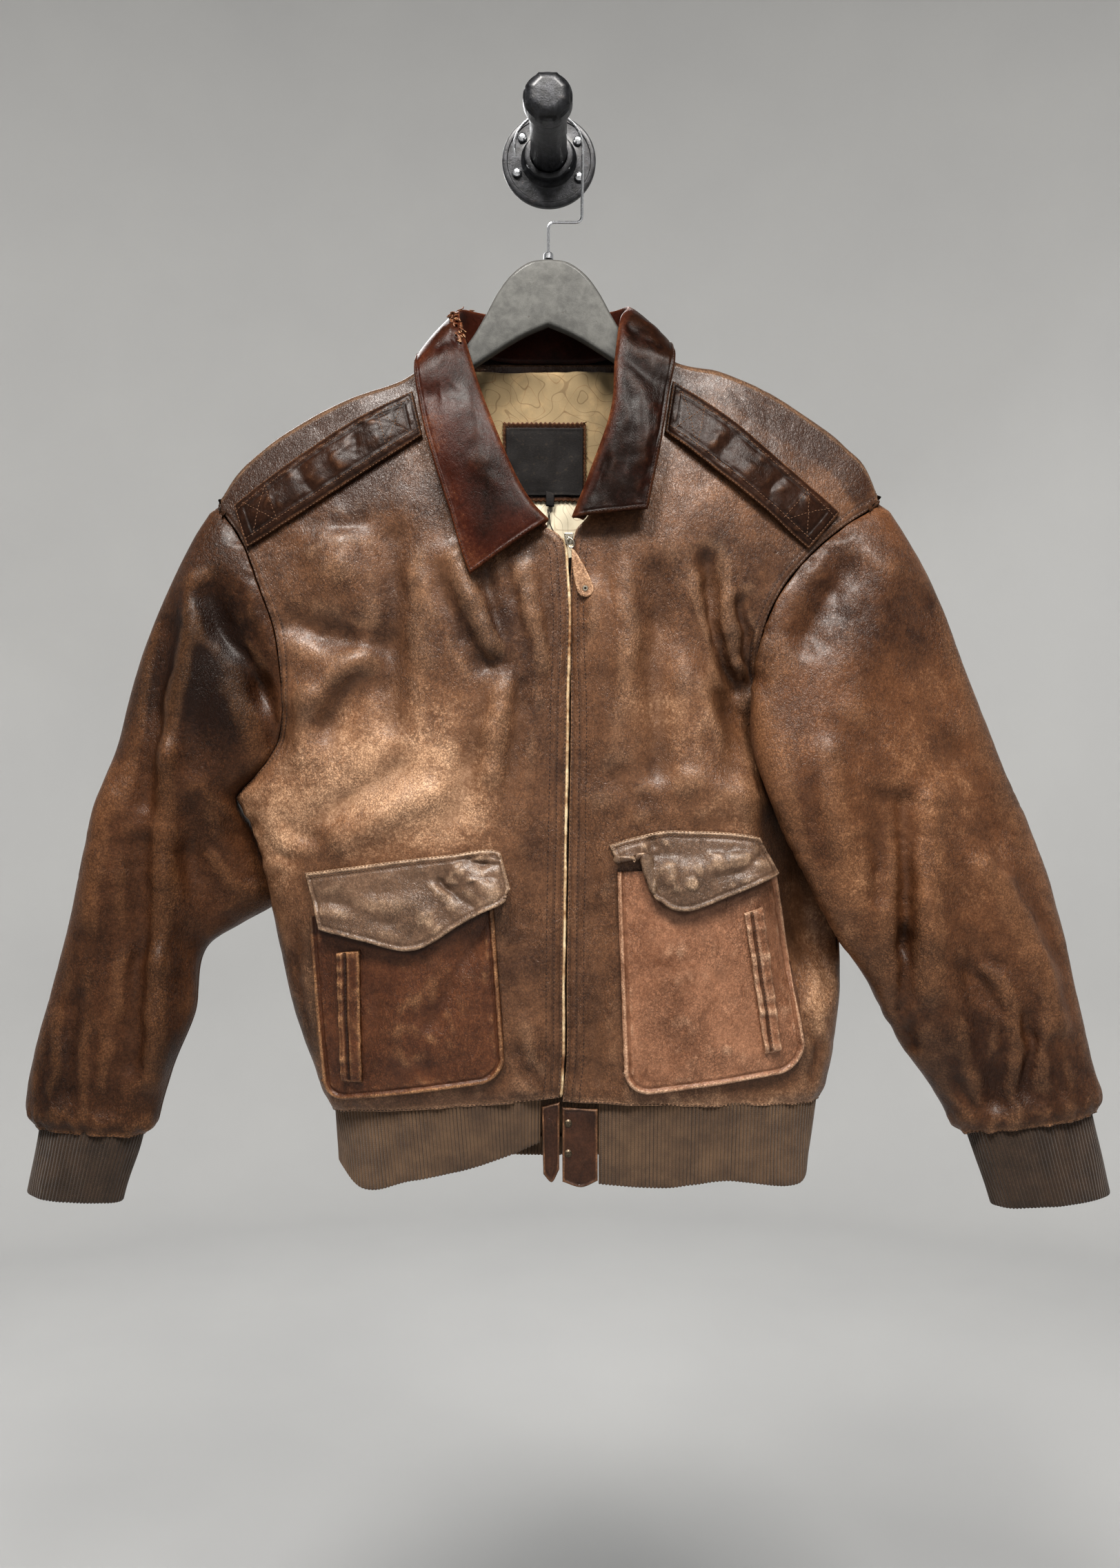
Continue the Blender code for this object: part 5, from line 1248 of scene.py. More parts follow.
class Shader:
    """A material and short names for the nodes that go into it."""

    def __init__(self, name, **constants):
        self.material = bpy.data.materials.new(name)
        self.material.use_nodes = True
        self.tree = self.material.node_tree
        self.tree.nodes.clear()
        self.body = self.tree.nodes.new("ShaderNodeBsdfPrincipled")
        out = self.tree.nodes.new("ShaderNodeOutputMaterial")
        self.tree.links.new(self.body.outputs[0], out.inputs[0])
        self.place = self.tree.nodes.new("ShaderNodeTexCoord").outputs["Object"]
        for key, value in constants.items():
            self.body.inputs[key.replace("_", " ")].default_value = value

    def put(self, socket, value):
        if isinstance(value, bpy.types.NodeSocket):
            self.tree.links.new(value, socket)
        else:
            socket.default_value = value

    def math(self, kind, a, b=0.0, c=0.0, clamp=False):
        node = self.tree.nodes.new("ShaderNodeMath")
        node.operation = kind
        node.use_clamp = clamp
        for socket, value in zip(node.inputs, (a, b, c)):
            self.put(socket, value)
        return node.outputs[0]

    def add(self, a, b):
        return self.math("ADD", a, b)

    def times(self, a, b):
        return self.math("MULTIPLY", a, b)

    def scaled(self, value, low, high, new_low=0.0, new_high=1.0):
        node = self.tree.nodes.new("ShaderNodeMapRange")
        node.interpolation_type = "SMOOTHSTEP"
        for index, setting in enumerate((value, low, high, new_low, new_high)):
            self.put(node.inputs[index], setting)
        return node.outputs[0]

    def mix(self, share, a, b):
        node = self.tree.nodes.new("ShaderNodeMix")
        node.data_type = "RGBA"
        self.put(node.inputs[0], share)
        self.put(node.inputs[6], a)
        self.put(node.inputs[7], b)
        return node.outputs[2]

    def stretched(self, x, y, z):
        node = self.tree.nodes.new("ShaderNodeMapping")
        self.put(node.inputs[0], self.place)
        node.inputs[3].default_value = (x, y, z)
        return node.outputs[0]

    def noise(self, size, detail=2.0, rough=0.55, warp=0.0, at=None):
        node = self.tree.nodes.new("ShaderNodeTexNoise")
        self.put(node.inputs["Vector"], at or self.place)
        node.inputs["Scale"].default_value = 1 / size
        node.inputs["Detail"].default_value = detail
        node.inputs["Roughness"].default_value = rough
        node.inputs["Distortion"].default_value = warp
        return node.outputs[0]

    def cells(self, size, feature="F1", output="Distance", at=None):
        node = self.tree.nodes.new("ShaderNodeTexVoronoi")
        node.feature = feature
        self.put(node.inputs["Vector"], at or self.place)
        node.inputs["Scale"].default_value = 1 / size
        return node.outputs[output]

    def value(self, name):
        node = self.tree.nodes.new("ShaderNodeAttribute")
        node.attribute_name = name
        return node.outputs["Fac"]

    def warped(self, size, reach):
        """The place, moved a little by noise."""
        node = self.tree.nodes.new("ShaderNodeTexNoise")
        self.put(node.inputs["Vector"], self.place)
        node.inputs["Scale"].default_value = 1 / size
        shift = self.tree.nodes.new("ShaderNodeVectorMath")
        shift.operation = "MULTIPLY_ADD"
        self.put(shift.inputs[0], node.outputs["Color"])
        shift.inputs[1].default_value = (reach, reach, reach)
        self.put(shift.inputs[2], self.place)
        return shift.outputs[0]

    def bump(self, height, distance, strength=1.0):
        node = self.tree.nodes.new("ShaderNodeBump")
        node.inputs["Strength"].default_value = strength
        node.inputs["Distance"].default_value = distance
        self.put(node.inputs["Height"], height)
        self.put(self.body.inputs["Normal"], node.outputs[0])

    def finish(self, colour, roughness=None, metallic=None):
        self.put(self.body.inputs["Base Color"], colour)
        if roughness is not None:
            self.put(self.body.inputs["Roughness"], roughness)
        if metallic is not None:
            self.put(self.body.inputs["Metallic"], metallic)
        return self.material


def leather(
    name, dark, middle, tan, rough=0.30, grain=1.0, rub=1.0, size=0.0014, specular=0.32, patchy=1.0,
    coat=0.05,
):
    """Grained leather, rubbed pale where it stands out, darkened in its hollows by dirt and painted
    shade.
    """
    s = Shader(name, Coat_Weight=coat, Coat_Roughness=0.18, Specular_IOR_Level=specular)
    tone, worn, dirt_and_shade = s.value("tone"), s.value("worn"), s.value("dirt_and_shade")
    broad = s.noise(0.060, 3.0, 0.6)
    patch = s.noise(0.016, 4.0, 0.65, 0.6)
    speck = s.noise(0.0030, 4.0, 0.7)
    warped = s.warped(0.006, 0.0012)
    top = s.scaled(s.cells(size, at=warped), 0.70, 0.12)
    # Fine wrinkles: plateaus with narrow valleys between them, longer down than across.
    wrinkles = []
    for width, stretch in ((0.0040, 0.42), (0.0017, 0.60)):
        field = s.noise(width, 2.0, 0.6, 0.5, s.stretched(1.0, 1.0, stretch))
        wrinkles.append(s.scaled(s.math("ABSOLUTE", s.add(field, -0.5)), 0.0, 0.085))
    creased = s.scaled(s.noise(0.045, 2.0, 0.6, 0.4), 0.34, 0.66, 0.35, 1.0)
    wrinkles = [s.add(s.times(s.add(w, -1.0), creased), 1.0) for w in wrinkles]
    amount = s.add(s.times(tone, 0.42), 0.48)
    amount = s.add(amount, s.times(s.add(broad, -0.5), 0.70 * patchy))
    amount = s.add(amount, s.times(s.add(patch, -0.5), 0.45 * patchy))
    amount = s.math("ADD", amount, s.times(s.add(speck, -0.5), 0.55), clamp=True)
    colour = s.mix(s.scaled(amount, 0.10, 0.78), dark, middle)
    rubbed = s.add(s.times(worn, 0.95), s.times(s.scaled(amount, 0.58, 1.0), 0.70))
    rubbed = s.times(rubbed, s.scaled(s.add(speck, s.times(patch, 0.7)), 0.55, 1.15, 0.55, 1.10))
    rubbed = s.times(rubbed, s.add(s.times(top, 0.40), 0.68))
    colour = s.mix(s.math("MULTIPLY", rubbed, rub, clamp=True), colour, tan)
    gap = s.times(
        s.scaled(top, 0.40, 0.0),
        s.add(s.times(creased, 0.22 * min(grain, 1.0)), 0.22 * grain),
    )
    valley = s.times(s.add(s.times(wrinkles[0], -1.0), 1.0), 0.42 * grain)
    # Darker in the grain's gaps and the wrinkles' valleys, and where the panels' values paint dirt
    # and shade into their hollows.
    shade = s.math("MAXIMUM", s.math("MAXIMUM", gap, valley), s.times(dirt_and_shade, 0.80))
    shade = s.math("MAXIMUM", shade, s.times(s.scaled(patch, 0.42, 0.26), 0.22 * patchy))
    colour = s.mix(shade, colour, tuple(0.30 * part for part in dark[:3]) + (1.0,))
    fleck = s.scaled(s.noise(0.0011, 2.0, 0.6), 0.66, 0.74)
    fleck = s.times(fleck, s.scaled(s.add(amount, s.times(worn, 0.6)), 0.35, 0.95))
    colour = s.mix(s.times(fleck, 0.34 * rub), colour, srgb(206, 160, 112))
    height = s.add(s.times(wrinkles[0], 1.0), s.times(wrinkles[1], 0.45))
    height = s.add(height, s.times(top, 0.22))
    height = s.add(height, s.times(s.noise(0.0065, 3.0, 0.6, 0.6, s.stretched(1.0, 1.0, 0.6)), 1.5))
    s.bump(height, 0.00026 * grain, 0.9)
    gloss = s.add(s.times(rubbed, 0.12), s.times(s.add(speck, -0.5), 0.22))
    return s.finish(colour, s.add(s.add(gloss, rough), s.times(shade, 0.30)))


BROWN = leather("body leather", srgb(52, 31, 19), srgb(118, 84, 60), srgb(206, 168, 136))
SLEEVE_DARK = leather(
    "left sleeve leather", srgb(30, 15, 7), srgb(92, 60, 39), srgb(166, 122, 86),
    specular=0.20, patchy=0.6,
)
SLEEVE_RED = leather(
    "right sleeve leather", srgb(48, 27, 15), srgb(106, 71, 47), srgb(182, 140, 106), specular=0.26
)
TAB_LEATHER = leather(
    "hem tab leather", srgb(34, 18, 11), srgb(80, 51, 35), srgb(166, 124, 92), grain=0.6
)
# A dark, dull copy of the leather for the seam allowances: painted shade where they show in the
# seams' gaps.
SHADED_SEAM_LEATHER = leather(
    "turned seam leather in painted shade", srgb(18, 11, 7), srgb(30, 19, 12), srgb(40, 26, 17),
    rough=0.75, specular=0.03, coat=0.0,
)
POCKET_LEFT = leather(
    "left pocket leather", srgb(58, 31, 18), srgb(112, 71, 46), srgb(180, 138, 100)
)
POCKET_RIGHT = leather(
    "right pocket leather", srgb(100, 64, 43), srgb(168, 124, 97), srgb(210, 176, 148)
)
FLAP_LEATHER = leather(
    "flap leather", srgb(62, 46, 35), srgb(112, 88, 71), srgb(188, 160, 134), rough=0.26
)
DARK = leather(
    "collar leather", srgb(20, 9, 5), srgb(56, 25, 16), srgb(134, 86, 57),
    rough=0.31, grain=0.24, rub=0.55, specular=0.10, coat=0.0,
)
STRAP = leather(
    "epaulette leather", srgb(24, 13, 8), srgb(52, 32, 22), srgb(136, 96, 68),
    rough=0.30, grain=0.30, specular=0.13, coat=0.0,
)
PIPING = leather(
    "worn piping", srgb(98, 62, 40), srgb(146, 106, 74), srgb(196, 164, 128), grain=0.6, size=0.0012
)
CREAM_EDGE = leather(
    "cream zip edge", srgb(112, 74, 48), srgb(180, 146, 108), srgb(214, 194, 160),
    grain=0.5, size=0.0011,
)


def thread(name, colour):
    s = Shader(name, Sheen_Weight=0.15, Specular_IOR_Level=0.3)
    twist = s.noise(0.0006, 2.0)
    colour = s.mix(s.scaled(twist, 0.35, 0.7), tuple(0.55 * c for c in colour[:3]) + (1.0,), colour)
    s.bump(twist, 0.0001, 0.6)
    return s.finish(colour, s.scaled(twist, 0.2, 0.8, 0.62, 0.80))


THREAD = thread("brown thread", srgb(56, 34, 22))
PALE_THREAD = thread("worn thread", srgb(112, 80, 56))


def knit_material(name, low, high):
    s = Shader(name, Sheen_Weight=0.30, Sheen_Roughness=0.5, Specular_IOR_Level=0.20)
    around, down, rise = s.value("around"), s.value("down"), s.value("rise")
    column = s.math("ABSOLUTE", s.add(s.math("FRACT", s.math("DIVIDE", around, RIB_PITCH)), -0.5))
    stitch = s.math("SINE", s.add(s.times(down, 2 * math.pi / 0.0016), s.times(column, 9.0)))
    wool = s.noise(0.0009, 4.0, 0.7)
    patch = s.noise(0.020, 3.0, 0.6)
    colour = s.mix(s.scaled(patch, 0.20, 0.85), low, high)
    lit = s.add(s.times(rise, 0.92), s.times(s.add(stitch, 1.0), 0.04))
    colour = s.mix(s.scaled(lit, 0.0, 0.75), srgb(40, 30, 22), colour)
    colour = s.mix(s.times(s.scaled(wool, 0.52, 0.80), 0.40), colour, srgb(146, 120, 90))
    s.bump(s.add(s.times(stitch, 0.22), s.times(wool, 0.9)), 0.00040, 0.9)
    return s.finish(colour, s.scaled(wool, 0.2, 0.8, 0.78, 0.92))


def lining_material():
    s = Shader("lining cloth", Sheen_Weight=0.2, Specular_IOR_Level=0.3)
    height = s.noise(0.044, 1.0, 0.4, 0.3)
    bands = s.math("FRACT", s.times(height, 11.0))
    line = s.scaled(s.math("ABSOLUTE", s.add(bands, -0.5)), 0.055, 0.02)
    second = s.math("FRACT", s.times(s.noise(0.028, 0.0, 0.4), 5.0))
    other = s.scaled(s.math("ABSOLUTE", s.add(second, -0.5)), 0.03, 0.01)
    low = s.value("low")
    stain = s.noise(0.018, 4.0, 0.65)
    ground = s.mix(low, srgb(146, 128, 98), srgb(216, 206, 182))
    ground = s.mix(s.times(s.scaled(stain, 0.45, 0.75), 0.45), ground, srgb(184, 156, 116))
    ink = s.mix(low, srgb(96, 74, 50), srgb(104, 96, 82))
    colour = s.mix(s.times(line, 0.48), ground, ink)
    colour = s.mix(s.times(other, 0.35), colour, srgb(120, 84, 54))
    weave = s.noise(0.0007, 2.0, 0.6, 0.0, s.stretched(1.0, 1.0, 0.35))
    s.bump(weave, 0.00015, 0.6)
    return s.finish(colour, s.scaled(weave, 0.2, 0.8, 0.72, 0.9))


def label_material():
    s = Shader("label weave", Specular_IOR_Level=0.25)
    weave = s.noise(0.0006, 2.0, 0.5, 0.0, s.stretched(0.3, 1.0, 1.0))
    dust = s.noise(0.004, 4.0, 0.7)
    colour = s.mix(weave, srgb(14, 13, 14), srgb(44, 41, 40))
    colour = s.mix(s.times(s.scaled(dust, 0.55, 0.8), 0.35), colour, srgb(92, 80, 66))
    s.bump(weave, 0.00018, 0.8)
    return s.finish(colour, 0.82)


def metal(name, low, high, rough, scratch=0.0006, dirt=0.4, dirt_colour=(30, 26, 22)):
    s = Shader(name, Specular_IOR_Level=0.5)
    patch = s.noise(0.006, 4.0, 0.65)
    fine = s.noise(scratch, 3.0, 0.7)
    grime = s.times(s.scaled(patch, 0.52, 0.74), dirt)
    colour = s.mix(s.scaled(fine, 0.3, 0.7), low, high)
    colour = s.mix(grime, colour, srgb(*dirt_colour))
    s.bump(s.add(fine, s.times(patch, 0.8)), 0.00006, 0.7)
    shine = s.add(s.scaled(fine, 0.2, 0.8, rough, rough + 0.16), s.times(grime, 0.5))
    return s.finish(colour, shine, s.scaled(grime, 0.1, 0.4, 1.0, 0.35))


def iron_material():
    s = Shader("black iron", Coat_Weight=0.25, Coat_Roughness=0.25, Specular_IOR_Level=0.5)
    cast = s.noise(0.0016, 4.0, 0.7)
    lump = s.noise(0.007, 3.0, 0.6)
    rust = s.scaled(s.noise(0.012, 5.0, 0.7, 0.5), 0.60, 0.74)
    colour = s.mix(s.scaled(lump, 0.35, 0.7), srgb(16, 17, 20), srgb(44, 45, 49))
    colour = s.mix(s.times(rust, 0.35), colour, srgb(74, 62, 54))
    colour = s.mix(s.times(s.scaled(cast, 0.62, 0.8), 0.4), colour, srgb(104, 104, 108))
    s.bump(s.add(cast, lump), 0.00035, 0.9)
    return s.finish(colour, s.scaled(cast, 0.2, 0.8, 0.30, 0.52), 0.45)


def hanger_material():
    s = Shader("hanger paint", Coat_Weight=0.08, Specular_IOR_Level=0.4)
    mottle = s.noise(0.010, 5.0, 0.7, 0.3)
    blotch = s.noise(0.034, 3.0, 0.6)
    fine = s.noise(0.0012, 4.0, 0.75)
    amount = s.add(s.times(mottle, 0.65), s.times(blotch, 0.35))
    colour = s.mix(s.scaled(amount, 0.34, 0.66), srgb(66, 66, 64), srgb(92, 92, 89))
    colour = s.mix(s.times(s.scaled(fine, 0.56, 0.78), 0.45), colour, srgb(124, 124, 121))
    chip = s.scaled(s.noise(0.005, 4.0, 0.75), 0.66, 0.70)
    colour = s.mix(s.times(chip, 0.7), colour, srgb(66, 62, 58))
    edge = s.value("edge")
    colour = s.mix(s.times(s.scaled(edge, 0.2, 0.9), 0.55), colour, srgb(58, 56, 54))
    s.bump(s.add(fine, s.times(chip, -0.8)), 0.00020, 0.8)
    return s.finish(colour, s.scaled(fine, 0.2, 0.8, 0.52, 0.72))


def tape_material():
    s = Shader("zip tape weave", Specular_IOR_Level=0.25)
    weave = s.noise(0.0007, 2.0, 0.5, 0.0, s.stretched(0.35, 1.0, 1.0))
    colour = s.mix(s.scaled(weave, 0.3, 0.7), srgb(26, 19, 15), srgb(58, 44, 34))
    s.bump(weave, 0.0002, 0.8)
    return s.finish(colour, s.scaled(weave, 0.2, 0.8, 0.75, 0.9))


KNIT = knit_material("waist rib knit", srgb(72, 55, 42), srgb(104, 82, 62))
# The cuffs' copy of the rib knit is darker: painted shade where the light falls off at the ends of
# the sleeves.
SHADED_CUFF_KNIT = knit_material("cuff rib knit in painted shade", srgb(40, 29, 21), srgb(64, 48, 36))
LINING = lining_material()
LABEL = label_material()
CHROME = metal("chrome wire", srgb(176, 178, 182), srgb(226, 228, 232), 0.14, dirt=0.25)
ZIP_METAL = metal("zip metal", srgb(128, 120, 108), srgb(192, 186, 172), 0.26, dirt=0.55)
SNAP_METAL = metal("aged snap metal", srgb(58, 50, 42), srgb(120, 108, 92), 0.34, dirt=0.7)
IRON = iron_material()
PAINT = hanger_material()
TAPE = tape_material()


# ---------------------------------------------------------------- fronts, back and sleeves
def arc_places(form, rows, targets, low=0.0, high=1.0, dense=420):
    """For each row, where along it these shares of its length lie."""
    at = np.linspace(low, high, dense)
    points = form(at[None, :], rows[:, None])
    step = np.linalg.norm(np.diff(points, axis=1), axis=-1)
    length = np.pad(step.cumsum(axis=1), ((0, 0), (1, 0)))
    return np.stack([np.interp(targets * row[-1], row, at) for row in length])


def build_front(side):
    rows = graded(0.690)
    targets = graded(0.262)
    at = arc_places(lambda a, b: front(side, a, b), rows, targets)
    panel = Panel(front(side, at, rows[:, None]), flip=side == "left")
    spot = panel.grid.copy()
    row = np.broadcast_to(rows[:, None], at.shape)
    first, last = panel.away["first"], panel.away["last"]
    top, bottom = panel.away["top"], panel.away["bottom"]
    edges = np.minimum(np.minimum(first, last), np.minimum(top, bottom))
    height = crumple(spot, 3 if side == "left" else 57) * smooth(edges / 0.010)
    height += creases(spot, FINE_FRONT) * smooth(edges / 0.008)
    # Gathers where the armhole seam pulls, and above the knitted waistband.
    in_armhole = smooth((UNDERARM + 0.03 - row) / 0.05)
    height += pucker(spot, last, 0.0008, 0.016, (0.011, 0.011, 0.007), 61) * in_armhole
    height += pucker(spot, bottom, 0.0025, 0.024, (0.0085, 0.03, 0.028), 62)
    height += 0.0022 * bell(bottom - 0.012, 0.010)
    below_collar = smooth((row - 0.24) / 0.04)
    at_zip = pucker(spot, first, 0.0005, 0.010, (0.02, 0.02, 0.0075), 63)
    height += at_zip * smooth((row - 0.25) / 0.05)
    armhole = seam_form(last)
    plain = seam_form(last, ())
    height += armhole * in_armhole + plain * (1 - in_armhole)
    height += seam_form(first, ZIP_ROWS) * below_collar
    height += seam_form(top, ()) + seam_form(bottom, (HEM_ROW,))
    panel.push(height)
    tone = spots(spot, TONES_FRONT) - 0.5 * smooth((0.034 - top) / 0.012)
    values = worn_dirt_and_shade(panel, 0.35)
    values["dirt_and_shade"] = stitched_dark(values["dirt_and_shade"], last, (0.0, *STITCH_ROWS), in_armhole)
    values["dirt_and_shade"] = stitched_dark(values["dirt_and_shade"], first, ZIP_ROWS, below_collar)
    values["worn"] = np.clip(
        values["worn"] * (1 - 0.8 * bell(last, 0.003))
        + 0.55 * bell(bottom, 0.004)
        + 0.25 * bell(first, 0.002),
        0,
        1,
    )
    values["tone"] = tone
    cloth(
        "front_%s_leather" % side,
        panel,
        BROWN,
        ("front_" + side,),
        values,
        skirt=("first", "last", "top", "bottom"),
    )
    return panel


def build_back():
    rows = np.concatenate([np.linspace(-0.08, 0, 9)[:-1], graded(0.690, low=False)])
    targets = graded(0.62, coarse=0.0038)
    at = arc_places(back, rows, targets, -1.0, 1.0, 700)
    panel = Panel(back(at, rows[:, None]), flip=True)
    spot = panel.grid.copy()
    row = np.broadcast_to(rows[:, None], at.shape)
    sides = np.minimum(panel.away["first"], panel.away["last"])
    top, bottom = panel.away["top"], panel.away["bottom"]
    edges = np.minimum(np.minimum(sides, top), bottom)
    height = (crumple(spot, 91) * 1.15 + creases(spot, FINE_BACK)) * smooth(edges / 0.010)
    in_armhole = smooth((UNDERARM + 0.03 - row) / 0.05)
    height += pucker(spot, sides, 0.0008, 0.016, (0.011, 0.011, 0.007), 64) * in_armhole
    height += pucker(spot, bottom, 0.0021, 0.026, (0.0085, 0.03, 0.030), 65)
    height += seam_form(sides) * in_armhole + seam_form(sides, ()) * (1 - in_armhole)
    height += seam_form(top, ()) + seam_form(bottom, (0.0030,))
    panel.push(height)
    values = worn_dirt_and_shade(panel, 0.35)
    values["dirt_and_shade"] = stitched_dark(values["dirt_and_shade"], sides, (0.0, *STITCH_ROWS), in_armhole)
    over = smooth((0.030 - row) / 0.040) * smooth((-0.02 - spot[..., 0]) / 0.05)
    raise_value(values, "dirt_and_shade", 0.35 * over)
    raise_value(values, "worn", 0.6 * bell(bottom, 0.004))
    values["tone"] = spots(spot, TONES_BACK) - 0.9 * smooth((0.034 - row) / 0.020)
    cloth(
        "back_leather",
        panel,
        BROWN,
        ("back",),
        values,
        skirt=("first", "last", "bottom"),
    )
    return panel


def build_sleeve(side):
    rows = graded(0.610, coarse=0.0031)
    targets = graded(0.400, coarse=0.0032)
    at = arc_places(lambda a, b: sleeve(side, a, b), rows, targets)
    grid = sleeve(side, at, rows[:, None])
    # The top of the sleeve follows the back's edge over the shoulder.
    column = -1.0 if side == "left" else 1.0
    over = back(np.full(9, column), np.linspace(-0.08, 0.0, 9))
    blend = np.clip(1 - rows / 0.030, 0, 1)[:, None, None] ** 2
    half_way = np.linspace(0, 0.5, 9)
    held = np.stack([np.interp(at[0], half_way, over[:, k]) for k in range(3)], axis=-1)
    grid = grid + (held[None] - grid[:1]) * blend
    panel = Panel(grid, flip=side == "left")
    spot = panel.grid.copy()
    row = np.broadcast_to(rows[:, None], at.shape)
    sides = np.minimum(panel.away["first"], panel.away["last"])
    top, bottom = panel.away["top"], panel.away["bottom"]
    edges = np.minimum(np.minimum(sides, top), bottom)
    ahead = smooth((-0.072 - spot[..., 1]) / 0.012)
    behind = smooth((spot[..., 1] + 0.072) / 0.012)
    calm = 0.6 if side == "left" else 0.9
    height = calm * crumple(spot, 131 if side == "left" else 177)
    elbow = bell(row - 0.56, 0.10) * np.clip(1.2 - at, 0, 1)
    wrinkled = np.abs(noise(spot, (0.030, 0.03, 0.013), 71))
    height -= 0.0011 * elbow * np.clip(1 - 2.5 * wrinkled, 0, 1)
    in_front = (0.2 + 0.8 * calm) * creases(spot, FINE_FRONT)
    height += in_front * ahead + creases(spot, FINE_BACK) * behind
    height *= smooth(edges / 0.010)
    in_armhole = smooth((SLEEVE_UNDERARM + 0.02 - row) / 0.04)
    height += pucker(spot, sides, 0.0010, 0.020, (0.010, 0.010, 0.007), 66) * in_armhole
    # The sleeve's end pouches over the cuff, in tight gathers.
    gathers = noise(spot, (0.0070, 0.0070, 0.024), 67)
    gathers = gathers + 0.5 * noise(spot, (0.0036, 0.0036, 0.012), 68)
    height += 0.0026 * gathers * bell(bottom, 0.024)
    height += 0.0040 * bell(bottom - 0.013, 0.011)
    height += seam_form(sides, ()) + seam_form(top, ()) + seam_form(bottom, (HEM_ROW,))
    panel.push(height)
    values = worn_dirt_and_shade(panel, 0.35)
    values["dirt_and_shade"] = values["dirt_and_shade"] * (calm - 0.1)
    raise_value(values, "worn", 0.6 * bell(bottom, 0.004))
    values["tone"] = spots(spot, TONES_FRONT) * ahead + spots(spot, TONES_BACK) * behind
    values["dirt_and_shade"] = stitched_dark(values["dirt_and_shade"], sides, (0.0,))
    values["worn"] = values["worn"] * (1 - 0.8 * bell(sides, 0.004))
    low_gather = bell(bottom, 0.017)
    # The gathers' hollows get painted shade, and their tops are worn paler.
    raise_value(values, "dirt_and_shade", 0.7 * low_gather * np.clip(-gathers - 0.1, 0, 1))
    raise_value(values, "worn", 0.5 * low_gather * np.clip(gathers - 0.3, 0, 1))
    cloth(
        "sleeve_%s_leather" % side,
        panel,
        SLEEVE_DARK if side == "left" else SLEEVE_RED,
        ("sleeve_" + side,),
        values,
        skirt=("first", "last", "top", "bottom"),
    )
    return panel


def allowance(name, panel, sides):
    points, faces = with_allowance(panel, sides)
    count = len(points)
    # Wholly dark values: painted shade in the seams' gaps.
    values = {"worn": np.zeros(count), "dirt_and_shade": np.ones(count), "tone": np.full(count, -1.0)}
    build(name, points, faces, SHADED_SEAM_LEATHER, "jacket", values)


fronts = {side: build_front(side) for side in ("left", "right")}
back_panel = build_back()
sleeves = {side: build_sleeve(side) for side in ("left", "right")}

for side in ("left", "right"):
    allowance("sleeve_%s_seam_allowance" % side, sleeves[side], ("first", "last", "top"))
allowance("back_seam_allowance", back_panel, ("first", "last"))


# ---------------------------------------------------------------- knitted waistband and cuffs
def along_arc(points, count):
    """The same line with this many points, evenly spaced."""
    step = np.linalg.norm(np.diff(points, axis=0), axis=-1)
    at = np.concatenate([[0], step.cumsum()])
    where = np.linspace(0, at[-1], count)
    return np.stack([np.interp(where, at, points[:, k]) for k in range(3)], axis=1), where


def knitted(name, top, low, flip, replaces, material, tuck=0.006, inner=0.016, seed=201):
    """A folded band of rib knit between two lines: its outer face, the fold and the inner face."""
    length = np.linalg.norm(np.diff((top + low) / 2, axis=0), axis=-1).sum()
    columns = int(round(length / RIB_PITCH)) * 6 + 1
    top, around = along_arc(top, columns)
    low, _ = along_arc(low, columns)
    tall = np.linalg.norm(low - top, axis=-1).mean()
    parts = np.concatenate([[-tuck / tall], np.linspace(0, 1, 13)])[:, None, None]
    grid = top[None] * (1 - parts) + low[None] * parts
    panel = Panel(grid, flip)
    panel.push(
        0.0016 * noise(grid, (0.045, 0.045, 0.05), seed)
        + 0.0009 * noise(grid, (0.012, 0.012, 0.05), seed + 1)
    )
    # The fold along the bottom edge, then the inner face.
    down = (low - top) / np.linalg.norm(low - top, axis=-1, keepdims=True)
    rim, way = panel.grid[-1], panel.normal[-1]
    radius = 0.0021
    rows, ways = [], []
    for turn in np.radians((30, 60, 90, 120, 150, 180)):
        rows.append(rim + down * radius * math.sin(turn) - way * radius * (1 - math.cos(turn)))
        ways.append(way * math.cos(turn) + down * math.sin(turn))
    for back_up in np.linspace(0, inner, 5)[1:]:
        rows.append(rows[5] - down * back_up)
        ways.append(-way)
    grid = np.concatenate([panel.grid, rows])
    normal = np.concatenate([panel.normal, ways])
    # The ribs themselves.
    wave = np.abs(np.cos(np.pi * around / RIB_PITCH)) ** 0.65
    uneven = 1 + 0.18 * noise(grid, (0.010, 0.010, 0.030), seed + 2)
    grid = grid + normal * (RIB_DEPTH * (wave - 1) * uneven)[..., None]
    steps = np.linalg.norm(np.diff(grid, axis=0), axis=-1).mean(axis=1)
    down_at = np.concatenate([[0], steps.cumsum()])
    shape = grid.shape[:2]
    values = {
        "around": np.broadcast_to(around[None], shape),
        "down": np.broadcast_to(down_at[:, None], shape),
        "rise": np.broadcast_to(wave[None], shape),
    }
    faces = quads(*shape, flip)
    build(name, grid.reshape(-1, 3), faces, material, "jacket", values, replaces)


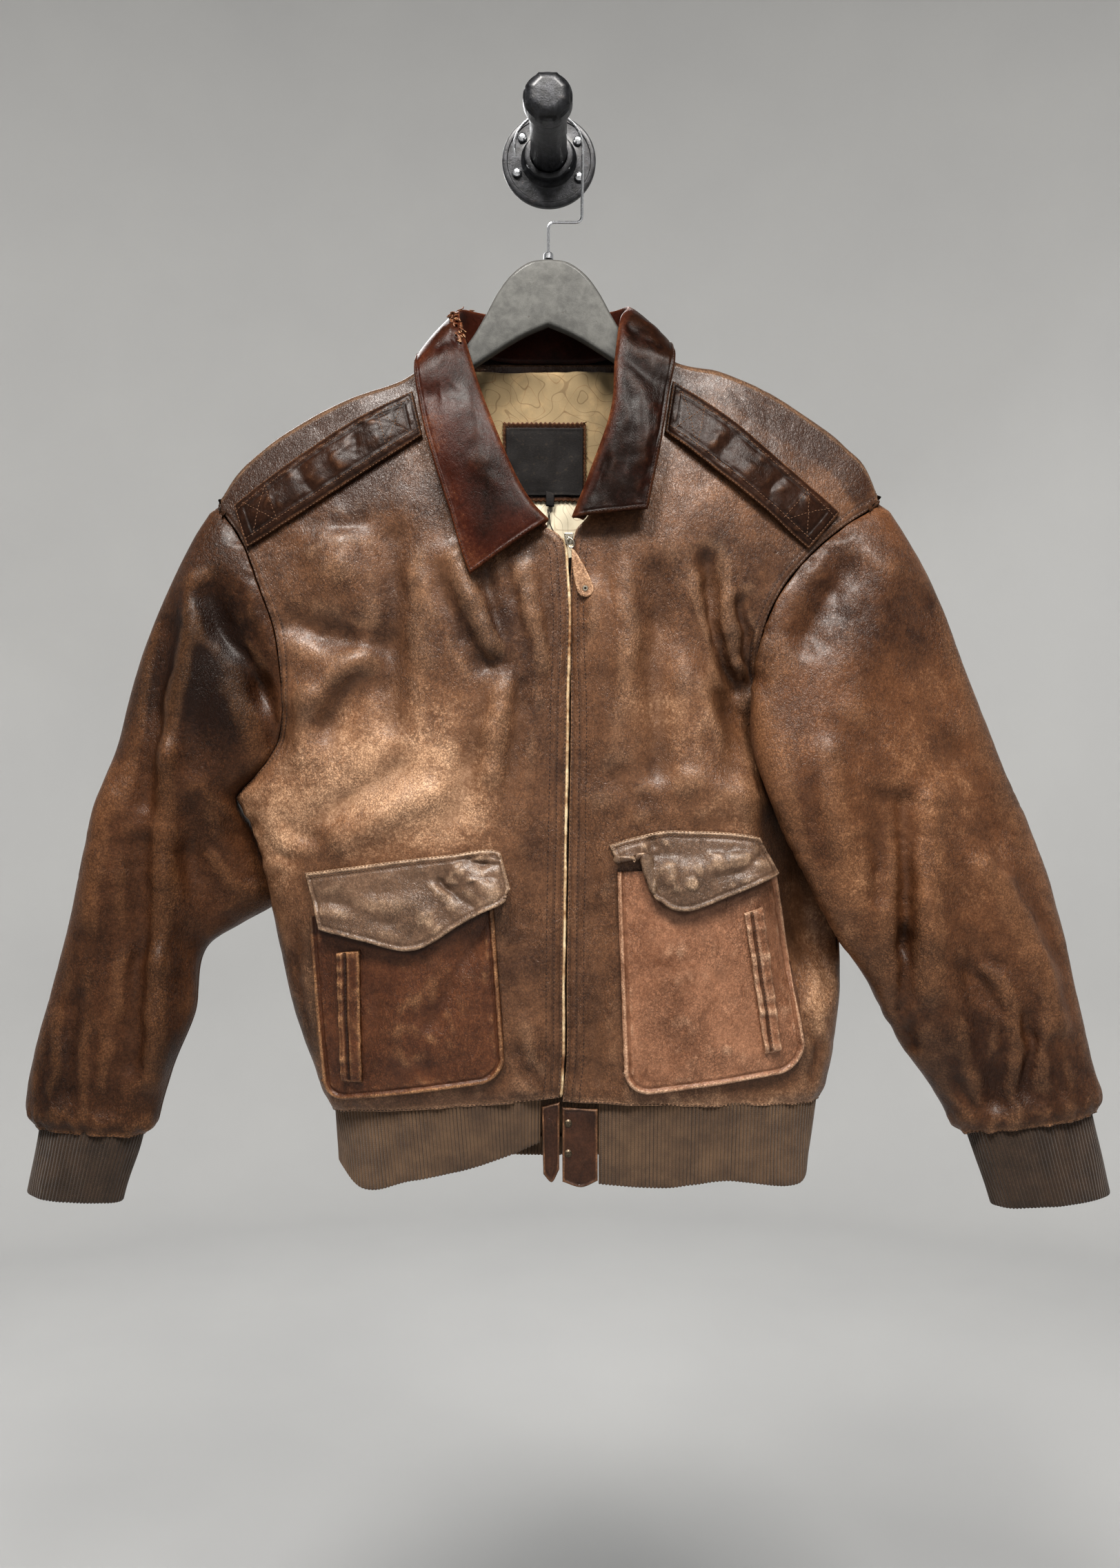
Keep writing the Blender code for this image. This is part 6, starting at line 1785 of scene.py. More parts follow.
def waistband_lines():
    share = np.linspace(0, 1, 60)
    tops, lows = {}, {}
    for side in ("left", "right"):
        top = front(side, share, np.ones_like(share))
        low = curve(RIB_BOTTOM_FRONT[side], share)
        first = 0.0165 if side == "left" else 0.0316
        sign = -1.0 if side == "left" else 1.0
        top[:, 0] += sign * first * (1 - share) ** 3
        y = top[:, 1] + (-0.064 - top[:, 1]) * 0.10
        tops[side], lows[side] = top, np.stack([low[:, 0], y, low[:, 1]], axis=-1)
    column = np.linspace(-1, 1, 160)
    top = back(column, np.ones_like(column))
    low = top.copy()
    near = smooth((1 - np.abs(column)) / 0.16)
    end = np.where((column < 0)[:, None], lows["left"][-1], lows["right"][-1])
    low[:, 2] = -0.9230 - 0.004 * np.cos(column * 3.0)
    low[:, 0] *= 0.975
    low = end + (low - end) * near[:, None]
    low[:, 0] = top[:, 0] * 0.975 * near + end[:, 0] * (1 - near)
    low[:, 1] = top[:, 1] * near + end[:, 1] * (1 - near)
    top = np.concatenate([tops["left"], top[1:-1], tops["right"][::-1]])
    low = np.concatenate([lows["left"], low[1:-1], lows["right"][::-1]])
    return top, low


rib_top, rib_low = waistband_lines()
rib_top[:, 2] -= 0.0010
knitted("waist_rib_knit", rib_top, rib_low, True, ("waist_rib",), KNIT)


def cuff_lines(side):
    around = np.linspace(0, 1, 120)
    top = sleeve(side, around, np.ones_like(around))
    x_in, z_in, x_out, z_out, middle_y, half_y = CUFF_BOTTOM[side]
    angle = math.radians(SLEEVE_DEPTH[side][-1][4]) + 2 * np.pi * around
    low = np.stack(
        [
            (x_in + x_out) / 2 - (x_out - x_in) / 2 * np.cos(angle),
            middle_y - half_y * np.sin(angle),
            z_in + (z_out - z_in) * (1 - np.cos(angle)) / 2,
        ],
        axis=-1,
    )
    middle = top.mean(axis=0)
    top = middle + (top - middle) * 0.975
    top[-1] = top[0]
    return top, low


for side in ("left", "right"):
    top, low = cuff_lines(side)
    flip = side == "left"
    knitted("cuff_%s_knit" % side, top, low, flip, ("cuff_" + side,), SHADED_CUFF_KNIT, seed=231)


# ---------------------------------------------------------------- what is sewn on top
def tree_of(*panels):
    points, faces, start = [], [], 0
    for panel in panels:
        rows, columns = panel.grid.shape[:2]
        points.append(panel.grid.reshape(-1, 3))
        faces.append(quads(rows, columns) + start)
        start += rows * columns
    return BVHTree.FromPolygons(np.concatenate(points).tolist(), np.concatenate(faces).tolist())


REACH = (
    (0, 0), (1, 0), (-1, 0), (0, 1), (0, -1), (0.7, 0.7), (-0.7, 0.7), (0.7, -0.7), (-0.7, -0.7)
)


def foremost(tree, x, z, reach):
    best = 1.0
    for dx, dz in REACH:
        hit = tree.ray_cast(Vector((x + dx * reach, -0.5, z + dz * reach)), Vector((0, 1, 0)))[0]
        if hit:
            best = min(best, hit.y)
    return best


def lying(table, tree, lift, reach=0.006, coarse=(17, 11), fine=(150, 110), low_edge=1.0):
    """A fine grid between a table's upper and lower edge, lying on what is under it."""
    share, down = np.linspace(0, 1, coarse[0]), np.linspace(0, low_edge, coarse[1])
    edges = curve(table, share)
    y = np.zeros((coarse[1], coarse[0]))
    for i, d in enumerate(down):
        for j in range(coarse[0]):
            x = edges[j, 0] + (edges[j, 2] - edges[j, 0]) * d
            z = edges[j, 1] + (edges[j, 3] - edges[j, 1]) * d
            y[i, j] = foremost(tree, x, z, reach)
    hidden = y > 0.5
    if hidden.any():
        y[hidden] = y[~hidden].max()
    fine_share = graded_line(fine[0])
    fine_down = graded_line(fine[1])
    across_all = curve(np.column_stack([share, y.T]), fine_share)
    both = curve(np.column_stack([np.linspace(0, 1, coarse[1]), across_all.T]), fine_down)
    edges = curve(table, fine_share)
    x = edges[:, 0] + (edges[:, 2] - edges[:, 0]) * fine_down[:, None]
    z = edges[:, 1] + (edges[:, 3] - edges[:, 1]) * fine_down[:, None]
    return np.stack([x, both - lift, z], axis=-1)


def rounded_bottom(top_start, top_end, low_start, low_end, radius, steps=40):
    """A table of upper and lower edge points whose lower corners are round."""
    rows = []
    wide = abs(low_end[0] - low_start[0])
    for share in 0.5 - 0.5 * np.cos(np.linspace(0, math.pi, steps + 1)):
        upper = np.array(top_start) * (1 - share) + np.array(top_end) * share
        lower = np.array(low_start) * (1 - share) + np.array(low_end) * share
        inner = max(0.0, radius - min(share, 1 - share) * wide)
        lower[1] += radius - math.sqrt(max(0.0, radius**2 - inner**2))
        rows.append((share, *upper, *lower))
    return tuple(rows)


POCKET_SHAPE = {
    "left": rounded_bottom(
        (-0.2070, -0.7000), (-0.0470, -0.6780), (-0.1965, -0.8625), (-0.0368, -0.8385), 0.021
    ),
    "right": rounded_bottom(
        (0.0590, -0.6600), (0.1970, -0.6560), (0.0650, -0.8535), (0.2225, -0.8330), 0.024
    ),
}


def graded_line(count):
    """Shares from 0 to 1 that are closer together at both ends."""
    t = np.linspace(0, 1, count)
    return t + 0.75 * (smooth(t) - t)


def from_outline(grid, sides=("top", "bottom", "first", "last")):
    """Each point's distance in x and z from these edges of the grid."""
    rims = {"top": grid[0], "bottom": grid[-1], "first": grid[:, 0], "last": grid[:, -1]}
    rim = np.concatenate([rims[side][:, (0, 2)] for side in sides])
    spot = grid[..., (0, 2)].reshape(-1, 2)
    best = np.full(len(spot), 9.0)
    for start in range(0, len(rim), 64):
        part = rim[start : start + 64]
        away = np.linalg.norm(spot[:, None] - part[None], axis=-1).min(axis=1)
        best = np.minimum(best, away)
    return best.reshape(grid.shape[:2])


def piped(away, wide=0.0046, high=0.0021):
    """A cord under the leather along an edge, with the groove that its stitches make."""
    over = np.clip(1 - ((away - wide / 2) / (wide / 2)) ** 2, 0, 1) ** 0.5
    return high * np.where(away < wide, over, 0) - 0.0007 * np.exp(
        -(((away - wide - 0.0008) / 0.0010) ** 2)
    )


def inset_line(panel, distance):
    """A stitch line at this distance inside a panel's outline, round all sides but the top."""
    first, bottom, last = (panel.line(name, distance) for name in ("first", "bottom", "last"))
    line = np.concatenate([first, bottom, last[::-1]])
    grid = panel.grid
    rim = np.concatenate([grid[0], grid[-1], grid[:, 0], grid[:, -1]])[:, (0, 2)]
    away = np.linalg.norm(line[:, None, (0, 2)] - rim[None], axis=-1).min(axis=1)
    return line[away > distance * 0.86]


FINE_OVER = metres((
    # pockets
    (-500, -7000, -780, -7500, -1080, -8020, 90, -42, 0.5),
    (-1000, -7420, -1200, -7900, -1160, -8350, 120, 18, 0.1),
    (-1500, -7350, -1460, -7800, -1500, -8300, 80, -14, 0.4),
    (-700, -8100, -900, -8260, -1200, -8300, 70, -14, 0.5),
    (850, -7000, 1100, -7300, 1160, -7800, 120, 18, 0.1),
    (900, -7800, 1100, -8060, 1400, -8120, 100, -16, 0.3),
    (1500, -6900, 1500, -7300, 1560, -7800, 80, -14, 0.4),
    (1200, -8200, 1500, -8150, 1800, -8220, 80, 12, 0.2),
    # flaps
    (-2000, -6680, -1600, -6740, -1100, -6720, 80, 14, 0.1),
    (-1880, -6900, -1500, -7000, -1150, -7040, 60, -12, 0.4),
    (-920, -6600, -830, -6760, -640, -6900, 50, -36, 0.9),
    (-780, -6520, -680, -6640, -460, -6760, 50, 36, 0.2),
    (-680, -6500, -560, -6550, -400, -6550, 40, -30, 0.9),
    (-1100, -6900, -1000, -7040, -880, -7140, 60, 22, 0.2),
    (880, -6300, 930, -6480, 880, -6620, 60, -28, 0.8),
    (940, -6550, 1040, -6680, 1060, -6840, 60, 24, 0.2),
    (1300, -6400, 1500, -6500, 1760, -6500, 60, 18, 0.2),
    (1400, -6640, 1560, -6620, 1760, -6560, 50, -18, 0.6),
    # epaulettes
    (-2520, -3300, -2380, -3400, -2260, -3520, 70, 12, 0.2),
    (-2140, -3000, -2160, -3180, -2000, -3360, 60, -12, 0.5),
    (-1900, -2900, -1860, -3000, -1720, -3160, 80, 14, 0.1),
    (-1760, -2720, -1660, -2900, -1660, -3060, 50, -12, 0.6),
    (-1500, -2620, -1520, -2760, -1400, -2920, 70, 10, 0.2),
    (1420, -2620, 1460, -2820, 1320, -3020, 70, 12, 0.2),
    (1700, -2760, 1540, -2940, 1540, -3140, 60, -12, 0.5),
    (1840, -2900, 1800, -3080, 1620, -3220, 80, 14, 0.1),
    (2140, -3180, 1980, -3240, 1900, -3440, 50, -12, 0.6),
    (2300, -3300, 2220, -3460, 2040, -3520, 70, 10, 0.2),
), 0, 8)

body_trees = {
    "left": tree_of(fronts["left"], sleeves["left"]),
    "right": tree_of(fronts["right"]),
}
pockets, flaps = {}, {}
over_stitches, pale_stitches = [], []


def over_values(panel, away, tone=0.0, wear=0.6, wide=0.0026, rubbed=0.55):
    stands = panel.bend(4)
    worn = rubbed * smooth(stands / 0.0006 - 0.15) + wear * bell(away, wide)
    patchy = 0.75 + 0.45 * noise(panel.grid, 0.009, 88) + 0.3 * noise(panel.grid, 0.003, 89)
    return {
        "worn": np.clip(worn * patchy, 0, 1),
        # Dirt and painted shade in what lies low.
        "dirt_and_shade": 0.85 * rubbed * smooth(-stands / 0.0006 - 0.05),
        "tone": np.full(away.shape, float(tone)) if np.isscalar(tone) else tone,
    }


def build_pocket(side):
    grid = lying(POCKET_SHAPE[side], tree_of(fronts[side]), LEATHER + 0.0006, 0.005)
    away = from_outline(grid)
    sides = from_outline(grid, ("bottom", "first", "last"))
    panel = Panel(grid)
    span, down = shares(grid.shape)
    swell = np.sin(np.pi * np.clip(down * 0.92, 0, 1)) ** 0.8
    height = 0.0034 * np.sin(np.pi * span) ** 0.8 * swell
    height += (creases(grid, FINE_OVER) + 0.9 * crumple(grid, 301)) * smooth((away - 0.004) / 0.010)
    height += piped(sides) + pucker(grid, np.abs(sides - 0.0054), 0.0005, 0.005, 0.0055, 302)
    height += np.minimum(seam_form(sides, ()), 0)
    panel.push(height)
    tone = spots(grid, TONES_FRONT) * 0.4 - 0.1
    low_part = smooth((-0.800 - grid[..., 2]) / 0.030)
    values = over_values(panel, np.abs(sides - 0.0020), tone, 0.30 + 0.40 * low_part, 0.0013)
    # A painted shadow on the pocket, in a band just under the flap's lower edge.
    flap_low = np.array(FLAP[side])[:, 3:5]
    under = np.interp(grid[..., 0], flap_low[:, 0], flap_low[:, 1]) - grid[..., 2]
    raise_value(values, "dirt_and_shade", 0.95 * smooth((0.0075 - under) / 0.0045))
    made = cloth(
        "pocket_%s_leather" % side,
        panel,
        POCKET_LEFT if side == "left" else POCKET_RIGHT,
        ("pocket_" + side,),
        values,
        skirt=("first", "last", "bottom", "top"),
    )
    line = inset_line(panel, 0.0058)
    over_stitches.append(line)
    pockets[side] = panel
    return made


def build_flap(side):
    reach = 0.007
    under = tree_of(fronts[side], pockets[side])
    grid = lying(FLAP[side], under, LEATHER + 0.0010, reach, (17, 7), (170, 58))
    away = from_outline(grid)
    from_top = from_outline(grid, ("top",))
    panel = Panel(grid)
    span, down = shares(grid.shape)
    height = 0.0034 * np.sin(np.pi * span) ** 0.7 * smooth(down / 0.5) + 0.0036 * down**1.5
    lifted = smooth((span - 0.62) / 0.16) if side == "left" else smooth((0.22 - span) / 0.08)
    height += 0.0045 * lifted * down
    height += creases(grid, FINE_OVER) * smooth(away / 0.005) ** 0.5
    height += 1.1 * crumple(grid, 321) * smooth((away - 0.002) / 0.008)
    # A stitched band along the top, and the turned edge all round.
    height -= 0.0007 * bell(from_top - 0.0062, 0.0010)
    height += 0.0006 * bell(away - 0.0020, 0.0016)
    height -= 0.0005 * bell(away - 0.0044, 0.0010)
    height += pucker(grid, np.abs(away - 0.0044), 0.0004, 0.005, 0.006, 322)
    snap = np.linalg.norm(grid[..., (0, 2)] - np.array((0.122, -0.670)), axis=-1)
    if side == "right":
        height += 0.0021 * smooth((0.0068 - snap) / 0.0030)
    height += seam_form(away, ())
    panel.push(height)
    values = over_values(panel, away, spots(grid, TONES_FRONT) * 0.3, 0.75, 0.0022)
    # On the snap's bump: a pale spot of wear and a painted highlight.
    if side == "right":
        raise_value(values, "worn", 1.2 * bell(snap, 0.0045))
    made = cloth(
        "pocket_flap_%s_leather" % side,
        panel,
        FLAP_LEATHER,
        ("pocket_flap_" + side,),
        values,
        thickness=0.0024,
    )
    pale_stitches.append(
        inset_line(panel, 0.0044)
    )
    pale_stitches.append(panel.line("top", 0.0062, 0.02, 0.98))
    pale_stitches.append(panel.line("top", 0.0022, 0.01, 0.99))
    flaps[side] = panel
    return made


def build_welt(side):
    under = tree_of(pockets[side])
    grid = lying(WELT[side], under, LEATHER + 0.0002, 0.003, (5, 17), (42, 170))
    panel = Panel(grid)
    span, down = shares(grid.shape)
    away = from_outline(grid)
    inside = smooth(down / 0.04) * smooth((1 - down) / 0.05)
    shift = 0.03 * noise(grid, 0.03, 341)
    slit = np.abs(span + shift - 0.40)
    height = 0.0010 * (1 - bell(slit, 0.10))
    height = height * inside + 0.0008 * np.sin(np.pi * np.clip(span, 0, 1)) ** 0.5
    height -= 0.0018 * bell(slit, 0.055) * inside
    across_noise = noise(grid, (0.030, 0.03, 0.0060), 342 if side == "left" else 345)
    height += (0.0011 if side == "left" else 0.0015) * across_noise * bell(away, 0.008)
    height += seam_form(away, ())
    panel.push(height)
    values = over_values(panel, away, -0.1, 0.8, 0.0018)
    # Painted shade in the welt's slit.
    raise_value(values, "dirt_and_shade", 1.2 * bell(slit, 0.06) * inside)
    raise_value(values, "worn", 0.5 * np.clip(across_noise, 0, 1))
    made = cloth(
        "welt_%s_leather" % side,
        panel,
        POCKET_LEFT if side == "left" else POCKET_RIGHT,
        ("welt_" + side,),
        values,
        skirt=("first", "last", "bottom", "top"),
    )
    over_stitches.append(
        inset_line(panel, 0.0022)
    )
    over_stitches.append(panel.line("first", 0.0108, 0.06, 0.94))
    return made


STRAP_ROWS = (0.0022, 0.0090)
WIDE_STRAP = 0.046
BOX_NEAR, BOX_FAR, BOX_LOW, BOX_HIGH = 0.011, 0.038, 0.24, 0.78


def crossed_box(along, across):
    """Distance to a stitched box with its two diagonals, near one end of a strap."""
    u, v = along, across * WIDE_STRAP
    low, high = BOX_LOW * WIDE_STRAP, BOX_HIGH * WIDE_STRAP
    corners = ((BOX_NEAR, low), (BOX_FAR, low), (BOX_FAR, high), (BOX_NEAR, high))
    pairs = ((0, 1), (1, 2), (2, 3), (3, 0), (0, 2), (1, 3))
    best = np.full(u.shape, 9.0)
    for a, b in pairs:
        start, way = np.array(corners[a]), np.subtract(corners[b], corners[a])
        part = np.clip(((u - start[0]) * way[0] + (v - start[1]) * way[1]) / (way @ way), 0, 1)
        best = np.minimum(
            best, np.hypot(u - start[0] - part * way[0], v - start[1] - part * way[1])
        )
    return best


def build_epaulette(side):
    grid = lying(EPAULETTE[side], body_trees[side], LEATHER + 0.0006, 0.006, (17, 7), (180, 54))
    panel = Panel(grid, flip=side == "right" and EPAULETTE[side][0][1] > EPAULETTE[side][-1][1])
    span, down = shares(grid.shape)
    away = from_outline(grid)
    ends = smooth(np.minimum(span, 1 - span) / 0.18)
    height = 0.0032 * np.sin(np.pi * down) ** 0.7 * (0.35 + 0.65 * ends)
    if side == "right":
        height += 0.0030 * down**2 * smooth((span - 0.15) / 0.2) * smooth((0.95 - span) / 0.2)
    height += creases(grid, FINE_OVER) * smooth((away - 0.003) / 0.006)
    height += 0.5 * crumple(grid, 361) * smooth((away - 0.002) / 0.008)
    # A raised band with two stitched grooves round the strap, a crossed box of stitches at each
    # end, and between them soft pads that the stitching has left.
    grooves = sum(bell(away - row, 0.0010) for row in STRAP_ROWS)
    crosses = sum(
        np.exp(-((crossed_box(panel.away[end], panel.away["top"] / WIDE_STRAP) / 0.0010) ** 2))
        for end in ("first", "last")
    )
    inner = smooth((away - 0.0100) / 0.0030)
    pads = np.abs(np.sin(np.pi * (7.3 * span + 0.5 * noise(grid, 0.05, 365)))) ** 0.6
    strong = 1.0 if side == "left" else 0.45
    height += inner * smooth(ends * 1.6 - 0.2) * 0.0006 * strong * (pads - 0.5)
    height += 0.0003 * smooth((0.0098 - away) / 0.0014)
    height -= 0.0004 * grooves + 0.00022 * strong * np.clip(crosses, 0, 1)
    height += pucker(grid, np.abs(away - 0.0056), 0.0004, 0.0055, 0.0046, 362) + seam_form(away, ())
    panel.push(height)
    values = over_values(panel, away, -0.2, 0.45, 0.0014, 0.30)
    raise_value(values, "dirt_and_shade", 0.45 * grooves + 0.22 * crosses)
    # Painted shade in the dips between the pads.
    raise_value(values, "dirt_and_shade", 0.18 * strong * inner * (1 - pads) * ends)
    cloth(
        "epaulette_%s_leather" % side,
        panel,
        STRAP,
        ("epaulette_" + side,),
        values,
        thickness=0.0024,
    )
    for row in STRAP_ROWS:
        pale_stitches.append(panel.line("top", row, 0.012, 0.988))
        pale_stitches.append(panel.line("bottom", row, 0.012, 0.988))
    for name in ("first", "last"):
        pale_stitches.append(panel.line(name, 0.0028, 0.03, 0.97))
        pale_stitches.append(panel.line(name, 0.036, 0.18, 0.82))
        # The two lines of the crossed stitches, from edge to edge and back.
        way = 1 if name == "first" else -1
        away_at, column_at = panel.away[name][30][::way], np.arange(grid.shape[1])[::way]
        j = np.interp(np.linspace(0.010, 0.036, 24), away_at, column_at).astype(int)
        rows = np.linspace(0.2, 0.8, 24) * (grid.shape[0] - 1)
        for row_at in (rows, rows[::-1]):
            i = row_at.astype(int)
            pale_stitches.append(np.concatenate([panel.grid[i, j], panel.normal[i, j]], axis=1))


for side in ("left", "right"):
    build_pocket(side)
    build_flap(side)
    build_welt(side)
    build_epaulette(side)


# ---------------------------------------------------------------- collar
FINE_COLLAR = metres((
    (-1080, -2450, -920, -2500, -780, -2400, 80, -12, 0.3),
    (-660, -2500, -600, -3000, -400, -3450, 80, 16, 0.1),
    (-1000, -3000, -850, -3450, -720, -3850, 70, -14, 0.4),
    (-1050, -2050, -900, -2000, -780, -1920, 60, -18, 0.7),
    (-1000, -1860, -860, -1820, -740, -1780, 50, 18, 0.2),
    (620, -1760, 800, -1920, 1060, -2000, 60, -18, 0.9),
    (680, -1660, 840, -1780, 1000, -1860, 50, 15, 0.2),
    (640, -2050, 780, -2260, 980, -2400, 60, -9, 0.7),
    (620, -2350, 700, -2750, 620, -3250, 50, -10, 0.8),
    (800, -2450, 840, -2850, 760, -3350, 60, 10, 0.1),
    (500, -2900, 440, -3250, 300, -3500, 40, -8, 0.8),
    (920, -2900, 860, -3200, 820, -3480, 50, -14, 0.7),
), 0, 8)


def build_collar():
    up = np.concatenate([np.linspace(0, 0.24, 12)[:-1], np.linspace(0.24, 0.46, 16)[:-1]])
    up = np.concatenate([up, 0.46 + 0.54 * graded_line(44)])
    along = graded(0.560, coarse=0.0024)
    at = arc_places(lambda a, b: collar(a, b), np.array((0.34,)), along)[0]
    grid = collar(at[None, :], up[:, None])
    panel = Panel(grid, flip=True)
    leaf = smooth((up - 0.42) / 0.10)[:, None] * np.ones(grid.shape[:2])
    away = np.minimum(panel.away["bottom"], np.minimum(panel.away["first"], panel.away["last"]))
    right = smooth(grid[..., 0] / 0.03)
    height = creases(grid, FINE_COLLAR) * leaf * smooth((away - 0.002) / 0.006)
    height += crumple(grid, 401) * (0.18 + 0.34 * right) * smooth((away - 0.002) / 0.008)
    height += right * leaf * 0.0003 * noise(grid, (0.007, 0.007, 0.022), 403)
    height -= 0.0006 * bell(away - 0.0038, 0.0010) * leaf
    height += 0.0006 * bell(away - 0.0018, 0.0014) * leaf
    height += pucker(grid, np.abs(away - 0.0034), 0.0004, 0.005, 0.0055, 404) * leaf
    height += pucker(grid, away, 0.0007, 0.010, (0.0050, 0.03, 0.03), 405) * leaf * right
    height += seam_form(away, ())
    panel.push(height)
    roll = bell(up - 0.345, 0.050)[:, None] * np.ones(grid.shape[:2])
    values = over_values(panel, away, 0.1, 0.75, 0.0012, 0.22)
    torn = 0.5 + 0.8 * noise(panel.grid, 0.016, 406) + 0.5 * noise(panel.grid, 0.004, 407)
    values["worn"] = np.clip(values["worn"] * 0.8 + roll * np.clip(torn, 0, 1.2), 0, 1)
    rim_tone = bell(away - 0.004, 0.022)
    values["tone"] = 0.6 * roll - 0.75 * right * leaf + (0.8 * rim_tone - 0.35) * (1 - right) * leaf
    cloth(
        "collar_leather", panel, DARK, ("collar",), values, thickness=0.0026
    )
    for name, start, stop in (("bottom", 0.0, 1.0), ("first", 0.46, 1.0), ("last", 0.46, 1.0)):
        line = panel.line(name, 0.0038, start, stop)
        over_stitches.append(line[2:-2])
    return panel


collar_panel = build_collar()


def scraps(name, spots_of, material):
    """Torn tongues of leather that curl up along a worn fold, some tan and some black."""
    points, faces, worn, tone = [], [], [], []
    random = np.random.default_rng(23)
    for at, normal, along, size in spots_of:
        over = np.cross(normal, along)
        turn = random.uniform(-0.7, 0.7) + (math.pi if random.uniform() < 0.45 else 0.0)
        way = along * math.cos(turn) + over * math.sin(turn)
        aside = np.cross(normal, way)
        charred = random.uniform() < 0.62
        curl = random.uniform(0.05, 0.45)
        wide = size * random.uniform(0.20, 0.36)
        start, steps = len(points), 6
        for k in range(steps + 1):
            t = k / steps
            lift = normal * (0.0002 + size * curl * t * t)
            middle = at + way * size * t * (1 - 0.25 * curl * t) + lift
            half = wide * (1 - 0.75 * t**2) * random.uniform(0.7, 1.2)
            sway = aside * size * 0.15 * random.uniform(-1, 1) * t
            points += [middle + sway - aside * half, middle + sway + aside * half]
            worn += [0.0 if charred else random.uniform(0.0, 0.6)] * 2
            tone += [-2.2 if charred else random.uniform(-1.2, 0.2)] * 2
            if k:
                a = start + 2 * k - 2
                faces.append((a, a + 1, a + 3, a + 2))
    values = {"worn": worn, "tone": tone}
    made = build(name, points, faces, material, "jacket", values)
    shell = made.modifiers.new("thickness", "SOLIDIFY")
    shell.thickness = 0.0007


def torn_fold():
    spots_of = []
    random = np.random.default_rng(5)
    row = 26
    columns = np.where(
        (collar_panel.grid[row, :, 0] < -0.052)
        & (collar_panel.grid[row, :, 2] > -0.196)
        & (collar_panel.grid[row, :, 1] < -0.035)
    )[0]
    for column in np.repeat(columns[:: max(1, len(columns) // 26)], 2):
        i = row + int(random.integers(-8, 3))
        here = collar_panel.grid[i, column]
        along = collar_panel.grid[i, min(column + 2, collar_panel.grid.shape[1] - 1)] - here
        along = along / max(np.linalg.norm(along), 1e-9)
        size = random.uniform(0.0026, 0.0066)
        spots_of.append((here, collar_panel.normal[i, column], along, size))
    scraps("collar_torn_scraps", spots_of, PIPING)


torn_fold()


# ---------------------------------------------------------------- zip
def zip_edge():
    """The cream worn edge of the left front over the zip."""
    line = fronts["left"].line("first", 0.0010, 0.30, 0.992)
    line, _ = resampled(line, 0.0011)
    line[:, 0] += 0.0004 + 0.0007 * noise(line[:, :3], 0.045, 454)
    line[:, 1] -= 0.0004
    points, faces = bead(line, 0.0052, 0.0026, 10, 0.24, 451)
    worn = 0.60 + 0.7 * noise(line[:, :3], 0.012, 452) + 0.5 * noise(line[:, :3], 0.003, 453)
    worn = np.repeat(worn, 10)
    return build(
        "zip_edge_piping",
        points,
        faces,
        CREAM_EDGE,
        "jacket",
        {"worn": worn, "tone": worn - 0.4},
    )


zip_edge()


def build_tape():
    rows = np.linspace(0.30, 0.985, 260)
    strips = []
    for part in np.linspace(0, 1, 7):
        strip = front("left", np.full(260, 0.045 * (1 - part)), rows)
        strip[:, 0] += 0.0100 * part
        strip[:, 1] += 2 * LEATHER + 0.0010
        strips.append(strip)
    panel = Panel(np.stack(strips, axis=1))
    return cloth("zip_tape_weave", panel, TAPE, ("zip_tape",), {}, thickness=0.0010)


build_tape()


def zip_teeth():
    """Small metal teeth down the middle of the tape, seen in the slit."""
    spots_of = front("left", np.full(220, 0.002), np.linspace(0.315, 0.975, 220))
    spots_of[:, 1] += LEATHER + 0.0030
    spots_of[:, 0] += 0.0012
    way = np.tile(np.array((0.0, -1.0, 0.0)), (220, 1))
    line = np.concatenate([spots_of, way], axis=1)
    points, faces = stitch_mesh([line], pitch=0.0024, length=0.0012, radius=0.0011, lift=0.0)
    return build("zip_teeth_metal", points, faces, ZIP_METAL)


zip_teeth()

# ---------------------------------------------------------------- hem tabs
HEM_Y = float(front("left", np.array([0.0]), np.array([1.0]))[0, 1])
TAB = metres({
    "left": (
        (0, -56, -8640, -40, -9220),
        (0.45, 15, -8620, 30, -9290),
        (1, 102, -8600, 98, -9180),
    ),
    "right": (
        (0, 122, -8645, 125, -9290),
        (0.55, 290, -8652, 295, -9336),
        (1, 430, -8660, 430, -9280),
    ),
}, 1)


def build_tab(side):
    share, down = graded_line(32), graded_line(56)
    edges = curve(TAB[side], share)
    x = edges[:, 0] + (edges[:, 2] - edges[:, 0]) * down[:, None]
    z = edges[:, 1] + (edges[:, 3] - edges[:, 1]) * down[:, None]
    y = HEM_Y - (0.0010 if side == "left" else 0.0006)
    grid = np.stack([x, np.full(x.shape, y), z], axis=-1)
    panel = Panel(grid)
    away = from_outline(grid)
    spread = np.linspace(0, 1, 56)[:, None]
    height = 0.0007 * noise(grid, 0.014, 471) - 0.0006 * bell(away - 0.0030, 0.0010)
    height += 0.0005 * bell(away - 0.0016, 0.0014) + seam_form(away, ())
    height += 0.0016 * spread * (1 if side == "left" else 0.6)
    panel.push(height)
    seam_side = panel.away["last"]
    values = over_values(panel, away, -0.3, 0.12, 0.0012)
    raise_value(values, "worn", 0.7 * bell(seam_side, 0.0014))
    over_stitches.append(inset_line(panel, 0.0030))
    return cloth(
        "hem_tab_%s_leather" % side,
        panel,
        TAB_LEATHER,
        ("hem_tab_" + side,),
        values,
        thickness=0.0022,
    )


for side in ("left", "right"):
    build_tab(side)


# ---------------------------------------------------------------- pull tab
SLIDER = (0.0180, -0.3740)
PULL_LEAN = math.radians(18)
PULL_Y = -0.11758


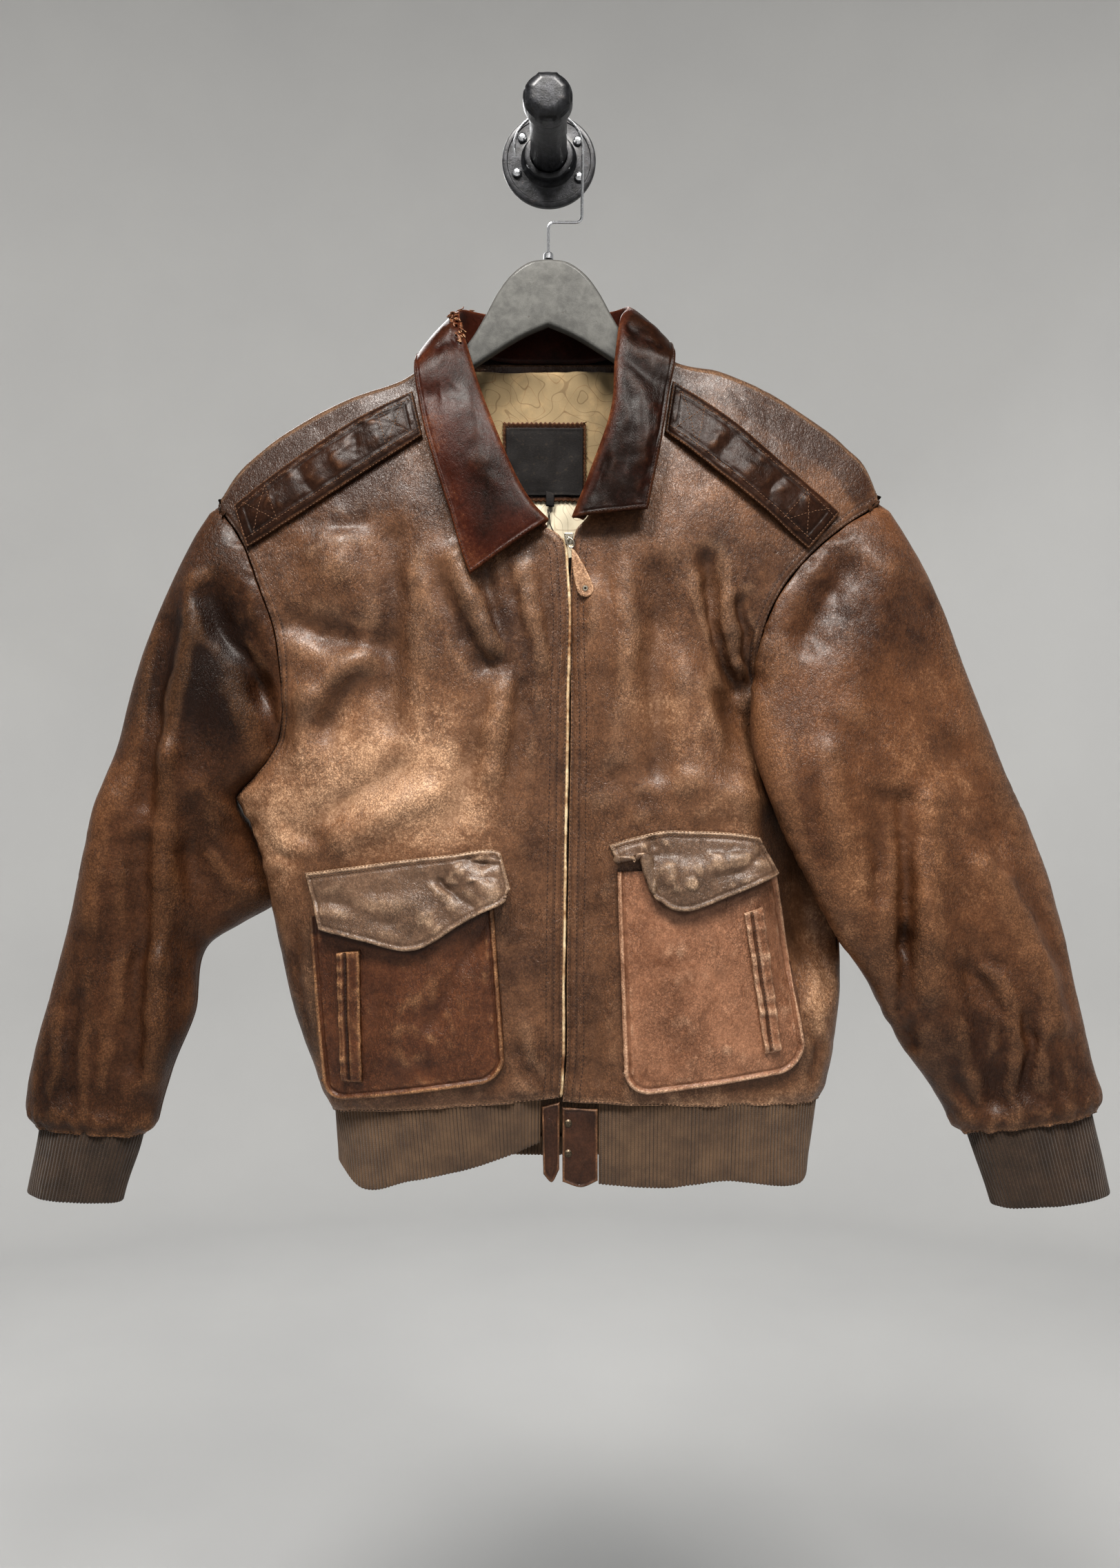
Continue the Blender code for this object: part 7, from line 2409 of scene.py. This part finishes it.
def on_pull(down, out, y):
    return np.stack(
        [
            SLIDER[0] + math.sin(PULL_LEAN) * down + math.cos(PULL_LEAN) * out,
            y,
            SLIDER[1] - math.cos(PULL_LEAN) * down + math.sin(PULL_LEAN) * out,
        ],
        axis=-1,
    )


def build_pull():
    """Two faces of thick leather round an eyelet hole, with a rounded worn rim."""
    around = np.linspace(0, 2 * math.pi, 73)
    middle = np.array((0.0455, 0.0))
    out_down = np.where(np.cos(around) > 0, 0.0075 * np.cos(around), 0.0358 * np.cos(around))
    half = np.where(np.cos(around) > 0, 0.0072, 0.0072 - 0.0030 * np.abs(np.cos(around)) ** 1.5)
    outline = np.stack([middle[0] + out_down, half * np.sin(around)], axis=-1)
    hole = middle + 0.0019 * np.stack([np.cos(around), np.sin(around)], axis=-1)
    rows = []
    for share, rise in (
        (0.0, -0.0011), (0.02, -0.0011), (0.30, -0.0012), (0.62, -0.0012), (0.86, -0.0013),
        (0.95, -0.0009), (1.0, 0.0), (0.95, 0.0009), (0.60, 0.0011), (0.30, 0.0011), (0.0, 0.0011),
        (0.0, 0.0), (0.0, -0.0011),
    ):
        spot = hole + (outline - hole) * share
        y = PULL_Y + rise + 0.0002 * np.sin(9 * spot[:, 0] / 0.02)
        rows.append(on_pull(spot[:, 0], spot[:, 1], y))
    panel = Panel(np.array(rows), flip=True)
    worn = np.array((0.2, 0.2, 0.3, 0.4, 0.7, 1.0, 1.0, 0.8, 0.2, 0.2, 0.2, 0.1, 0.1))
    values = {
        "worn": worn[:, None] * np.ones(panel.grid.shape[:2]),
        "tone": np.full(panel.grid.shape[:2], 0.5),
    }
    node = ("zip_pull_tab",)
    made = cloth("zip_pull_leather", panel, BROWN, node, values, body="zip_pull")
    welded(made)


build_pull()


# ---------------------------------------------------------------- lining and labels inside the neck
back_tree = BVHTree.FromPolygons(
    back_panel.grid.reshape(-1, 3).tolist(), quads(*back_panel.grid.shape[:2]).tolist()
)


def build_lining():
    down, share = np.linspace(-0.2085, -0.4000, 62), np.linspace(-1, 1, 84)
    coarse_z, coarse_s = np.linspace(-0.2120, -0.4000, 10), np.linspace(-1, 1, 11)
    y = np.zeros((10, 11))
    for i, z in enumerate(coarse_z):
        half = 0.0680 + 0.0470 * float(smooth((-0.2120 - z) / 0.06))
        for j, s in enumerate(coarse_s):
            y[i, j] = foremost(back_tree, s * half, z, 0.010)
    across_all = curve(np.column_stack([coarse_s, y.T]), share)
    both = curve(np.column_stack([-coarse_z, across_all.T]), -down)
    half = 0.0680 + 0.0470 * smooth((-0.2120 - down) / 0.06)
    grid = np.stack(
        [share[None] * half[:, None], both - LEATHER - 0.0020, down[:, None] * np.ones(84)], axis=-1
    )
    panel = Panel(grid)
    folds = 0.0024 * noise(grid, (0.014, 0.02, 0.055), 501)
    panel.push(folds + 0.0012 * noise(grid, (0.008, 0.02, 0.016), 502))
    low = smooth((-0.300 - panel.grid[..., 2]) / 0.012)
    values = {"low": low}
    node = ("back_lining",)
    cloth("back_lining_cloth", panel, LINING, node, values, thickness=0.0008)
    return panel


lining_panel = build_lining()


def flat_patch(name, x0, x1, z0, z1, lift, material, node, thickness, pinked=0.0, tree=None):
    rows, columns = 49, 73
    share, down = np.linspace(0, 1, columns), np.linspace(0, 1, rows)
    x = x0 + (x1 - x0) * share[None] * np.ones((rows, 1))
    z = z1 + (z0 - z1) * down[:, None] * np.ones((1, columns))
    if pinked:
        # Zigzag cut edges.
        wave_x = np.abs(((x - x0) / 0.0042) % 1 - 0.5) * 2 * pinked
        wave_z = np.abs(((z - z0) / 0.0042) % 1 - 0.5) * 2 * pinked
        z = z - wave_x * (1 - 2 * down[:, None]) * np.abs(1 - 2 * down[:, None]) ** 12
        x = x + wave_z * (1 - 2 * share[None]) * np.abs(1 - 2 * share[None]) ** 12
    # What lies behind is looked up at every sixth point, and the rest is on curves between them.
    i_at, j_at = np.arange(0, rows, 6), np.arange(0, columns, 6)
    y = np.array([[foremost(tree, x[i, j], z[i, j], 0.0) for j in j_at] for i in i_at])
    y = curve(np.column_stack([i_at / (rows - 1), y]), down)
    y = curve(np.column_stack([j_at / (columns - 1), y.T]), share).T
    panel = Panel(np.stack([x, y - lift - thickness, z], axis=-1))
    away = from_outline(panel.grid)
    panel.push(0.0004 * noise(panel.grid, 0.012, 511) - 0.0003 * bell(away - 0.003, 0.001))
    values = {
        "worn": 0.6 * bell(away, 0.0015),
        "tone": np.full(away.shape, -0.2),
        "dirt_and_shade": np.zeros(away.shape),
    }
    cloth(name, panel, material, (node,), values, thickness=thickness)
    return panel


patch_panel = flat_patch(
    "label_patch_leather", -0.0430, 0.0350, -0.3250, -0.2520, 0.0012, STRAP,
    "label_patch", 0.0013, 0.0022, tree_of(lining_panel),
)
flat_patch(
    "label_cloth_weave", -0.0390, 0.0315, -0.3190, -0.2580, 0.0006, LABEL,
    "label_cloth", 0.0006, 0.0, tree_of(patch_panel),
)
for name in ("top", "bottom", "first", "last"):
    over_stitches.append(patch_panel.line(name, 0.0050, 0.05, 0.95))


def small_tab():
    """A blank black loop below the label."""
    rows = []
    for k, z in enumerate(np.linspace(-0.3150, -0.3290, 9)):
        y = float(patch_panel.grid[-1, 40, 1]) - 0.0014 - 0.0010 * math.sin(math.pi * k / 8)
        across = np.linspace(-0.0025, 0.0050, 7)
        rows.append([(x, y, z - 0.0004 * math.sin(300 * x)) for x in across])
    panel = Panel(np.array(rows))
    cloth("label_small_tab", panel, LABEL, (), {}, thickness=0.0007)


small_tab()


def loose_threads():
    points, faces, count = [], [], 0
    for start, end, sway in ((-0.001, -0.0065, 0.003), (0.002, 0.0085, -0.004)):
        t = np.linspace(0, 1, 26)
        x = start + (end - start) * t + sway * np.sin(3.0 * t)
        z = -0.3310 - 0.0260 * t
        y = np.full(26, float(lining_panel.grid[41, 42, 1]) - 0.0016) - 0.0010 * np.sin(9 * t)
        forward = np.tile((0.0, -1.0, 0.0), (26, 1))
        line = np.concatenate([np.stack([x, y, z], axis=1), forward], axis=1)
        p, f = bead(line, 0.0011, 0.0011, 6, 0.2, 521, sink=0.1, ends=0.001)
        points.append(p)
        faces.append(f + count)
        count += len(p)
    points, faces = np.concatenate(points), np.concatenate(faces)
    build("label_loose_threads", points, faces, LABEL)


loose_threads()

# ---------------------------------------------------------------- seams stitched on the panels
body_lines = []
for side in ("left", "right"):
    panel = fronts[side]
    at_underarm = UNDERARM + 0.02
    for row in STITCH_ROWS:
        body_lines.append(panel.line("last", row, 0.02, at_underarm))
    for row in (*ZIP_ROWS, 0.0165):
        body_lines.append(panel.line("first", row, 0.30, 0.99))
    body_lines.append(panel.line("bottom", HEM_ROW, 0.0, 1.0))
    body_lines.append(sleeves[side].line("bottom", HEM_ROW, 0.0, 1.0))
for row in STITCH_ROWS:
    body_lines.append(back_panel.line("first", row, 0.06, at_underarm))
    body_lines.append(back_panel.line("last", row, 0.06, at_underarm))
body_lines.append(back_panel.line("bottom", HEM_ROW, 0.0, 1.0))
stitches("panel_stitches", body_lines, THREAD, "brown_leather")
for name, lines, material in (
    ("pocket_stitches", over_stitches, THREAD),
    ("flap_stitches", pale_stitches, PALE_THREAD),
):
    stitches(name, lines, material, "brown_leather", pitch=0.0032, length=0.0024)


# ---------------------------------------------------------------- hanger, hook and wall peg
HANGER_TOP = metres((
    (0, 0, -1140),
    (0.1, 180, -1170),
    (0.19, 340, -1285),
    (0.27, 455, -1440),
    (0.37, 575, -1660),
    (0.47, 715, -1885),
    (0.54, 840, -2020),
    (0.67, 1190, -2225),
    (0.84, 1700, -2440),
    (0.96, 2065, -2645),
    (1, 2130, -2770),
), 1)
HANGER_LOW = metres((
    (0, 0, -1740),
    (0.1, 200, -1825),
    (0.3, 680, -2120),
    (0.65, 1500, -2620),
    (0.92, 2040, -2975),
    (1, 2120, -2900),
), 1)


def build_hanger():
    """A flat moulded hanger: front and back faces with a rounded edge all the way round."""
    share = np.linspace(0, 1, 130)
    top = curve(HANGER_TOP, share)
    low = curve(HANGER_LOW, share)
    half = np.concatenate([top, low[::-1]])
    outline = np.concatenate([half, (half * (-1, 1))[::-1][1:-1]])
    step = np.linalg.norm(np.diff(outline, axis=0, append=outline[:1]), axis=-1)
    outline = outline[step > 1e-5]
    closed = np.concatenate([outline, outline[:1]])
    outline, _ = along_arc(np.column_stack([closed, 0 * closed[:, :1]]), 721)
    outline = outline[:-1, :2]
    ahead = np.roll(outline, -1, axis=0) - np.roll(outline, 1, axis=0)
    inward = np.stack([ahead[:, 1], -ahead[:, 0]], axis=-1)
    inward /= np.linalg.norm(inward, axis=-1, keepdims=True)
    centre_way = np.array((0.0, -0.150)) - outline[0]
    if (inward[0] * centre_way).sum() < 0:
        inward = -inward
    # The middle line of each arm, which both faces run to.
    spine_x = np.clip(outline[:, 0], -0.206, 0.206)
    part = np.abs(spine_x) / 0.213
    over, under = (
        curve(np.column_stack([edge[:, 1] / 0.213, edge[:, 2]]), part)[:, 0]
        for edge in (HANGER_TOP, HANGER_LOW[:5])
    )
    spine_z = (over + under) / 2
    spine = np.stack([spine_x, spine_z], axis=-1)
    rows, edge = [], []
    # How far inside the outline, how far from the middle plane, how far over to the spine, and how
    # much darker the paint is.
    half_stops = (
        (0, -0.0062, 1.0, 0), (0, -0.0061, 0.5, 0), (0.0040, -0.0060, 0, 0),
        (0.0022, -0.0056, 0, 0.4), (0.0008, -0.0044, 0, 1), (0, -0.0020, 0, 0.7),
    )
    stops = half_stops + tuple((a, -b, c, d) for a, b, c, d in half_stops[::-1])
    for inset, depth, to_spine, worn in stops:
        spot = outline + inward * inset
        spot = spot + (spine - spot) * to_spine if to_spine else spot
        y = np.full(len(spot), -0.0600 + depth)
        rows.append(np.stack([spot[:, 0], y, spot[:, 1]], axis=-1))
        edge.append(np.full(len(spot), float(worn)))
    grid = np.array(rows)
    grid = np.concatenate([grid, grid[:, :1]], axis=1)
    edge = np.array(edge)
    edge = np.concatenate([edge, edge[:, :1]], axis=1)
    made = build(
        "hanger_moulding", grid.reshape(-1, 3), quads(*grid.shape[:2]), PAINT,
        "jacket", {"edge": edge}, ("hanger",),
    )
    welded(made)


build_hanger()


def turned(name, node, steps, profile, octagon=()):
    """A profile of (radius, distance from the wall) turned about the pipe's axis."""
    rings = []
    turn = 2 * math.pi * np.arange(steps) / steps
    for index, (radius, out) in enumerate(profile):
        size = np.full(steps, radius)
        if index in octagon:
            flat = math.pi / 8
            size = radius * math.cos(flat) / np.cos((turn + flat) % (2 * flat) - flat)
        ring = (size * np.cos(turn), np.full(steps, -out), size * np.sin(turn))
        rings.append(np.stack(ring, axis=-1))
    grid = np.array(rings)
    grid = np.concatenate([grid, grid[:, :1]], axis=1)
    made = build(
        name, grid.reshape(-1, 3), quads(*grid.shape[:2]), IRON, replaces=(node,)
    )
    welded(made, 1e-7, math.radians(32))


turned(
    "wall_flange_casting", "wall_flange", 96,
    (
        (0.0, 0.0), (0.0428, 0.0), (0.0438, 0.0010), (0.0440, 0.0020), (0.0440, 0.0054),
        (0.0434, 0.0066), (0.0422, 0.0072), (0.0395, 0.0072), (0.0388, 0.0064), (0.0300, 0.0066),
        (0.0262, 0.0074), (0.0240, 0.0100), (0.0230, 0.0140), (0.0228, 0.0180), (0.0222, 0.0194),
        (0.0208, 0.0200), (0.0176, 0.0200), (0.0172, 0.0190), (0.0172, 0.0130), (0.0, 0.0125),
    ),
)
turned(
    "pipe_iron", "pipe", 64,
    (
        (0.0, 0.0124), (0.0167, 0.0124), (0.0167, 0.0400), (0.0167, 0.0800),
        (0.0167, 0.1188), (0.0, 0.1189),
    ),
)
turned(
    "pipe_cap_casting", "pipe_cap", 96,
    (
        (0.0, 0.1352), (0.0120, 0.1350), (0.0150, 0.1346), (0.0188, 0.1322), (0.0204, 0.1302),
        (0.0208, 0.1280), (0.0212, 0.1262), (0.0214, 0.1180), (0.0214, 0.1145), (0.0208, 0.1122),
        (0.0198, 0.1112), (0.0172, 0.1110), (0.0171, 0.1188), (0.0, 0.1192),
    ),
    octagon=(1, 2, 3, 4, 5),
)

# The pieces that keep their CAD solid.
SCREWS = tuple("flange_screw_%d" % number for number in (1, 2, 3, 4))
for material, nodes in (
    (CHROME, ("hanger_hook", "hook_ferrule", *SCREWS)),
    (SNAP_METAL, ("hem_snap_upper", "hem_snap_lower")),
    (ZIP_METAL, ("zip_slider", "zip_slider_bail", "zip_pull_ring", "zip_pull_eyelet")),
):
    for node in nodes:
        kept = bpy.data.objects[node]
        kept.data.materials.clear()
        kept.data.materials.append(material)
        kept.data.shade_smooth()


# ---------------------------------------------------------------- camera, light and backdrop
FLOOR_Z = -1.80
ROOM = 3.2
ROOM_TOP = 2.6
ROOM_BEND = 0.6


def backdrop():
    """A round pale floor that curves up into a wall all round the object."""
    profile = [(share * (ROOM - ROOM_BEND), FLOOR_Z) for share in (0.0, 0.3, 0.6, 1.0)]
    for k in range(1, 13):
        turn = math.pi / 2 * k / 12
        profile.append(
            (ROOM + ROOM_BEND * (math.sin(turn) - 1), FLOOR_Z + ROOM_BEND * (1 - math.cos(turn)))
        )
    profile.append((ROOM, ROOM_TOP))
    angles = np.radians(np.arange(0, 360, 5))
    points = [(r * math.sin(a), r * math.cos(a), z) for r, z in profile for a in angles]
    faces = []
    for row in range(len(profile) - 1):
        for k in range(len(angles)):
            n = (k + 1) % len(angles)
            low, high = row * len(angles), (row + 1) * len(angles)
            faces.append((low + k, low + n, high + n, high + k))
    mesh = bpy.data.meshes.new("studio_floor")
    mesh.from_pydata(points, [], faces)
    mesh.shade_smooth()
    s = Shader("pale paint", Specular_IOR_Level=0.2)
    mesh.materials.append(
        s.finish(s.mix(s.noise(0.4, 2.0), srgb(190, 191, 192), srgb(198, 199, 199)), 0.85)
    )
    made = bpy.data.objects.new("studio_floor", mesh)
    scene.collection.objects.link(made)
    made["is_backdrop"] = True


def area_light(name, place, aim, size, power, colour=(1, 1, 1)):
    data = bpy.data.lights.new(name, "AREA")
    data.shape = "RECTANGLE"
    data.size, data.size_y = size
    data.energy = power
    data.color = colour
    made = bpy.data.objects.new(name, data)
    made.location = place
    made.rotation_euler = (Vector(aim) - Vector(place)).to_track_quat("-Z", "Y").to_euler()
    made.visible_camera = False
    scene.collection.objects.link(made)


backdrop()
CHEST = (0.0, -0.08, -0.55)
WARM = (1.0, 0.965, 0.92)
area_light("key", (-0.55, -1.45, 1.55), CHEST, (0.60, 0.60), 78, WARM)
area_light("second key", (0.60, -1.65, 1.45), CHEST, (0.60, 0.60), 56, WARM)
area_light("fill", (0.4, -2.6, -0.2), (0.0, -0.05, -0.6), (2.0, 2.0), 5, (1.0, 0.97, 0.94))
area_light("back light", (-0.5, 2.3, 1.0), (0.0, -0.05, -0.45), (1.6, 1.0), 26)

world = bpy.data.worlds.new("studio")
scene.world = world
world.use_nodes = True
sky = world.node_tree.nodes["Background"]
sky.inputs["Color"].default_value = (1.0, 0.98, 0.95, 1.0)
sky.inputs["Strength"].default_value = 0.10

scene.view_settings.view_transform = "Standard"
scene.view_settings.look = "Medium High Contrast"
scene.view_settings.exposure = 0.0

lens = bpy.data.cameras.new("camera")
lens.sensor_width = 36
lens.lens = 31.66
camera = bpy.data.objects.new("camera", lens)
# Level, central and 1.30 m from the wall.
camera.location = (0.0104, -1.30, -0.585)
camera.rotation_euler = (math.radians(90), 0, 0)
scene.collection.objects.link(camera)
scene.camera = camera

low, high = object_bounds()
